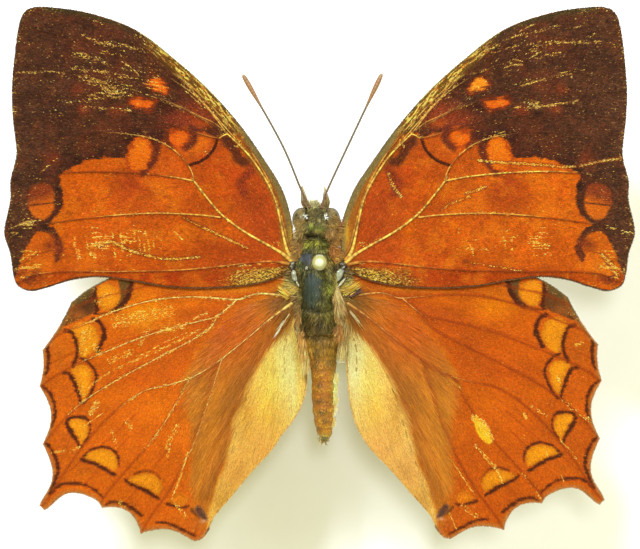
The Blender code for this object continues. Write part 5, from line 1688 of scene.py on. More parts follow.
# -------------------------------------------------------------------- the body
# stations along Y: (y, middle x, half width, middle z, half height)
THORAX = (
    (2.18, -0.28, 1.40, 25.95, 1.45), (1.75, -0.26, 1.66, 25.85, 1.75),
    (0.90, -0.22, 1.82, 25.75, 2.10), (-0.30, -0.19, 1.90, 25.70, 2.32),
    (-1.70, -0.19, 1.90, 25.66, 2.42), (-3.10, -0.19, 1.82, 25.66, 2.36),
    (-4.50, -0.16, 1.74, 25.70, 2.15), (-5.60, -0.10, 1.68, 25.74, 1.95),
    (-6.22, -0.05, 1.64, 25.76, 1.84),
)
ABDOMEN = (
    (-6.32, 0.03, 1.66, 25.76, 1.82), (-7.40, 0.12, 1.56, 25.72, 1.70),
    (-8.60, 0.24, 1.40, 25.62, 1.55), (-10.00, 0.32, 1.24, 25.50, 1.42),
    (-11.60, 0.36, 1.18, 25.36, 1.36), (-13.20, 0.40, 1.12, 25.22, 1.26),
    (-14.60, 0.44, 0.95, 25.10, 1.06), (-15.50, 0.48, 0.74, 25.02, 0.82),
    (-15.95, 0.50, 0.50, 24.98, 0.56), (-16.15, 0.50, 0.22, 24.96, 0.26),
)
HEAD_X = -0.30
HEAD = (
    (2.28, HEAD_X, 1.28, 26.00, 1.22), (2.80, HEAD_X, 1.58, 26.02, 1.42),
    (3.50, HEAD_X, 1.74, 26.05, 1.52), (4.15, HEAD_X, 1.66, 26.02, 1.46),
    (4.65, HEAD_X, 1.38, 25.96, 1.24), (4.98, HEAD_X, 0.94, 25.90, 0.86),
    (5.12, HEAD_X, 0.42, 25.88, 0.40),
)
EYE_OFFSET = (1.34, 3.96, 26.12)
EYE_RADII = (0.84, 1.06, 1.24)
EYE_LID = 0.90              # the lid covers the eye up to here, from the middle
ANTENNA = {
    "left": ((-0.93, 5.04, 26.98), (-1.72, 6.75, 27.04), (-3.45, 10.80, 27.22),
             (-6.90, 16.94, 27.55)),
    "right": ((0.14, 5.02, 26.98), (0.80, 6.75, 27.04), (2.68, 10.80, 27.22),
              (5.62, 17.02, 27.55)),
}
PALP = {
    "left": ((-0.98, 4.25, 24.12), (-1.12, 4.98, 24.36), (-1.34, 5.50, 25.02),
             (-1.46, 6.05, 25.75), (-1.60, 6.88, 26.30)),
    "right": ((0.38, 4.25, 24.12), (0.50, 4.98, 24.36), (0.60, 5.50, 25.02),
              (0.56, 6.05, 25.75), (0.42, 6.82, 26.30)),
}
PALP_RADII = (0.34, 0.42, 0.44, 0.34, 0.13)
LEG = {
    "foreleg": ((0.42, 0.75, 23.08), (0.68, 1.75, 23.42), (0.82, 2.60, 23.86),
                (0.74, 3.20, 24.02), (0.60, 3.38, 23.62), (0.50, 2.90, 23.14),
                (0.44, 2.15, 22.86)),
    "midleg": ((0.58, -1.60, 22.82), (1.16, -0.30, 22.90), (1.58, 0.75, 23.02),
               (1.74, 1.28, 22.78), (1.72, 0.95, 22.30), (1.66, -0.70, 22.12),
               (1.58, -3.20, 22.06), (1.46, -5.40, 22.16), (1.34, -6.90, 22.36)),
    "hindleg": ((0.56, -3.60, 22.86), (0.80, -2.50, 22.58), (0.94, -1.60, 22.28),
                (0.90, -1.20, 21.86), (0.82, -1.60, 21.46), (0.70, -3.30, 21.36),
                (0.58, -5.70, 21.52), (0.50, -7.60, 21.86), (0.46, -8.80, 22.16)),
}


def lathe(stations, shrink, around=36, ahead=0.0, behind=0.0):
    """A closed loft of ellipses along Y, drawn in by shrink."""
    s = np.array(stations, float)
    t = np.linspace(0, len(s) - 1, (len(s) - 1) * 5 + 1)
    s = np.stack([np.interp(t, np.arange(len(s)), s[:, k]) for k in range(5)], 1)
    ang = np.arange(around) / around * 2 * np.pi
    rx, rz = np.maximum(s[:, 2] - shrink, 0.06), np.maximum(s[:, 4] - shrink, 0.06)
    y = s[:, 0].copy()
    y[0] += ahead
    y[-1] += behind
    v = np.stack([s[:, 1, None] + rx[:, None] * np.cos(ang), np.repeat(y[:, None], around, 1),
                  s[:, 3, None] + rz[:, None] * np.sin(ang)], 2).reshape(-1, 3)
    i = np.arange(len(s) - 1)[:, None] * around
    j = np.arange(around)[None]
    q = np.stack([i + j, i + (j + 1) % around, i + around + (j + 1) % around, i + around + j],
                 2).reshape(-1, 4)
    faces = [tuple(f) for f in q]
    faces.append(tuple(range(around))[::-1])
    faces.append(tuple((len(s) - 1) * around + np.arange(around)))
    return v, faces


def oval(centre, radii, around=24, rows=14, turn=0.0):
    lat = np.linspace(-np.pi / 2, np.pi / 2, rows + 1)[1:-1]
    ang = np.arange(around) / around * 2 * np.pi
    v = np.stack([np.cos(lat)[:, None] * np.cos(ang), np.cos(lat)[:, None] * np.sin(ang),
                  np.repeat(np.sin(lat)[:, None], around, 1)], 2).reshape(-1, 3)
    v = np.vstack([v, [0, 0, -1], [0, 0, 1]]) * np.array(radii)
    c, s = math.cos(turn), math.sin(turn)
    v = v @ np.array([[c, s, 0], [-s, c, 0], [0, 0, 1]]) + np.array(centre)
    n = len(lat)
    faces = []
    for i in range(n - 1):
        for j in range(around):
            faces.append((i * around + j, i * around + (j + 1) % around,
                          (i + 1) * around + (j + 1) % around, (i + 1) * around + j))
    for j in range(around):
        faces.append((n * around, (j + 1) % around, j))
        faces.append((n * around + 1, (n - 1) * around + j, (n - 1) * around + (j + 1) % around))
    return v, faces


def tube_shell(points, radii, sides=16):
    pts = spline(points, 8)
    t = np.linspace(0, len(radii) - 1, len(pts))
    rad = np.interp(t, np.arange(len(radii)), radii)
    v, q, _, _ = sweep([(pts, rad)], sides)
    flat, sizes = caps([(pts, rad)], sides)
    faces = [tuple(f) for f in q]
    faces.append(tuple(flat[:sides]))
    faces.append(tuple(flat[sides:]))
    return v, faces


def body_skin(voxel):
    """One closed skin round head, thorax, abdomen, palps and wing joints."""
    shells = [lathe(THORAX, 0.30, ahead=-0.28, behind=0.15),
              lathe(ABDOMEN, 0.15, ahead=-0.10, behind=0.12),
              lathe(HEAD, 0.18, ahead=0.15, behind=-0.12),
              tube_shell(((-0.22, 1.2, 25.9), (-0.28, 2.2, 25.9), (-0.30, 3.2, 26.0)),
                         (1.05, 0.92, 1.0)),
              tube_shell(((0.0, -5.6, 25.7), (0.02, -6.3, 25.7), (0.06, -7.0, 25.7)),
                         (1.45, 1.36, 1.45))]
    for side, word in ((1, "right"), (-1, "left")):
        shells.append(tube_shell(PALP[word], [r - 0.09 if r > 0.2 else 0.06 for r in PALP_RADII]))
        shells.append(oval((side * 1.72, -0.05, 26.28), (0.62, 1.25, 0.48)))
        shells.append(oval((side * 1.66, -2.35, 26.05), (0.62, 1.10, 0.46)))
        shells.append(oval((-0.04 + side * 0.72, -1.55, 26.35), (0.98, 2.30, 1.42)))
    for side in (1, -1):
        shells.append(oval((side * 2.02, -1.05, 26.28), (0.50, 0.80, 0.36)))
    shells.append(oval((1.72, -6.60, 25.75), (0.36, 1.00, 0.42)))
    shells.append(oval((-1.50, -6.45, 25.75), (0.32, 0.90, 0.40)))
    shells.append(oval((-0.03, -4.75, 26.45), (0.92, 0.80, 1.05)))
    shells.append(oval((-0.20, 1.55, 26.40), (1.15, 0.55, 1.10)))
    verts, faces, base = [], [], 0
    for v, f in shells:
        verts.append(v)
        faces += [tuple(int(i) + base for i in face) for face in f]
        base += len(v)
    me = bpy.data.meshes.new("shells")
    me.from_pydata(np.vstack(verts).tolist(), [], faces)
    me.update()
    bm = bmesh.new()
    bm.from_mesh(me)
    bmesh.ops.recalc_face_normals(bm, faces=bm.faces[:])
    bm.to_mesh(me)
    bm.free()
    ob = bpy.data.objects.new("shells", me)
    bpy.context.scene.collection.objects.link(ob)
    mod = ob.modifiers.new("skin", "REMESH")
    mod.mode = "VOXEL"
    mod.voxel_size = voxel
    mod.adaptivity = 0.0
    sm = ob.modifiers.new("soften", "SMOOTH")
    sm.factor = 0.5
    sm.iterations = 5
    bpy.context.view_layer.update()
    done = ob.evaluated_get(bpy.context.evaluated_depsgraph_get()).to_mesh()
    n, m = len(done.vertices), len(done.polygons)
    V = np.empty(n * 3, np.float32)
    done.vertices.foreach_get("co", V)
    V = V.reshape(-1, 3).astype(float)
    done.calc_loop_triangles()
    T = np.empty(len(done.loop_triangles) * 3, np.int32)
    done.loop_triangles.foreach_get("vertices", T)
    T = T.reshape(-1, 3)
    ob.evaluated_get(bpy.context.evaluated_depsgraph_get()).to_mesh_clear()
    bpy.data.objects.remove(ob)
    bpy.data.meshes.remove(me)
    return V, T


def mesh_normals(V, T):
    f = np.cross(V[T[:, 1]] - V[T[:, 0]], V[T[:, 2]] - V[T[:, 0]])
    N = np.zeros_like(V)
    for k in range(3):
        np.add.at(N, T[:, k], f)
    return N / (np.linalg.norm(N, axis=1)[:, None] + 1e-12)


# centre and radii in photo pixels, colour, strength; seen from above. A few entries are painted light: white highlights
# at the eyes, and painted shade in the neck and under the thorax's rear edge
BODY_PATCHES = (
    ((314, 216), (26, 16), rgb(112, 98, 58), 1.0), ((311, 206), (6, 6), rgb(206, 192, 136), 0.9),
    ((299, 228), (7, 6), rgb(180, 142, 80), 0.9), ((334, 227), (8, 8), rgb(182, 122, 62), 0.9),
    # the near-white patches at (303, 215) and, on the next line, (325.5, 216.5) are painted highlights at the eyes
    ((318, 214), (5, 7), rgb(92, 84, 56), 0.6), ((303, 215), (2.0, 2.6), rgb(240, 238, 222), 1.0),
    ((325.5, 216.5), (2.4, 2.6), rgb(240, 238, 222), 1.0),
    ((314, 226), (14, 4), rgb(136, 138, 68), 0.7), ((319.5, 219), (1.0, 2.2), rgb(222, 216, 190), 0.9),
    ((324, 222.5), (2.2, 0.9), rgb(214, 206, 170), 0.9), ((310, 219), (3.0, 1.6), rgb(70, 58, 38), 0.8),
    ((315, 215), (2.4, 1.6), rgb(84, 70, 44), 0.7), ((322, 214), (2.4, 2.0), rgb(92, 84, 52), 0.7),
    ((311, 224), (3.2, 2.0), rgb(130, 146, 62), 0.8), ((322, 226), (3.4, 2.2), rgb(120, 140, 60), 0.8),
    # the near-black band at (312, 234) is painted shade in the neck between head and thorax
    ((305, 225), (1.6, 1.2), rgb(196, 168, 140), 0.7), ((312, 234), (10, 4), rgb(40, 32, 28), 0.98),
    ((332, 235), (6, 5), rgb(176, 124, 62), 0.8), ((298, 232), (5, 6), rgb(150, 128, 66), 0.6),
    ((314, 244), (15, 6), rgb(176, 170, 86), 0.95), ((303, 244), (6, 4), rgb(196, 190, 84), 0.8),
    ((336, 250), (6, 12), rgb(164, 104, 44), 0.9), ((295, 249), (6, 12), rgb(156, 112, 54), 0.85),
    ((306.5, 258), (8, 9), rgb(70, 74, 84), 0.95), ((320, 262), (12, 12), rgb(104, 108, 62), 0.6),
    ((331, 261), (5, 8), rgb(150, 122, 60), 0.7), ((300, 262), (4, 8), rgb(96, 106, 56), 0.7),
    ((335, 268), (5, 6), rgb(44, 34, 30), 0.9), ((292, 266), (5, 5), rgb(52, 48, 40), 0.7),
    ((307, 268), (3, 3), rgb(176, 172, 136), 0.8),
    ((311.5, 291), (12, 21), rgb(66, 72, 58), 1.0), ((313, 282), (7, 9), rgb(62, 74, 76), 0.8),
    ((327, 291), (5, 18), rgb(128, 124, 70), 0.9), ((328, 285), (3, 6), rgb(160, 166, 80), 0.8),
    ((298, 292), (5, 20), rgb(160, 136, 84), 0.85), ((316, 322), (17, 11), rgb(112, 88, 48), 0.9),
    # the two dark patches here are painted shade under the thorax's rear edge, where it meets the abdomen
    ((307, 334), (6, 3.5), rgb(40, 34, 28), 0.8), ((318, 336), (8, 3), rgb(66, 54, 38), 0.6),
    ((336, 299), (2.6, 9), rgb(200, 180, 112), 0.9), ((338, 336), (5, 12), rgb(246, 172, 74), 0.95), ((336.5, 290), (3.2, 24), rgb(214, 188, 116), 1.0),
    ((338, 314), (4, 10), rgb(186, 146, 80), 0.9),
    ((326, 312), (5, 8), rgb(120, 112, 56), 0.5), ((303, 316), (4, 10), rgb(70, 66, 40), 0.5),
)
ABDOMEN_PATCHES = (
    ((320, 346), (13, 9), rgb(132, 102, 48), 0.9), ((316, 351), (4, 4), rgb(72, 60, 46), 0.8),
    ((316, 366), (3.5, 4), rgb(96, 84, 70), 0.7), ((329, 364), (3, 4), rgb(134, 110, 92), 0.7),
    ((324, 360), (5, 5), rgb(176, 130, 50), 0.7), ((308, 348), (4, 14), rgb(196, 148, 60), 0.6),
    ((332, 356), (4, 14), rgb(150, 122, 50), 0.6), ((319, 386), (3, 3), rgb(80, 66, 56), 0.9),
    ((325, 380), (7, 8), rgb(190, 108, 44), 0.7), ((323, 394), (12, 2), rgb(150, 86, 38), 0.5),
    ((322, 397), (9, 3), rgb(202, 112, 46), 0.6), ((319, 401), (4, 2.4), rgb(84, 70, 66), 0.9),
    ((328, 404), (3, 2), rgb(110, 84, 66), 0.7), ((322, 412), (4.5, 3), rgb(84, 74, 62), 0.9),
    ((326, 421), (4, 2.4), rgb(92, 76, 60), 0.8), ((323, 406), (9, 3), rgb(196, 104, 44), 0.5),
    ((318, 428), (4, 3), rgb(100, 80, 56), 0.5), ((334.5, 390), (2.6, 17), rgb(244, 220, 122), 1.0),
    ((323, 438), (9, 3.2), rgb(226, 210, 156), 0.95), ((324, 439), (3, 2.2), rgb(56, 52, 40), 0.9),
    ((312, 385), (3, 12), rgb(168, 110, 48), 0.4), ((313, 420), (3, 10), rgb(146, 98, 50), 0.5),
)


def paint_body(p, n):
    """Colour of skin and coat at a place of the body, by where it looks."""
    x, y, z = p.T
    px, py = x / PX + PIN_PX[0], PIN_PX[1] - y / PX
    top = sst(-0.15, 0.35, n[:, 2])
    col = np.empty((len(p), 3))
    grain = fbm(x + z * 0.7, y + z * 0.5, 0.9, 401)
    fine = noise(x * 1.0 + z, y, 0.22, 405)
    belly, rear = sst(-5.4, -7.6, y)[:, None], sst(-8.4, -10.0, y)[:, None]
    col[:] = rgb(98, 88, 54) * (1 - belly) + rgb(176, 116, 48) * belly
    col += (rgb(254, 168, 66) - col) * rear

    def lay(colour, m):
        col[:] += (np.asarray(colour) - col) * np.clip(m, 0, 1)[:, None]

    for (cx, cy), (rx, ry), c, s in BODY_PATCHES:
        e = ((px - cx) / rx) ** 2 + ((py - cy) / ry) ** 2
        lay(c, s * np.exp(-e * (0.8 + 0.4 * grain)) * top * (y > -7.5))
    for (cx, cy), (rx, ry), c, s in ABDOMEN_PATCHES:
        e = ((px - cx) / rx) ** 2 + ((py - cy) / ry) ** 2
        lay(np.minimum(c * 1.3, 1.0), 0.8 * s * np.exp(-e * (0.8 + 0.4 * grain))
            * np.maximum(top, (cx > 333) * 0.8) * (y < -6.0))
    # flanks and underside, which the photograph does not show
    low = 1 - sst(-0.35, 0.15, n[:, 2])
    lay(rgb(138, 112, 62), 0.8 * low * (y > -6.3) * (y < 2.2))
    lay(rgb(176, 152, 108), 0.7 * sst(-0.3, -0.8, n[:, 2]) * (y > -6.3) * (y < 2.2))
    lay(rgb(190, 158, 104), 0.8 * low * (y > 2.2))
    lay(rgb(196, 150, 88), 0.75 * low * (y < -6.3))
    flank = np.exp(-((n[:, 2] + 0.05) / 0.22) ** 2) * (y < -6.6)
    lay(rgb(226, 196, 120), 0.55 * flank)
    # palps: ochre, a little darker on their outer sides, dark point
    palp = sst(4.75, 5.05, y)
    lay(rgb(255, 156, 104), palp * 0.97)
    lay(rgb(214, 140, 92), palp * 0.6 * (np.abs(x + 0.47) > 1.18))
    lay(rgb(150, 96, 60), sst(6.5, 6.8, y) * 0.8)
    # joints of the abdomen: each ring a little darker at its front edge
    ring = abdomen_ring(y)
    lay(col * 0.72, 0.5 * sst(0.82, 1.0, ring + 0.3 * (grain - 0.5)) * (y < -8.5))
    col *= (0.88 + 0.24 * grain + 0.18 * (fine - 0.5))[:, None]
    col[:, 2] *= 0.80
    return np.clip(col, 0, 1)


RING_PX = (334.0, 346.5, 359.0, 371.0, 382.0, 392.5, 404.5, 416.5, 428.0, 437.0)


def abdomen_ring(y):
    """How far along its abdominal segment a place is, from 0 to 1."""
    py = PIN_PX[1] - y / PX
    edges = np.array(RING_PX)
    k = np.clip(np.searchsorted(edges, py) - 1, 0, len(edges) - 2)
    return np.clip((py - edges[k]) / (edges[k + 1] - edges[k]), 0, 1)


def bald_mask(p, n):
    """Where the cuticle shows: the slate-blue shield and the collar's patch."""
    px, py = p[:, 0] / PX + PIN_PX[0], PIN_PX[1] - p[:, 1] / PX
    wob = fbm(p[:, 0], p[:, 1], 0.7, 411) - 0.5
    a = ((px - 311.5 + (py - 290) * 0.05) / 10.5) ** 2 + ((py - 290.0) / 20.0) ** 2
    b = ((px - 306.5) / 6.5) ** 2 + ((py - 257.5) / 8.5) ** 2
    c = ((px - 311.5) / 9.0) ** 2 + ((py - 233.5) / 3.2) ** 2
    e = np.minimum(np.minimum(a, b), c) + 1.7 * wob
    return sst(1.25, 0.75, e) * (n[:, 2] > 0.2)


def in_eye(p, grow):
    """Negative inside the ellipsoid of either eye, scaled by grow."""
    best = np.full(len(p), 9.0)
    for side in (1, -1):
        c = np.array([HEAD_X + side * EYE_OFFSET[0], EYE_OFFSET[1], EYE_OFFSET[2]])
        q = (p - c) / (np.array(EYE_RADII) * grow)
        best = np.minimum(best, np.linalg.norm(q, axis=1) - 1)
    return best


def shape_skin(V, T):
    N = mesh_normals(V, T)
    x, y, z = V.T
    out = np.zeros(len(V))
    # thorax: middle line, the two furrows beside it, the shield's rear edge
    top = sst(0.2, 0.7, N[:, 2])
    mid = -0.82
    seam = (y < 0.6) & (y > -4.4)
    out -= 0.075 * np.exp(-((x - mid) / 0.09) ** 2) * top * seam
    for dx in (-0.62, 0.95):
        bow = dx + 0.28 * np.sin((y + 4.4) / 5.0 * np.pi)
        out -= 0.055 * np.exp(-((x - mid - bow) / 0.10) ** 2) * top * seam
    out -= 0.14 * np.exp(-((y + 4.35 - 0.20 * (x + 0.05) ** 2) / 0.15) ** 2) * top * (np.abs(x) < 1.7)
    out -= 0.11 * np.exp(-((y - 0.98 + 0.16 * (x + 0.1) ** 2) / 0.14) ** 2) * top
    # plates of the flank
    side = sst(0.6, 0.2, np.abs(N[:, 2]))
    for k, yy in enumerate((0.25, -1.35, -2.9, -4.6)):
        out -= 0.09 * np.exp(-((y - yy + 0.35 * (z - 25.3)) / 0.13) ** 2) * side * (y > -6) * (y < 2)
    out -= 0.07 * np.exp(-((z - 24.75) / 0.12) ** 2) * side * (y > -5.8) * (y < 1.6)
    # abdomen: telescoped rings
    ring = abdomen_ring(y)
    part = sst(-6.4, -7.0, y) * sst(-15.9, -15.2, y)
    out += part * (0.055 * np.sin(np.pi * ring) ** 0.8 - 0.03)
    out -= part * 0.05 * np.exp(-((z - 25.32) / 0.10) ** 2) * side
    out += 0.030 * (fbm(x + 0.6 * z, y + 0.4 * z, 0.55, 421) - 0.5)
    out += 0.20 * (fbm(x + 0.6 * z, y + 0.4 * z, 1.7, 425) - 0.5) * part
    V = V + N * out[:, None]
    # sockets: the skin passes behind each eye and rises as a lid round its rim
    for s in (1, -1):
        c = np.array([HEAD_X + s * EYE_OFFSET[0], EYE_OFFSET[1], EYE_OFFSET[2]])
        q = (V - c) / np.array(EYE_RADII)
        r = np.linalg.norm(q, axis=1)
        reach = s * (V[:, 0] - HEAD_X)
        lid = sst(EYE_LID + 0.05, EYE_LID - 0.05, reach)
        goal = 0.86 + 0.17 * lid
        near = r < 1.04 + 0.04 * lid
        k = np.where(near, goal / np.maximum(r, 1e-6), 1.0)
        V = np.where(near[:, None], c + (V - c) * k[:, None], V)
    return V


def sample_surface(V, N, T, weight, count, rnd):
    a, b, c = V[T[:, 0]], V[T[:, 1]], V[T[:, 2]]
    area = np.linalg.norm(np.cross(b - a, c - a), axis=1) * weight[T].mean(1)
    cum = np.cumsum(area)
    k = np.searchsorted(cum, rnd.random(count) * cum[-1])
    k = np.clip(k, 0, len(T) - 1)
    u, v = rnd.random(count), rnd.random(count)
    flip = u + v > 1
    u[flip], v[flip] = 1 - u[flip], 1 - v[flip]
    w = 1 - u - v
    p = a[k] * w[:, None] + b[k] * u[:, None] + c[k] * v[:, None]
    n = N[T[k, 0]] * w[:, None] + N[T[k, 1]] * u[:, None] + N[T[k, 2]] * v[:, None]
    return p, n / (np.linalg.norm(n, axis=1)[:, None] + 1e-9)


def body_uv(p):
    """A place on the skin unrolled round its long axis."""
    ang = np.arctan2(p[:, 2] - 25.7, p[:, 0] + 0.05)
    return np.stack([0.03 + 0.94 * (ang + np.pi) / (2 * np.pi),
                     0.03 + 0.94 * (p[:, 1] + 17.0) / 25.0], 1)


def lie_of_coat(p, n, rnd):
    x, y, z = p.T
    mid = np.interp(-y, [-5, 2, 8, 16], [HEAD_X, -0.05, 0.2, 0.5])
    dx = x - mid
    d = np.stack([0.28 * dx, -np.ones(len(p)), -0.10 * np.ones(len(p))], 1)
    front = sst(3.7, 4.6, y)[:, None]
    d = d * (1 - front) + np.stack([0.25 * dx, np.full(len(p), 0.8), 0.35 + 0 * x], 1) * front
    palp = sst(5.1, 5.5, y)[:, None]
    d = d * (1 - palp) + np.stack([0.05 * dx, np.ones(len(p)), 0.55 + 0 * x], 1) * palp
    collar = (np.exp(-((y - 1.5) / 0.5) ** 2))[:, None]
    d = d * (1 - collar) + np.stack([0.9 * dx, -0.35 + 0 * x, 0.1 + 0 * x], 1) * collar
    side = (sst(0.55, 0.15, np.abs(n[:, 2])) * (y < 2) * (y > -6.2))[:, None]
    d = d * (1 - 0.6 * side) + np.stack([0.5 * np.sign(dx), -0.7 + 0 * x, -0.35 + 0 * x], 1) * 0.6 * side
    swirl = (fbm(x + z, y - z, 1.1, 431) - 0.5) * 1.6 + rnd.normal(0, 0.30, len(p))
    t = np.cross(n, d)
    d = d + t * swirl[:, None]
    d -= n * (d * n).sum(1)[:, None]
    return d / (np.linalg.norm(d, axis=1)[:, None] + 1e-9)


def coat(name, V, N, T, weight, count, length, width, lift, rnd, mat, tint=0.0, flat=0.4):
    p, n = sample_surface(V, N, T, weight, count, rnd)
    d = lie_of_coat(p, n, rnd)
    across = np.cross(n, d)
    roll = rnd.normal(0, flat, count)
    across = across * np.cos(roll)[:, None] + n * np.sin(roll)[:, None]
    col = paint_body(p, n)
    patch = fbm(p[:, 0] + 0.5 * p[:, 2], p[:, 1], 0.42, 447)
    value = rnd.uniform(0.60, 1.45, count) * (0.76 + 0.48 * sst(0.30, 0.70, patch))
    if "abdomen" in name or "waist" in name:
        value = rnd.uniform(0.90, 1.16, count) * (0.93 + 0.14 * sst(0.30, 0.70, patch))
    value *= 1 + 1.45 * sst(4.75, 5.05, p[:, 1])
    col = col * value[:, None]
    pick = rnd.random(count)
    gold = rgb(214, 190, 104) * rnd.uniform(0.8, 1.15, count)[:, None]
    dark = rgb(48, 42, 26) * rnd.uniform(0.6, 1.2, count)[:, None]
    dim = paint_body(p, n).mean(1) < 0.22
    col = np.where(((pick < 0.06 + tint) & ~dim)[:, None], 0.45 * col + 0.55 * gold, col)
    col = np.where((pick > 0.90)[:, None], 0.4 * col + 0.6 * dark, col)
    clump = 0.75 + 0.5 * fbm(p[:, 0] + p[:, 2], p[:, 1] - 0.4 * p[:, 2], 0.45, 441)
    ln = length(p, n) * rnd.uniform(0.65, 1.25, count) * clump
    up = lift(p, n) * rnd.uniform(0.6, 1.4, count)
    return blades(name, p - n * 0.02, d, across, n, ln, width * rnd.uniform(0.7, 1.3, count), up,
                  -up * 0.7, np.clip(col * 0.82, 0, 1.2), np.clip(col * 1.12, 0, 1.2), body_uv(p), mat,
                  extra=rnd.random(count) * 0.4, rows=3, tip_width=0.0)


def cuticle_material():
    mat, nt, sh = tree("body_skin")
    co = nt.nodes.new("ShaderNodeTexCoord").outputs["Object"]
    col = nt.nodes.new("ShaderNodeAttribute")
    col.attribute_name = "Col"
    gl = nt.nodes.new("ShaderNodeAttribute")
    gl.attribute_name = "gleam"
    n = noise_node(nt, 9000.0, 3.0, co)
    tone = map_range(nt, n.outputs["Fac"], 0.3, 0.7, 0.75, 1.2)
    comb = nt.nodes.new("ShaderNodeCombineColor")
    for k in range(3):
        nt.links.new(tone, comb.inputs[k])
    nt.links.new(mix_rgb(nt, "MULTIPLY", 1.0, col.outputs["Color"], comb.outputs[0]),
                 sh.inputs["Base Color"])
    nt.links.new(map_range(nt, gl.outputs["Fac"], 0.0, 1.0, 0.66, 0.46), sh.inputs["Roughness"])
    sh.inputs["Specular IOR Level"].default_value = 0.18
    bump(nt, sh, n.outputs["Fac"], 0.5, 0.00003)
    return mat


def eye_material():
    mat, nt, sh = tree("compound_eye")
    co = nt.nodes.new("ShaderNodeTexCoord").outputs["Object"]
    cells = nt.nodes.new("ShaderNodeTexVoronoi")
    cells.inputs["Scale"].default_value = 26000.0
    cells.inputs["Randomness"].default_value = 0.35
    nt.links.new(co, cells.inputs["Vector"])
    col = nt.nodes.new("ShaderNodeAttribute")
    col.attribute_name = "Col"
    tone = ramp(nt, cells.outputs["Distance"], [(0.0, (1.1, 1.1, 1.1)), (0.75, (0.72, 0.70, 0.66))])
    nt.links.new(mix_rgb(nt, "MULTIPLY", 1.0, col.outputs["Color"], tone), sh.inputs["Base Color"])
    sh.inputs["Roughness"].default_value = 0.30
    sh.inputs["Specular IOR Level"].default_value = 0.14
    sh.inputs["Coat Weight"].default_value = 0.05
    sh.inputs["Coat Roughness"].default_value = 0.08
    inv = nt.nodes.new("ShaderNodeMath")
    inv.operation = "SUBTRACT"
    inv.inputs[0].default_value = 1.0
    nt.links.new(cells.outputs["Distance"], inv.inputs[1])
    bump(nt, sh, inv.outputs[0], 0.35, 0.00001)
    return mat


def tri_mesh(name, V, T, col, gleam, smooth=True):
    me = new_mesh(name, V, np.asarray(T).ravel(), np.full(len(T), 3), smooth)
    set_colour(me, col)
    set_value(me, gleam, "gleam")
    return me


def poly_mesh(name, V, faces, col, gleam=0.0):
    flat = [i for f in faces for i in f]
    me = new_mesh(name, V, flat, [len(f) for f in faces], True)
    set_colour(me, col)
    set_value(me, np.full(len(V), gleam) if np.isscalar(gleam) else gleam, "gleam")
    return me


MAT_SKIN = cuticle_material()
MAT_BODY_HAIR = scale_material("body_hair", 0.45, 0.62, spec=0.12, grain=9000.0)
MAT_HORN = scale_material("horn", 0.34, 0.48, spec=0.30, grain=9000.0, contrast=0.25)
MAT_EYE = eye_material()


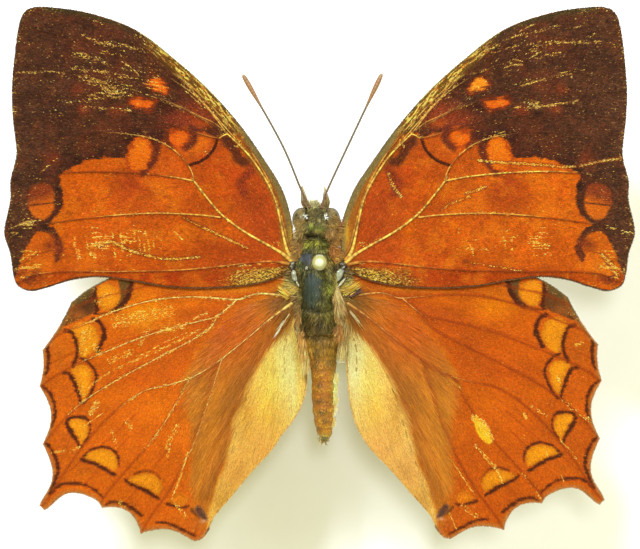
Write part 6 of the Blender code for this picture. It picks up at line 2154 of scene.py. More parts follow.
def build_body():
    rnd = np.random.default_rng(31)
    V, T = body_skin(0.085)
    V = shape_skin(V, T)
    N = mesh_normals(V, T)
    bald = bald_mask(V, N)
    col = paint_body(V, N)
    skin = col * (0.72 + 0.30 * bald)[:, None]
    skin += (rgb(58, 68, 62) - skin) * (0.70 * bald * (V[:, 1] < 1.6))[:, None]
    blue = np.exp(-((V[:, 0] / PX + 13.0) / 8.0) ** 2 - (((PIN_PX[1] - V[:, 1] / PX) - 257.5) / 9.0) ** 2)
    skin += (rgb(92, 94, 104) - skin) * (0.85 * bald * blue)[:, None]
    me = tri_mesh("body_skin", V, T, skin, np.clip(bald + 0.15, 0, 1))
    link("body_skin", me, MAT_SKIN,
         ["head", "thorax", "abdomen", "palp_left", "palp_right"])
    x, y, z = V.T
    hidden = in_eye(V, 1.0) < 0.03
    open_skin = np.where(hidden, 0.0, 1.0)
    thin = 1 - 0.96 * bald
    bend = 0.42 * np.clip(np.abs(x + 0.03), 0, 1.5) ** 2
    thorax = open_skin * thin * sst(2.25, 2.0, y) * sst(-6.45, -6.0, y - bend)
    clear_pin = np.hypot(x, y) > 0.32
    thorax = thorax * clear_pin

    def thorax_len(p, n):
        side = sst(0.6, 0.1, n[:, 2])
        rear = sst(-3.9, -5.2, p[:, 1])
        return 0.44 + 0.40 * side + 0.52 * rear

    def thorax_lift(p, n):
        return np.radians(20 + 16 * sst(0.6, 0.1, n[:, 2]))

    coat("thorax_hair", V, N, T, thorax, 30000, thorax_len, 0.046, thorax_lift, rnd, MAT_BODY_HAIR)
    head = open_skin * thin * sst(2.1, 2.35, y) * (0.7 + 0.6 * (y < 5.0))
    waist = open_skin * sst(-5.9, -6.35, y - bend) * sst(-9.4, -7.4, y)
    coat("waist_hair", V, N, T, waist, 7000,
         lambda p, n: 0.62 - 0.16 * sst(-6.5, -8.5, p[:, 1]), 0.044,
         lambda p, n: np.radians(16) * np.ones(len(p)), rnd, MAT_BODY_HAIR, tint=0.0)
    coat("head_hair", V, N, T, head, 15000,
         lambda p, n: 0.20 + 0.16 * sst(0.3, 0.9, n[:, 2]) + 0.05 * (p[:, 1] < 3.1), 0.036,
         lambda p, n: np.radians(20 + 22 * sst(3.5, 4.3, p[:, 1]) * (n[:, 2] > 0.5)), rnd, MAT_BODY_HAIR)
    rear = open_skin * sst(-6.1, -6.5, y)
    coat("abdomen_scales", V, N, T, rear, 26000,
         lambda p, n: 0.22 + 0.20 * sst(-7.8, -6.4, p[:, 1]) + 0.10 * (p[:, 1] < -15.6), 0.055,
         lambda p, n: np.radians(11 + 12 * sst(-9.0, -6.4, p[:, 1])), rnd, MAT_BODY_HAIR, flat=0.25)

    # loose tufts: where they start and point in the photo, and their make
    tufts = (
        # root px, heading in degrees from +X, spread, length mm, count, height, colours
        ((341, 288), 2, 20, 1.35, 420, 26.55, (rgb(226, 178, 62), rgb(206, 160, 70), rgb(240, 204, 110))),
        ((340, 282), 24, 16, 1.20, 260, 26.62, (rgb(150, 140, 84), rgb(176, 160, 96), rgb(120, 108, 62))),
        ((338, 297), -24, 20, 1.30, 300, 26.25, (rgb(150, 116, 60), rgb(190, 150, 80), rgb(120, 92, 50))),
        ((296, 288), 178, 20, 1.25, 420, 26.55, (rgb(216, 172, 66), rgb(196, 160, 80), rgb(232, 200, 110))),
        ((297, 283), 156, 16, 1.10, 260, 26.62, (rgb(150, 140, 84), rgb(176, 160, 96), rgb(112, 100, 58))),
        ((299, 298), 204, 20, 1.20, 300, 26.25, (rgb(146, 114, 60), rgb(184, 150, 82), rgb(116, 92, 50))),
        ((330, 231), -70, 24, 0.62, 420, 27.15, (rgb(170, 124, 66), rgb(132, 100, 54), rgb(190, 144, 84))),
        ((299, 231), 256, 24, 0.56, 420, 27.15, (rgb(166, 134, 76), rgb(130, 106, 60), rgb(186, 154, 92))),
        ((332, 222), -40, 26, 0.50, 420, 27.28, (rgb(166, 128, 62), rgb(128, 104, 52), rgb(190, 146, 80))),
        ((300, 223), 220, 26, 0.46, 420, 27.28, (rgb(166, 136, 74), rgb(126, 106, 58), rgb(184, 148, 86))),
        ((335, 224), -10, 30, 0.62, 520, 26.95, (rgb(160, 112, 62), rgb(186, 128, 72), rgb(124, 88, 50))),
        ((336, 232), -36, 30, 0.62, 520, 26.80, (rgb(176, 124, 60), rgb(150, 110, 54), rgb(196, 146, 80))),
        ((302.5, 237), 236, 22, 0.38, 360, 26.60, (rgb(150, 116, 60), rgb(116, 90, 46), rgb(178, 142, 78))),
        # painted shade: dark tufts in the neck's sides, between head and thorax
        ((303, 240), 112, 34, 0.42, 260, 26.50, (rgb(58, 48, 32), rgb(84, 70, 42), rgb(44, 36, 26))),
        ((326, 239), 70, 34, 0.42, 260, 26.50, (rgb(58, 48, 32), rgb(84, 70, 42), rgb(44, 36, 26))),
        ((334.5, 288), -77, 8, 1.50, 300, 27.00, (rgb(246, 218, 146), rgb(232, 172, 110), rgb(214, 184, 118))),
        ((338, 300), -80, 10, 1.50, 260, 26.60, (rgb(226, 180, 116), rgb(204, 150, 90), rgb(236, 204, 132))),
        ((338, 322), -84, 12, 1.40, 220, 26.20, (rgb(232, 196, 108), rgb(204, 162, 86))),
        ((301.5, 246), 214, 24, 0.52, 420, 26.55, (rgb(150, 108, 54), rgb(116, 84, 42), rgb(184, 140, 74))),
        ((337, 241), 8, 20, 0.42, 360, 26.52, (rgb(140, 98, 50), rgb(110, 80, 42), rgb(170, 120, 62))),
        ((337, 234), 4, 20, 0.36, 300, 26.60, (rgb(140, 98, 50), rgb(110, 80, 42), rgb(170, 120, 62))),
        ((345, 328), -97, 4, 1.55, 300, 26.42, (rgb(236, 204, 128), rgb(210, 172, 102), rgb(184, 146, 84))),
        ((343.5, 342), -97, 4, 1.55, 300, 26.38, (rgb(240, 210, 136), rgb(214, 178, 108), rgb(190, 152, 88))),
        ((302.5, 334), -92, 8, 1.60, 360, 26.50, (rgb(206, 144, 66), rgb(228, 176, 98), rgb(166, 118, 58))),
        ((340, 328), -104, 15, 1.40, 240, 26.72, (rgb(206, 128, 62), rgb(224, 166, 88), rgb(150, 112, 56))),
        ((318, 336), -90, 26, 0.80, 300, 27.15, (rgb(120, 94, 50), rgb(150, 112, 56), rgb(84, 68, 40))),
        ((306.5, 226), 196, 30, 0.40, 240, 27.22, (rgb(136, 122, 66), rgb(164, 142, 86), rgb(98, 90, 50))),
        ((324.5, 226), -16, 30, 0.40, 240, 27.22, (rgb(136, 122, 66), rgb(164, 132, 76), rgb(98, 90, 50))),
        ((304.5, 347), -90, 4, 1.50, 260, 26.30, (rgb(232, 176, 92), rgb(214, 150, 70), rgb(246, 202, 122))),
        ((306, 358), -92, 4, 1.50, 200, 26.22, (rgb(238, 186, 98), rgb(216, 154, 74), rgb(250, 212, 132))),
        ((331, 239), -24, 26, 0.66, 420, 26.65, (rgb(150, 108, 54), rgb(116, 84, 42), rgb(170, 118, 60))),
        ((342, 273), -4, 18, 0.95, 420, 26.72, (rgb(120, 92, 46), rgb(176, 146, 76), rgb(92, 68, 38))),
        ((296, 273), 184, 18, 0.95, 420, 26.72, (rgb(120, 92, 46), rgb(176, 146, 76), rgb(92, 68, 38))),
        ((335, 256), -22, 22, 0.62, 380, 26.90, (rgb(190, 124, 50), rgb(216, 160, 76), rgb(150, 110, 56))),
        ((295, 256), 202, 22, 0.62, 380, 26.90, (rgb(184, 126, 56), rgb(210, 164, 80), rgb(146, 112, 58))),
        ((334, 241), -46, 24, 0.60, 320, 26.75, (rgb(170, 110, 50), rgb(196, 146, 68), rgb(136, 100, 50))),
        ((296, 241), 226, 24, 0.60, 320, 26.75, (rgb(170, 120, 58), rgb(192, 150, 74), rgb(136, 104, 54))),
        ((332, 249), -50, 24, 0.70, 240, 27.05, (rgb(176, 106, 46), rgb(196, 130, 58), rgb(140, 92, 46))),
        ((298, 249), 230, 24, 0.70, 240, 27.05, (rgb(166, 120, 56), rgb(192, 144, 68), rgb(130, 98, 50))),
        ((336, 303), -62, 16, 1.15, 220, 26.30, (rgb(214, 190, 120), rgb(190, 164, 96))),
        ((301, 305), 244, 16, 1.10, 220, 26.20, (rgb(176, 140, 74), rgb(150, 112, 58))),
        ((338, 310), -78, 16, 1.5, 420, 26.1, (rgb(196, 160, 92), rgb(176, 124, 66))),
        ((301, 312), 262, 16, 1.5, 420, 26.1, (rgb(196, 156, 84), rgb(168, 120, 60))),
        ((311, 207), 92, 26, 0.55, 220, 26.70, (rgb(220, 206, 150), rgb(196, 184, 130), rgb(150, 140, 90))),
        ((316, 207), 80, 26, 0.50, 200, 26.70, (rgb(206, 190, 134), rgb(150, 142, 90))),
        ((323, 438), -92, 26, 0.42, 260, 25.1, (rgb(226, 206, 146), rgb(190, 150, 84), rgb(96, 80, 54))),
        ((333.5, 377), -84, 6, 0.75, 260, 26.00, (rgb(310, 262, 158), rgb(296, 236, 128))),
        ((333.8, 387), -88, 6, 0.75, 260, 25.92, (rgb(310, 262, 158), rgb(296, 236, 128))),
        ((333.6, 397), -92, 6, 0.75, 240, 25.84, (rgb(310, 262, 158), rgb(286, 226, 120))),
        ((333.4, 408), -94, 5, 0.70, 130, 25.72, (rgb(300, 250, 160), rgb(250, 186, 100))),
        ((332.8, 419), -96, 5, 0.70, 110, 25.62, (rgb(300, 250, 160), rgb(250, 186, 100))),
    )
    # fans of broad scales over the hind wing roots; pale streaks of painted glint near them; two white painted
    # highlights at the eyes; and a dark fan that is a painted shadow under the right golden fan
    fans = (
        ((346, 293), 34, 6, 1.30, 80, 26.82, (rgb(250, 202, 78), rgb(280, 232, 120), rgb(226, 170, 62))),
        ((289, 296), 141, 5, 1.20, 44, 26.82, (rgb(240, 188, 66), rgb(262, 210, 100), rgb(206, 150, 52))),
        # painted glints: pale streaks of bright blades on the hind wing roots
        ((289.5, 314), 236, 3, 1.34, 7, 26.86, (rgb(270, 220, 150), rgb(226, 166, 92))),
        ((284.5, 321), 236, 3, 1.34, 10, 26.86, (rgb(290, 262, 196), rgb(250, 206, 134))),
        ((280.5, 328), 236, 3, 1.34, 12, 26.86, (rgb(300, 286, 230), rgb(270, 236, 170))),
        ((350, 311), -52, 3, 1.34, 9, 26.84, (rgb(286, 252, 196), rgb(236, 190, 124))),
        ((355, 318), -53, 3, 1.34, 7, 26.84, (rgb(286, 246, 180), rgb(236, 180, 104))),
        # painted highlights: white spots at the eyes' inner rims
        ((305.2, 215.9), 196, 18, 0.16, 15, 27.36, (rgb(300, 300, 286), rgb(270, 266, 236))),
        ((325.3, 216.7), -16, 18, 0.18, 16, 27.36, (rgb(300, 300, 286), rgb(270, 266, 236))),
        # painted shadow: a dark fan under the right golden fan
        ((349, 296), 27, 4, 1.25, 44, 26.68, (rgb(96, 62, 60), rgb(72, 48, 44), rgb(120, 84, 76))),
    )
    P0, D0, N0, L0, W0, U0, C0 = [], [], [], [], [], [], []
    for k, ((cx, cy), head_deg, spread, length, count, high, tones) in enumerate(tufts + fans):
        c = P((cx, cy))[0]
        a = np.radians(rnd.normal(head_deg, spread, count))
        off = rnd.normal(0, 0.20 if k < len(tufts) else 0.11 if length < 1.31 else 0.05, (count, 2)) * np.array([0.8, 1.0])
        P0.append(np.stack([c[0] + off[:, 0], c[1] + off[:, 1], high + rnd.normal(-0.05, 0.09, count)], 1))
        d = np.stack([np.cos(a), np.sin(a), rnd.normal(0.0, 0.10, count)], 1)
        D0.append(d / np.linalg.norm(d, axis=1)[:, None])
        N0.append(np.tile([0, 0, 1.0], (count, 1)))
        L0.append(length * rnd.uniform(0.55, 1.15, count))
        W0.append(rnd.uniform(0.026, 0.050, count) * (1.0 if k < len(tufts) else 3.2 if length < 1.31 else 1.1))
        U0.append(np.radians(rnd.normal(10, 7, count)))
        C0.append(np.array(tones)[rnd.integers(0, len(tones), count)] * rnd.uniform(0.7, 1.15, count)[:, None])
    P0, D0, N0 = np.vstack(P0), np.vstack(D0), np.vstack(N0)
    across = np.cross(N0, D0)
    across /= np.linalg.norm(across, axis=1)[:, None]
    roll = rnd.normal(0, 0.5, len(P0))
    across = across * np.cos(roll)[:, None] + N0 * np.sin(roll)[:, None]
    C0 = np.vstack(C0) * np.array([1.14, 1.14, 1.08])
    up = np.concatenate(U0)
    blades("root_tufts", P0, D0, across, N0, np.concatenate(L0), np.concatenate(W0), up, -up * 1.3,
           np.clip(C0 * 0.85, 0, 1.2), np.clip(C0 * 1.1, 0, 1.2), body_uv(P0), MAT_BODY_HAIR,
           extra=rnd.random(len(P0)) * 0.6, rows=3, tip_width=0.0)

    # tegulae and the pale plates at the wing joints
    plates = (
        ((294.2, 275.6), (0.30, 0.62, 0.16), math.radians(12), 26.98, rgb(176, 176, 142), 1.0),
        ((338.4, 275.8), (0.42, 0.84, 0.16), math.radians(-34), 26.98, rgb(178, 182, 146), 1.0),
        ((292.4, 265.2), (0.28, 0.40, 0.18), math.radians(-10), 26.98, rgb(78, 68, 52), 0.8),
        ((342.8, 265.4), (0.32, 0.38, 0.18), math.radians(12), 26.98, rgb(78, 68, 52), 0.8),
        ((341.6, 282.6), (0.14, 0.70, 0.10), math.radians(-42), 26.92, rgb(206, 200, 156), 1.0),
        ((297.4, 283.4), (0.11, 0.44, 0.10), math.radians(28), 26.92, rgb(206, 200, 156), 1.0),
        ((306.7, 268.0), (0.15, 0.20, 0.10), 0.0, 27.94, rgb(186, 182, 150), 1.0),
    )
    for k, ((cx, cy), radii, turn, high, tone, gl) in enumerate(plates):
        c = P((cx, cy))[0]
        v, f = oval((0, 0, 0), radii, 32, 20)
        q = v / np.array(radii)
        edge = sst(0.62, 0.98, np.hypot(q[:, 0], q[:, 1]) + 0.5 * (noise(q[:, 0] + k, q[:, 1], 0.5, 457) - 0.5))
        v[:, 2] += 0.04 * np.sin(q[:, 1] * 5.0) * (1 - edge)
        cc, ss = math.cos(turn), math.sin(turn)
        v = v @ np.array([[cc, ss, 0], [-ss, cc, 0], [0, 0, 1]]) + np.array([c[0], c[1], high])
        tonev = tone * (0.86 + 0.25 * noise(v[:, 0], v[:, 1], 0.16, 451 + k))[:, None]
        tonev += (rgb(58, 48, 36) - tonev) * edge[:, None]
        if tone.mean() < 0.35:
            flecks = sst(0.58, 0.68, noise(v[:, 0], v[:, 1], 0.10, 475 + k))
            tonev += (rgb(176, 172, 140) - tonev) * (0.85 * flecks * (1 - 0.6 * edge))[:, None]
        me = poly_mesh("joint_plate", v, f, np.clip(tonev, 0, 1), gl)
        link("joint_plate_%d" % (k + 1), me, MAT_HORN)

    # eyes
    for side, word in ((1, "right"), (-1, "left")):
        c = np.array([HEAD_X + side * EYE_OFFSET[0], EYE_OFFSET[1], EYE_OFFSET[2]])
        v, f = oval((0, 0, 0), np.array(EYE_RADII) * 0.985, 96, 64)
        q = v / np.array(EYE_RADII)
        blot = fbm(q[:, 0] * 2 + 5 * side, q[:, 1] * 2 + q[:, 2], 0.7, 461)
        tone = rgb(148, 130, 80) * (0.68 + 0.54 * blot)[:, None]
        tone += (rgb(176, 122, 62) - tone) * (0.65 * sst(0.15, -0.35, q[:, 1]) * (0.6 + 0.6 * blot))[:, None]
        # painted shade: the eye darker below its top, where it turns from the light above
        tone += (rgb(60, 52, 34) - tone) * (0.75 * sst(0.60, 0.30, q[:, 2] + 0.10 * blot))[:, None]
        band = np.exp(-((q[:, 2] - 0.15) / 0.30) ** 2)
        tone += (rgb(96, 76, 44) - tone) * (0.45 * band)[:, None]
        for az, el, rr in ((0.5, 0.9, 0.22), (1.2, 0.5, 0.20), (-0.2, 0.45, 0.20), (0.6, 0.2, 0.24),
                           (1.9, 0.75, 0.18), (0.1, 1.25, 0.16), (2.3, 0.2, 0.2), (-0.9, 0.1, 0.2)):
            sp = np.array([math.cos(az) * math.cos(el) * side, math.sin(az) * math.cos(el), math.sin(el)])
            tone += (rgb(46, 36, 24) - tone) * (0.6 * np.exp(-((q - sp) ** 2).sum(1) / rr ** 2 * 1.6))[:, None]
        tone += (rgb(158, 136, 80) - tone) * (0.16 * sst(0.55, 0.95, q[:, 2] * 0.4 + q[:, 1] * 0.6))[:, None]
        me = poly_mesh("eye", v + c, f, np.clip(tone, 0, 1), 1.0)
        link("eye_ball_" + word, me, MAT_EYE, ["eye_" + word])
        # a rim of pale scales round the eye
        n = 900
        t = rnd.uniform(0, 2 * np.pi, n)
        lidx = EYE_LID + rnd.normal(0.0, 0.03, n) - EYE_OFFSET[0]
        rr = np.sqrt(np.maximum(1 - (lidx / EYE_RADII[0]) ** 2, 0.02))
        p = c + np.stack([side * lidx, rr * EYE_RADII[1] * np.cos(t), rr * EYE_RADII[2] * np.sin(t)], 1)
        nr = np.stack([side * lidx / EYE_RADII[0] ** 2, rr * np.cos(t) / EYE_RADII[1],
                       rr * np.sin(t) / EYE_RADII[2]], 1)
        nr /= np.linalg.norm(nr, axis=1)[:, None]
        d = np.cross(nr, np.array([side * 1.0, 0, 0]))
        d = d / np.linalg.norm(d, axis=1)[:, None] * 0.7 + np.array([side * 0.7, -0.2, 0])
        d -= nr * (d * nr).sum(1)[:, None]
        d /= np.linalg.norm(d, axis=1)[:, None]
        tone = rgb(112, 98, 58) * rnd.uniform(0.6, 1.25, n)[:, None]
        # painted highlight: a line of the rim's scales at the eye's top is near-white
        lit = (np.abs(p[:, 1] - (4.25 if side > 0 else 4.30)) < 0.13) & (p[:, 2] > 26.6)
        tone[lit] = rgb(244, 242, 230) * rnd.uniform(0.8, 1.0, lit.sum())[:, None]
        blades("eye_rim_" + word, p + nr * 0.03, d, np.cross(nr, d), nr, rnd.uniform(0.12, 0.24, n),
               rnd.uniform(0.035, 0.06, n), np.radians(rnd.uniform(6, 22, n)), np.zeros(n),
               np.clip(tone * 0.9, 0, 1), np.clip(tone, 0, 1), body_uv(p), MAT_BODY_HAIR,
               extra=rnd.random(n), rows=2, tip_width=0.5)

    # feelers: ringed shaft, longer club
    for word, points in ANTENNA.items():
        pts = resample(spline(points, 12), 0.045)
        t = np.linspace(0, 1, len(pts))
        club = np.clip((t - 0.70) / 0.30, 0, 1)
        rad = 0.100 + 0.012 * (t < 0.03) + 0.135 * np.sin(
            np.pi * np.clip(club ** 1.4 * 0.80, 0, 1)) ** 1.5
        rad *= np.where(t > 0.985, np.sqrt(np.clip((1 - t) / 0.015, 0.02, 1)), 1.0)
        s = t * 14.5
        ringed = 1 + (0.085 - 0.06 * (t > 0.74)) * np.cos(2 * np.pi * s / 0.36)
        rad = rad * ringed
        sides = 14
        v, q, ts, _ = sweep([(pts, rad)], sides)
        flat, sizes = caps([(pts, rad)], sides)
        faces = [tuple(f) for f in q] + [tuple(flat[:sides]), tuple(flat[sides:])]
        shade = sst(0.70, 0.84, ts)[:, None]
        tone = rgb(128, 112, 82) * (1 - shade) + rgb(170, 124, 80) * shade
        tone = tone + (rgb(178, 150, 110) - tone) * sst(0.965, 0.995, ts)[:, None]
        tone = tone + (rgb(136, 94, 58) - tone) * sst(0.22, 0.04, ts)[:, None]
        dark = 0.86 + 0.14 * sst(-0.4, 0.6, np.cos(2 * np.pi * ts * 14.5 / 0.36)) + 0.1 * (ts > 0.74)
        tone = tone * dark[:, None]
        me = poly_mesh("antenna", v, faces, np.clip(tone, 0, 1), 0.25)
        link("antenna_fine_" + word, me, MAT_HORN, ["antenna_" + word])
        base = np.array(points[0])
        v, f = oval(base + np.array([0, 0.02, -0.02]), (0.16, 0.17, 0.15), 20, 12)
        me = poly_mesh("antenna_base", v, f, np.tile(rgb(128, 92, 58), (len(v), 1)), 0.3)
        link("antenna_base_" + word, me, MAT_HORN)

    # the coiled tongue between the palps
    a = np.linspace(0, 2 * np.pi * 2.6, 150)
    rr = 0.62 - 0.46 * a / a[-1]
    pts = np.stack([np.full(len(a), -0.29) + 0.012 * np.sin(a), 4.62 + rr * np.cos(a + 1.7),
                    24.25 + rr * np.sin(a + 1.7)], 1)
    rad = 0.085 - 0.05 * a / a[-1]
    v, q, ts, _ = sweep([(pts, rad)], 10)
    flat, sizes = caps([(pts, rad)], 10)
    faces = [tuple(f) for f in q] + [tuple(flat[:10]), tuple(flat[10:])]
    tone = rgb(104, 62, 34) * (0.8 + 0.25 * np.sin(ts * 420))[:, None]
    me = poly_mesh("tongue", v, faces, np.clip(tone, 0, 1), 0.5)
    link("tongue_coil", me, MAT_HORN)

    # legs: thigh, shin and jointed foot with spines
    for kind, joints in LEG.items():
        line = spline(joints, 9)
        for side, word in ((1, "right"), (-1, "left")):
            pts = line * np.array([side, 1, 1]) + np.array([-0.03, 0, 0])
            pts = resample(pts, 0.05)
            seg = np.linalg.norm(np.diff(pts, axis=0), axis=1)
            s = np.concatenate([[0], np.cumsum(seg)]) / seg.sum()
            thigh, shin = (0.34, 0.66) if kind != "foreleg" else (0.48, 0.80)
            rad = np.where(s < thigh, 0.15 + 0.075 * np.sin(np.pi * np.clip(s / thigh, 0, 1)) ** 0.7,
                           np.where(s < shin, 0.125 + 0.035 * np.sin(np.pi * (s - thigh) / (shin - thigh)),
                                    0.098))
            foot = (s - shin) / (1 - shin)
            rad = np.where(s >= shin, rad + 0.022 * np.cos(np.clip(foot, 0, 1) * 2 * np.pi * 5), rad)
            rad *= np.where(s > 0.99, 0.6, 1.0)
            for joint in (thigh, shin):
                rad *= 1 - 0.25 * np.exp(-((s - joint) / 0.012) ** 2)
            v, q, ts, _ = sweep([(pts, rad)], 14)
            flat, sizes = caps([(pts, rad)], 14)
            faces = [tuple(f) for f in q] + [tuple(flat[:14]), tuple(flat[14:])]
            tone = rgb(150, 118, 72) * (0.85 + 0.3 * noise(v[:, 1] * 3, v[:, 0] * 3 + v[:, 2], 0.2, 471))[:, None]
            tone += (rgb(108, 76, 44) - tone) * sst(shin - 0.02, shin + 0.02, ts)[:, None]
            me = poly_mesh("leg", v, faces, np.clip(tone, 0, 1), 0.2)
            link(kind + "_fine_" + word, me, MAT_HORN, [kind + "_" + word])
            # scales and spines along it
            n = 1500
            k = rnd.integers(2, len(pts) - 2, n)
            tan = pts[k + 1] - pts[k - 1]
            tan /= np.linalg.norm(tan, axis=1)[:, None]
            nr = rnd.normal(0, 1, (n, 3))
            nr -= tan * (nr * tan).sum(1)[:, None]
            nr /= np.linalg.norm(nr, axis=1)[:, None]
            spine = rnd.random(n) < 0.16
            ln = np.where(spine, rnd.uniform(0.16, 0.26, n), rnd.uniform(0.12, 0.20, n))
            up = np.radians(np.where(spine, rnd.uniform(25, 45, n), rnd.uniform(4, 12, n)))
            tone = np.where(spine[:, None], rgb(70, 50, 32), rgb(176, 146, 96)) * rnd.uniform(0.7, 1.2, n)[:, None]
            root = pts[k] + nr * (rad[k] * 0.96)[:, None]
            blades(kind + "_scales_" + word, root, tan, np.cross(nr, tan), nr, ln,
                   np.where(spine, 0.028, 0.06), up, np.zeros(n), np.clip(tone, 0, 1),
                   np.clip(tone * 1.1, 0, 1), body_uv(root), MAT_BODY_HAIR,
                   extra=np.zeros(n), rows=3, tip_width=0.0)


build_body()


# ------------------------------------------------------------------- the stand
def build_stand():
    # block: soft-edged, lacquered all over
    half_x, half_y, corner, edge, top = 17.0, 6.0, 5.0, 0.45, 5.0
    cy = -3.5
    ang = np.linspace(0, np.pi / 2, 25)
    outline = []
    for qx, qy, a0 in ((1, 1, 0), (-1, 1, 1), (-1, -1, 2), (1, -1, 3)):
        a = ang + a0 * np.pi / 2
        outline.append(np.stack([qx * (half_x - corner) + corner * np.cos(a),
                                 cy + qy * (half_y - corner) + corner * np.sin(a),
                                 np.cos(a), np.sin(a)], 1))
    outline = np.vstack(outline)
    n = len(outline)
    rows = [(0.0, 0.25), (0.0, 0.12), (0.10, 0.0)]
    rows = [(0.20, 0.0), (0.06, 0.04), (0.0, 0.20)]
    t = np.linspace(0, np.pi / 2, 9)
    rows += [(edge * (1 - math.cos(a)), top - edge + edge * math.sin(a)) for a in t]
    rows += [(edge + 0.9, top), (edge + 2.4, top), (edge + 4.2, top)]
    V = np.vstack([np.stack([outline[:, 0] - outline[:, 2] * d, outline[:, 1] - outline[:, 3] * d,
                             np.full(n, z)], 1) for d, z in rows])
    faces = []
    for i in range(len(rows) - 1):
        for j in range(n):
            faces.append((i * n + j, i * n + (j + 1) % n, (i + 1) * n + (j + 1) % n, (i + 1) * n + j))
    faces.append(tuple(range(n))[::-1])
    faces.append(tuple((len(rows) - 1) * n + np.arange(n)))
    flat = [int(i) for f in faces for i in f]
    me = new_mesh("stand_block", V, flat, [len(f) for f in faces], True)
    mat, nt, sh = tree("block_lacquer")
    co = nt.nodes.new("ShaderNodeTexCoord").outputs["Object"]
    nn = noise_node(nt, 900.0, 4.0, co)
    nt.links.new(ramp(nt, nn.outputs["Fac"], [(0.3, (0.80, 0.79, 0.75)), (0.7, (0.87, 0.865, 0.83))]),
                 sh.inputs["Base Color"])
    nt.links.new(map_range(nt, nn.outputs["Fac"], 0.3, 0.7, 0.38, 0.50), sh.inputs["Roughness"])
    bump(nt, sh, nn.outputs["Fac"], 0.15, 0.00004)
    link("stand_block", me, mat, ["stand_base"])

    # pin: straight steel wire with a fine point
    z = np.concatenate([np.linspace(1.2, 2.8, 14), np.linspace(3.2, 39.2, 60)])
    rad = np.where(z < 2.8, 0.03 + 0.23 * np.clip((z - 1.2) / 1.6, 0, 1) ** 0.8, 0.26)
    pts = np.stack([0 * z, 0 * z, z], 1)
    ang = np.arange(24) / 24 * 2 * np.pi
    V = (pts[:, None] + rad[:, None, None] * np.stack([np.cos(ang), np.sin(ang), 0 * ang], 1)[None]).reshape(-1, 3)
    faces = []
    for i in range(len(z) - 1):
        for j in range(24):
            faces.append((i * 24 + j, i * 24 + (j + 1) % 24, (i + 1) * 24 + (j + 1) % 24, (i + 1) * 24 + j))
    faces.append(tuple(range(24))[::-1])
    faces.append(tuple((len(z) - 1) * 24 + np.arange(24)))
    me = new_mesh("pin_shaft", V, [int(i) for f in faces for i in f], [len(f) for f in faces], True)
    mat, nt, sh = tree("pin_steel")
    co = nt.nodes.new("ShaderNodeTexCoord").outputs["Object"]
    nn = noise_node(nt, 2500.0, 4.0, co)
    nt.links.new(ramp(nt, nn.outputs["Fac"], [(0.3, (0.50, 0.46, 0.36)), (0.7, (0.70, 0.66, 0.56))]),
                 sh.inputs["Base Color"])
    nt.links.new(map_range(nt, nn.outputs["Fac"], 0.3, 0.7, 0.22, 0.38), sh.inputs["Roughness"])
    sh.inputs["Metallic"].default_value = 1.0
    bump(nt, sh, nn.outputs["Fac"], 0.1, 0.00002)
    link("pin_shaft", me, mat, ["stand_pin"])

    v, f = oval((0, 0, 39.55), (0.70, 0.70, 0.68), 64, 40)
    me = new_mesh("pin_knob", v, [int(i) for g in f for i in g], [len(g) for g in f], True)
    mat, nt, sh = tree("pin_enamel")
    co = nt.nodes.new("ShaderNodeTexCoord").outputs["Object"]
    nn = noise_node(nt, 1800.0, 4.0, co)
    # painted highlight: the enamel knob turns paler towards its top
    axes = nt.nodes.new("ShaderNodeSeparateXYZ")
    nt.links.new(co, axes.inputs[0])
    up = map_range(nt, axes.outputs["Z"], 0.03955, 0.04023, 0.0, 1.0)
    wob = nt.nodes.new("ShaderNodeMath")
    wob.operation = "MULTIPLY_ADD"
    wob.inputs[1].default_value = 0.22
    nt.links.new(nn.outputs["Fac"], wob.inputs[0])
    nt.links.new(up, wob.inputs[2])
    nt.links.new(ramp(nt, wob.outputs[0], [(0.25, (0.13, 0.11, 0.03)), (0.66, (0.25, 0.24, 0.07)),
                                           (0.88, (0.32, 0.31, 0.10)), (0.97, (0.38, 0.37, 0.15)),
                                           (1.0, (0.50, 0.49, 0.32))]),
                 sh.inputs["Base Color"])
    nt.links.new(map_range(nt, nn.outputs["Fac"], 0.3, 0.7, 0.10, 0.20), sh.inputs["Roughness"])
    sh.inputs["Coat Weight"].default_value = 0.5
    sh.inputs["Coat Roughness"].default_value = 0.16
    bump(nt, sh, nn.outputs["Fac"], 0.12, 0.00003)
    link("pin_knob", me, mat, ["stand_pin_head"])


build_stand()


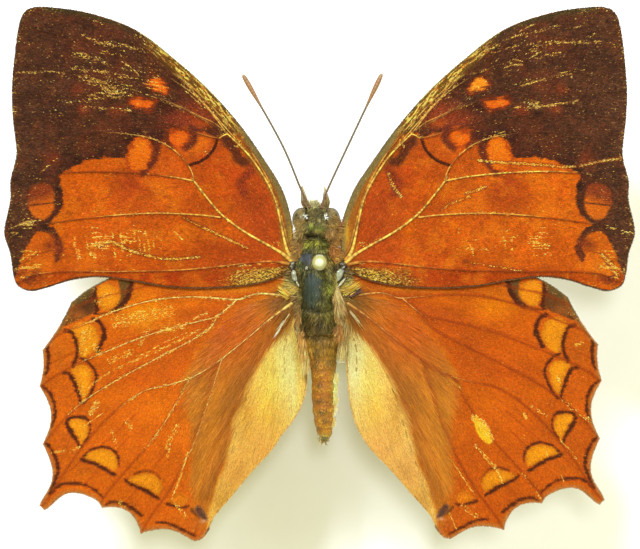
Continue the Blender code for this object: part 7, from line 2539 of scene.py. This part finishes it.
# ------------------------------------------------------------ stage and camera
def studio():
    scene = bpy.context.scene
    me = bpy.data.meshes.new("floor")
    bm = bmesh.new()
    bmesh.ops.create_grid(bm, x_segments=1, y_segments=1, size=1.2)
    bm.to_mesh(me)
    bm.free()
    floor = bpy.data.objects.new("floor", me)
    scene.collection.objects.link(floor)
    mat, nt, sh = tree("floor_paper")
    co = nt.nodes.new("ShaderNodeTexCoord").outputs["Object"]
    n = noise_node(nt, 300.0, 3.0, co)
    nt.links.new(ramp(nt, n.outputs["Fac"], [(0.3, (0.93, 0.94, 0.91)), (0.7, (0.95, 0.955, 0.93))]),
                 sh.inputs["Base Color"])
    sh.inputs["Roughness"].default_value = 0.9
    sh.inputs["Specular IOR Level"].default_value = 0.1
    me.materials.append(mat)

    def area(name, loc, target, size, power, colour=(1, 1, 1)):
        lamp = bpy.data.lights.new(name, "AREA")
        lamp.shape = "DISK"
        lamp.size = size
        lamp.energy = power
        lamp.color = colour
        ob = bpy.data.objects.new(name, lamp)
        scene.collection.objects.link(ob)
        ob.location = loc
        ob.rotation_euler = (Vector(target) - Vector(loc)).to_track_quat("-Z", "Y").to_euler()
        return ob

    area("key", (-0.10, 0.26, 0.52), (0, 0, 0.02), 0.13, 4.2, (0.81, 0.845, 1.0))
    area("fill", (0.34, 0.16, 0.50), (0, 0, 0.02), 0.30, 1.35, (0.81, 0.845, 1.0))
    area("lens_side", (0.012, 0.03, 0.56), (0, 0, 0.02), 0.05, 0.9, (0.95, 0.97, 1.0))
    world = bpy.data.worlds.new("studio")
    world.use_nodes = True
    bg = world.node_tree.nodes["Background"]
    bg.inputs[0].default_value = (1.0, 0.985, 0.47, 1)
    bg.inputs[1].default_value = 0.64
    scene.world = world

    cam = bpy.data.cameras.new("camera")
    ob = bpy.data.objects.new("camera", cam)
    scene.collection.objects.link(ob)
    high = 350.0
    ob.location = (0.045 * MM, -1.035 * MM, (WING_Z + high) * MM)
    ob.rotation_euler = (0, 0, 0)
    cam.sensor_width = 36.0
    cam.lens = 36.0 * high / 57.6
    cam.clip_start = 0.02
    cam.clip_end = 10.0
    scene.camera = ob
    scene.view_settings.view_transform = "Standard"
    scene.view_settings.look = "None"
    scene.view_settings.exposure = 0.0
    scene.view_settings.gamma = 1.0


studio()
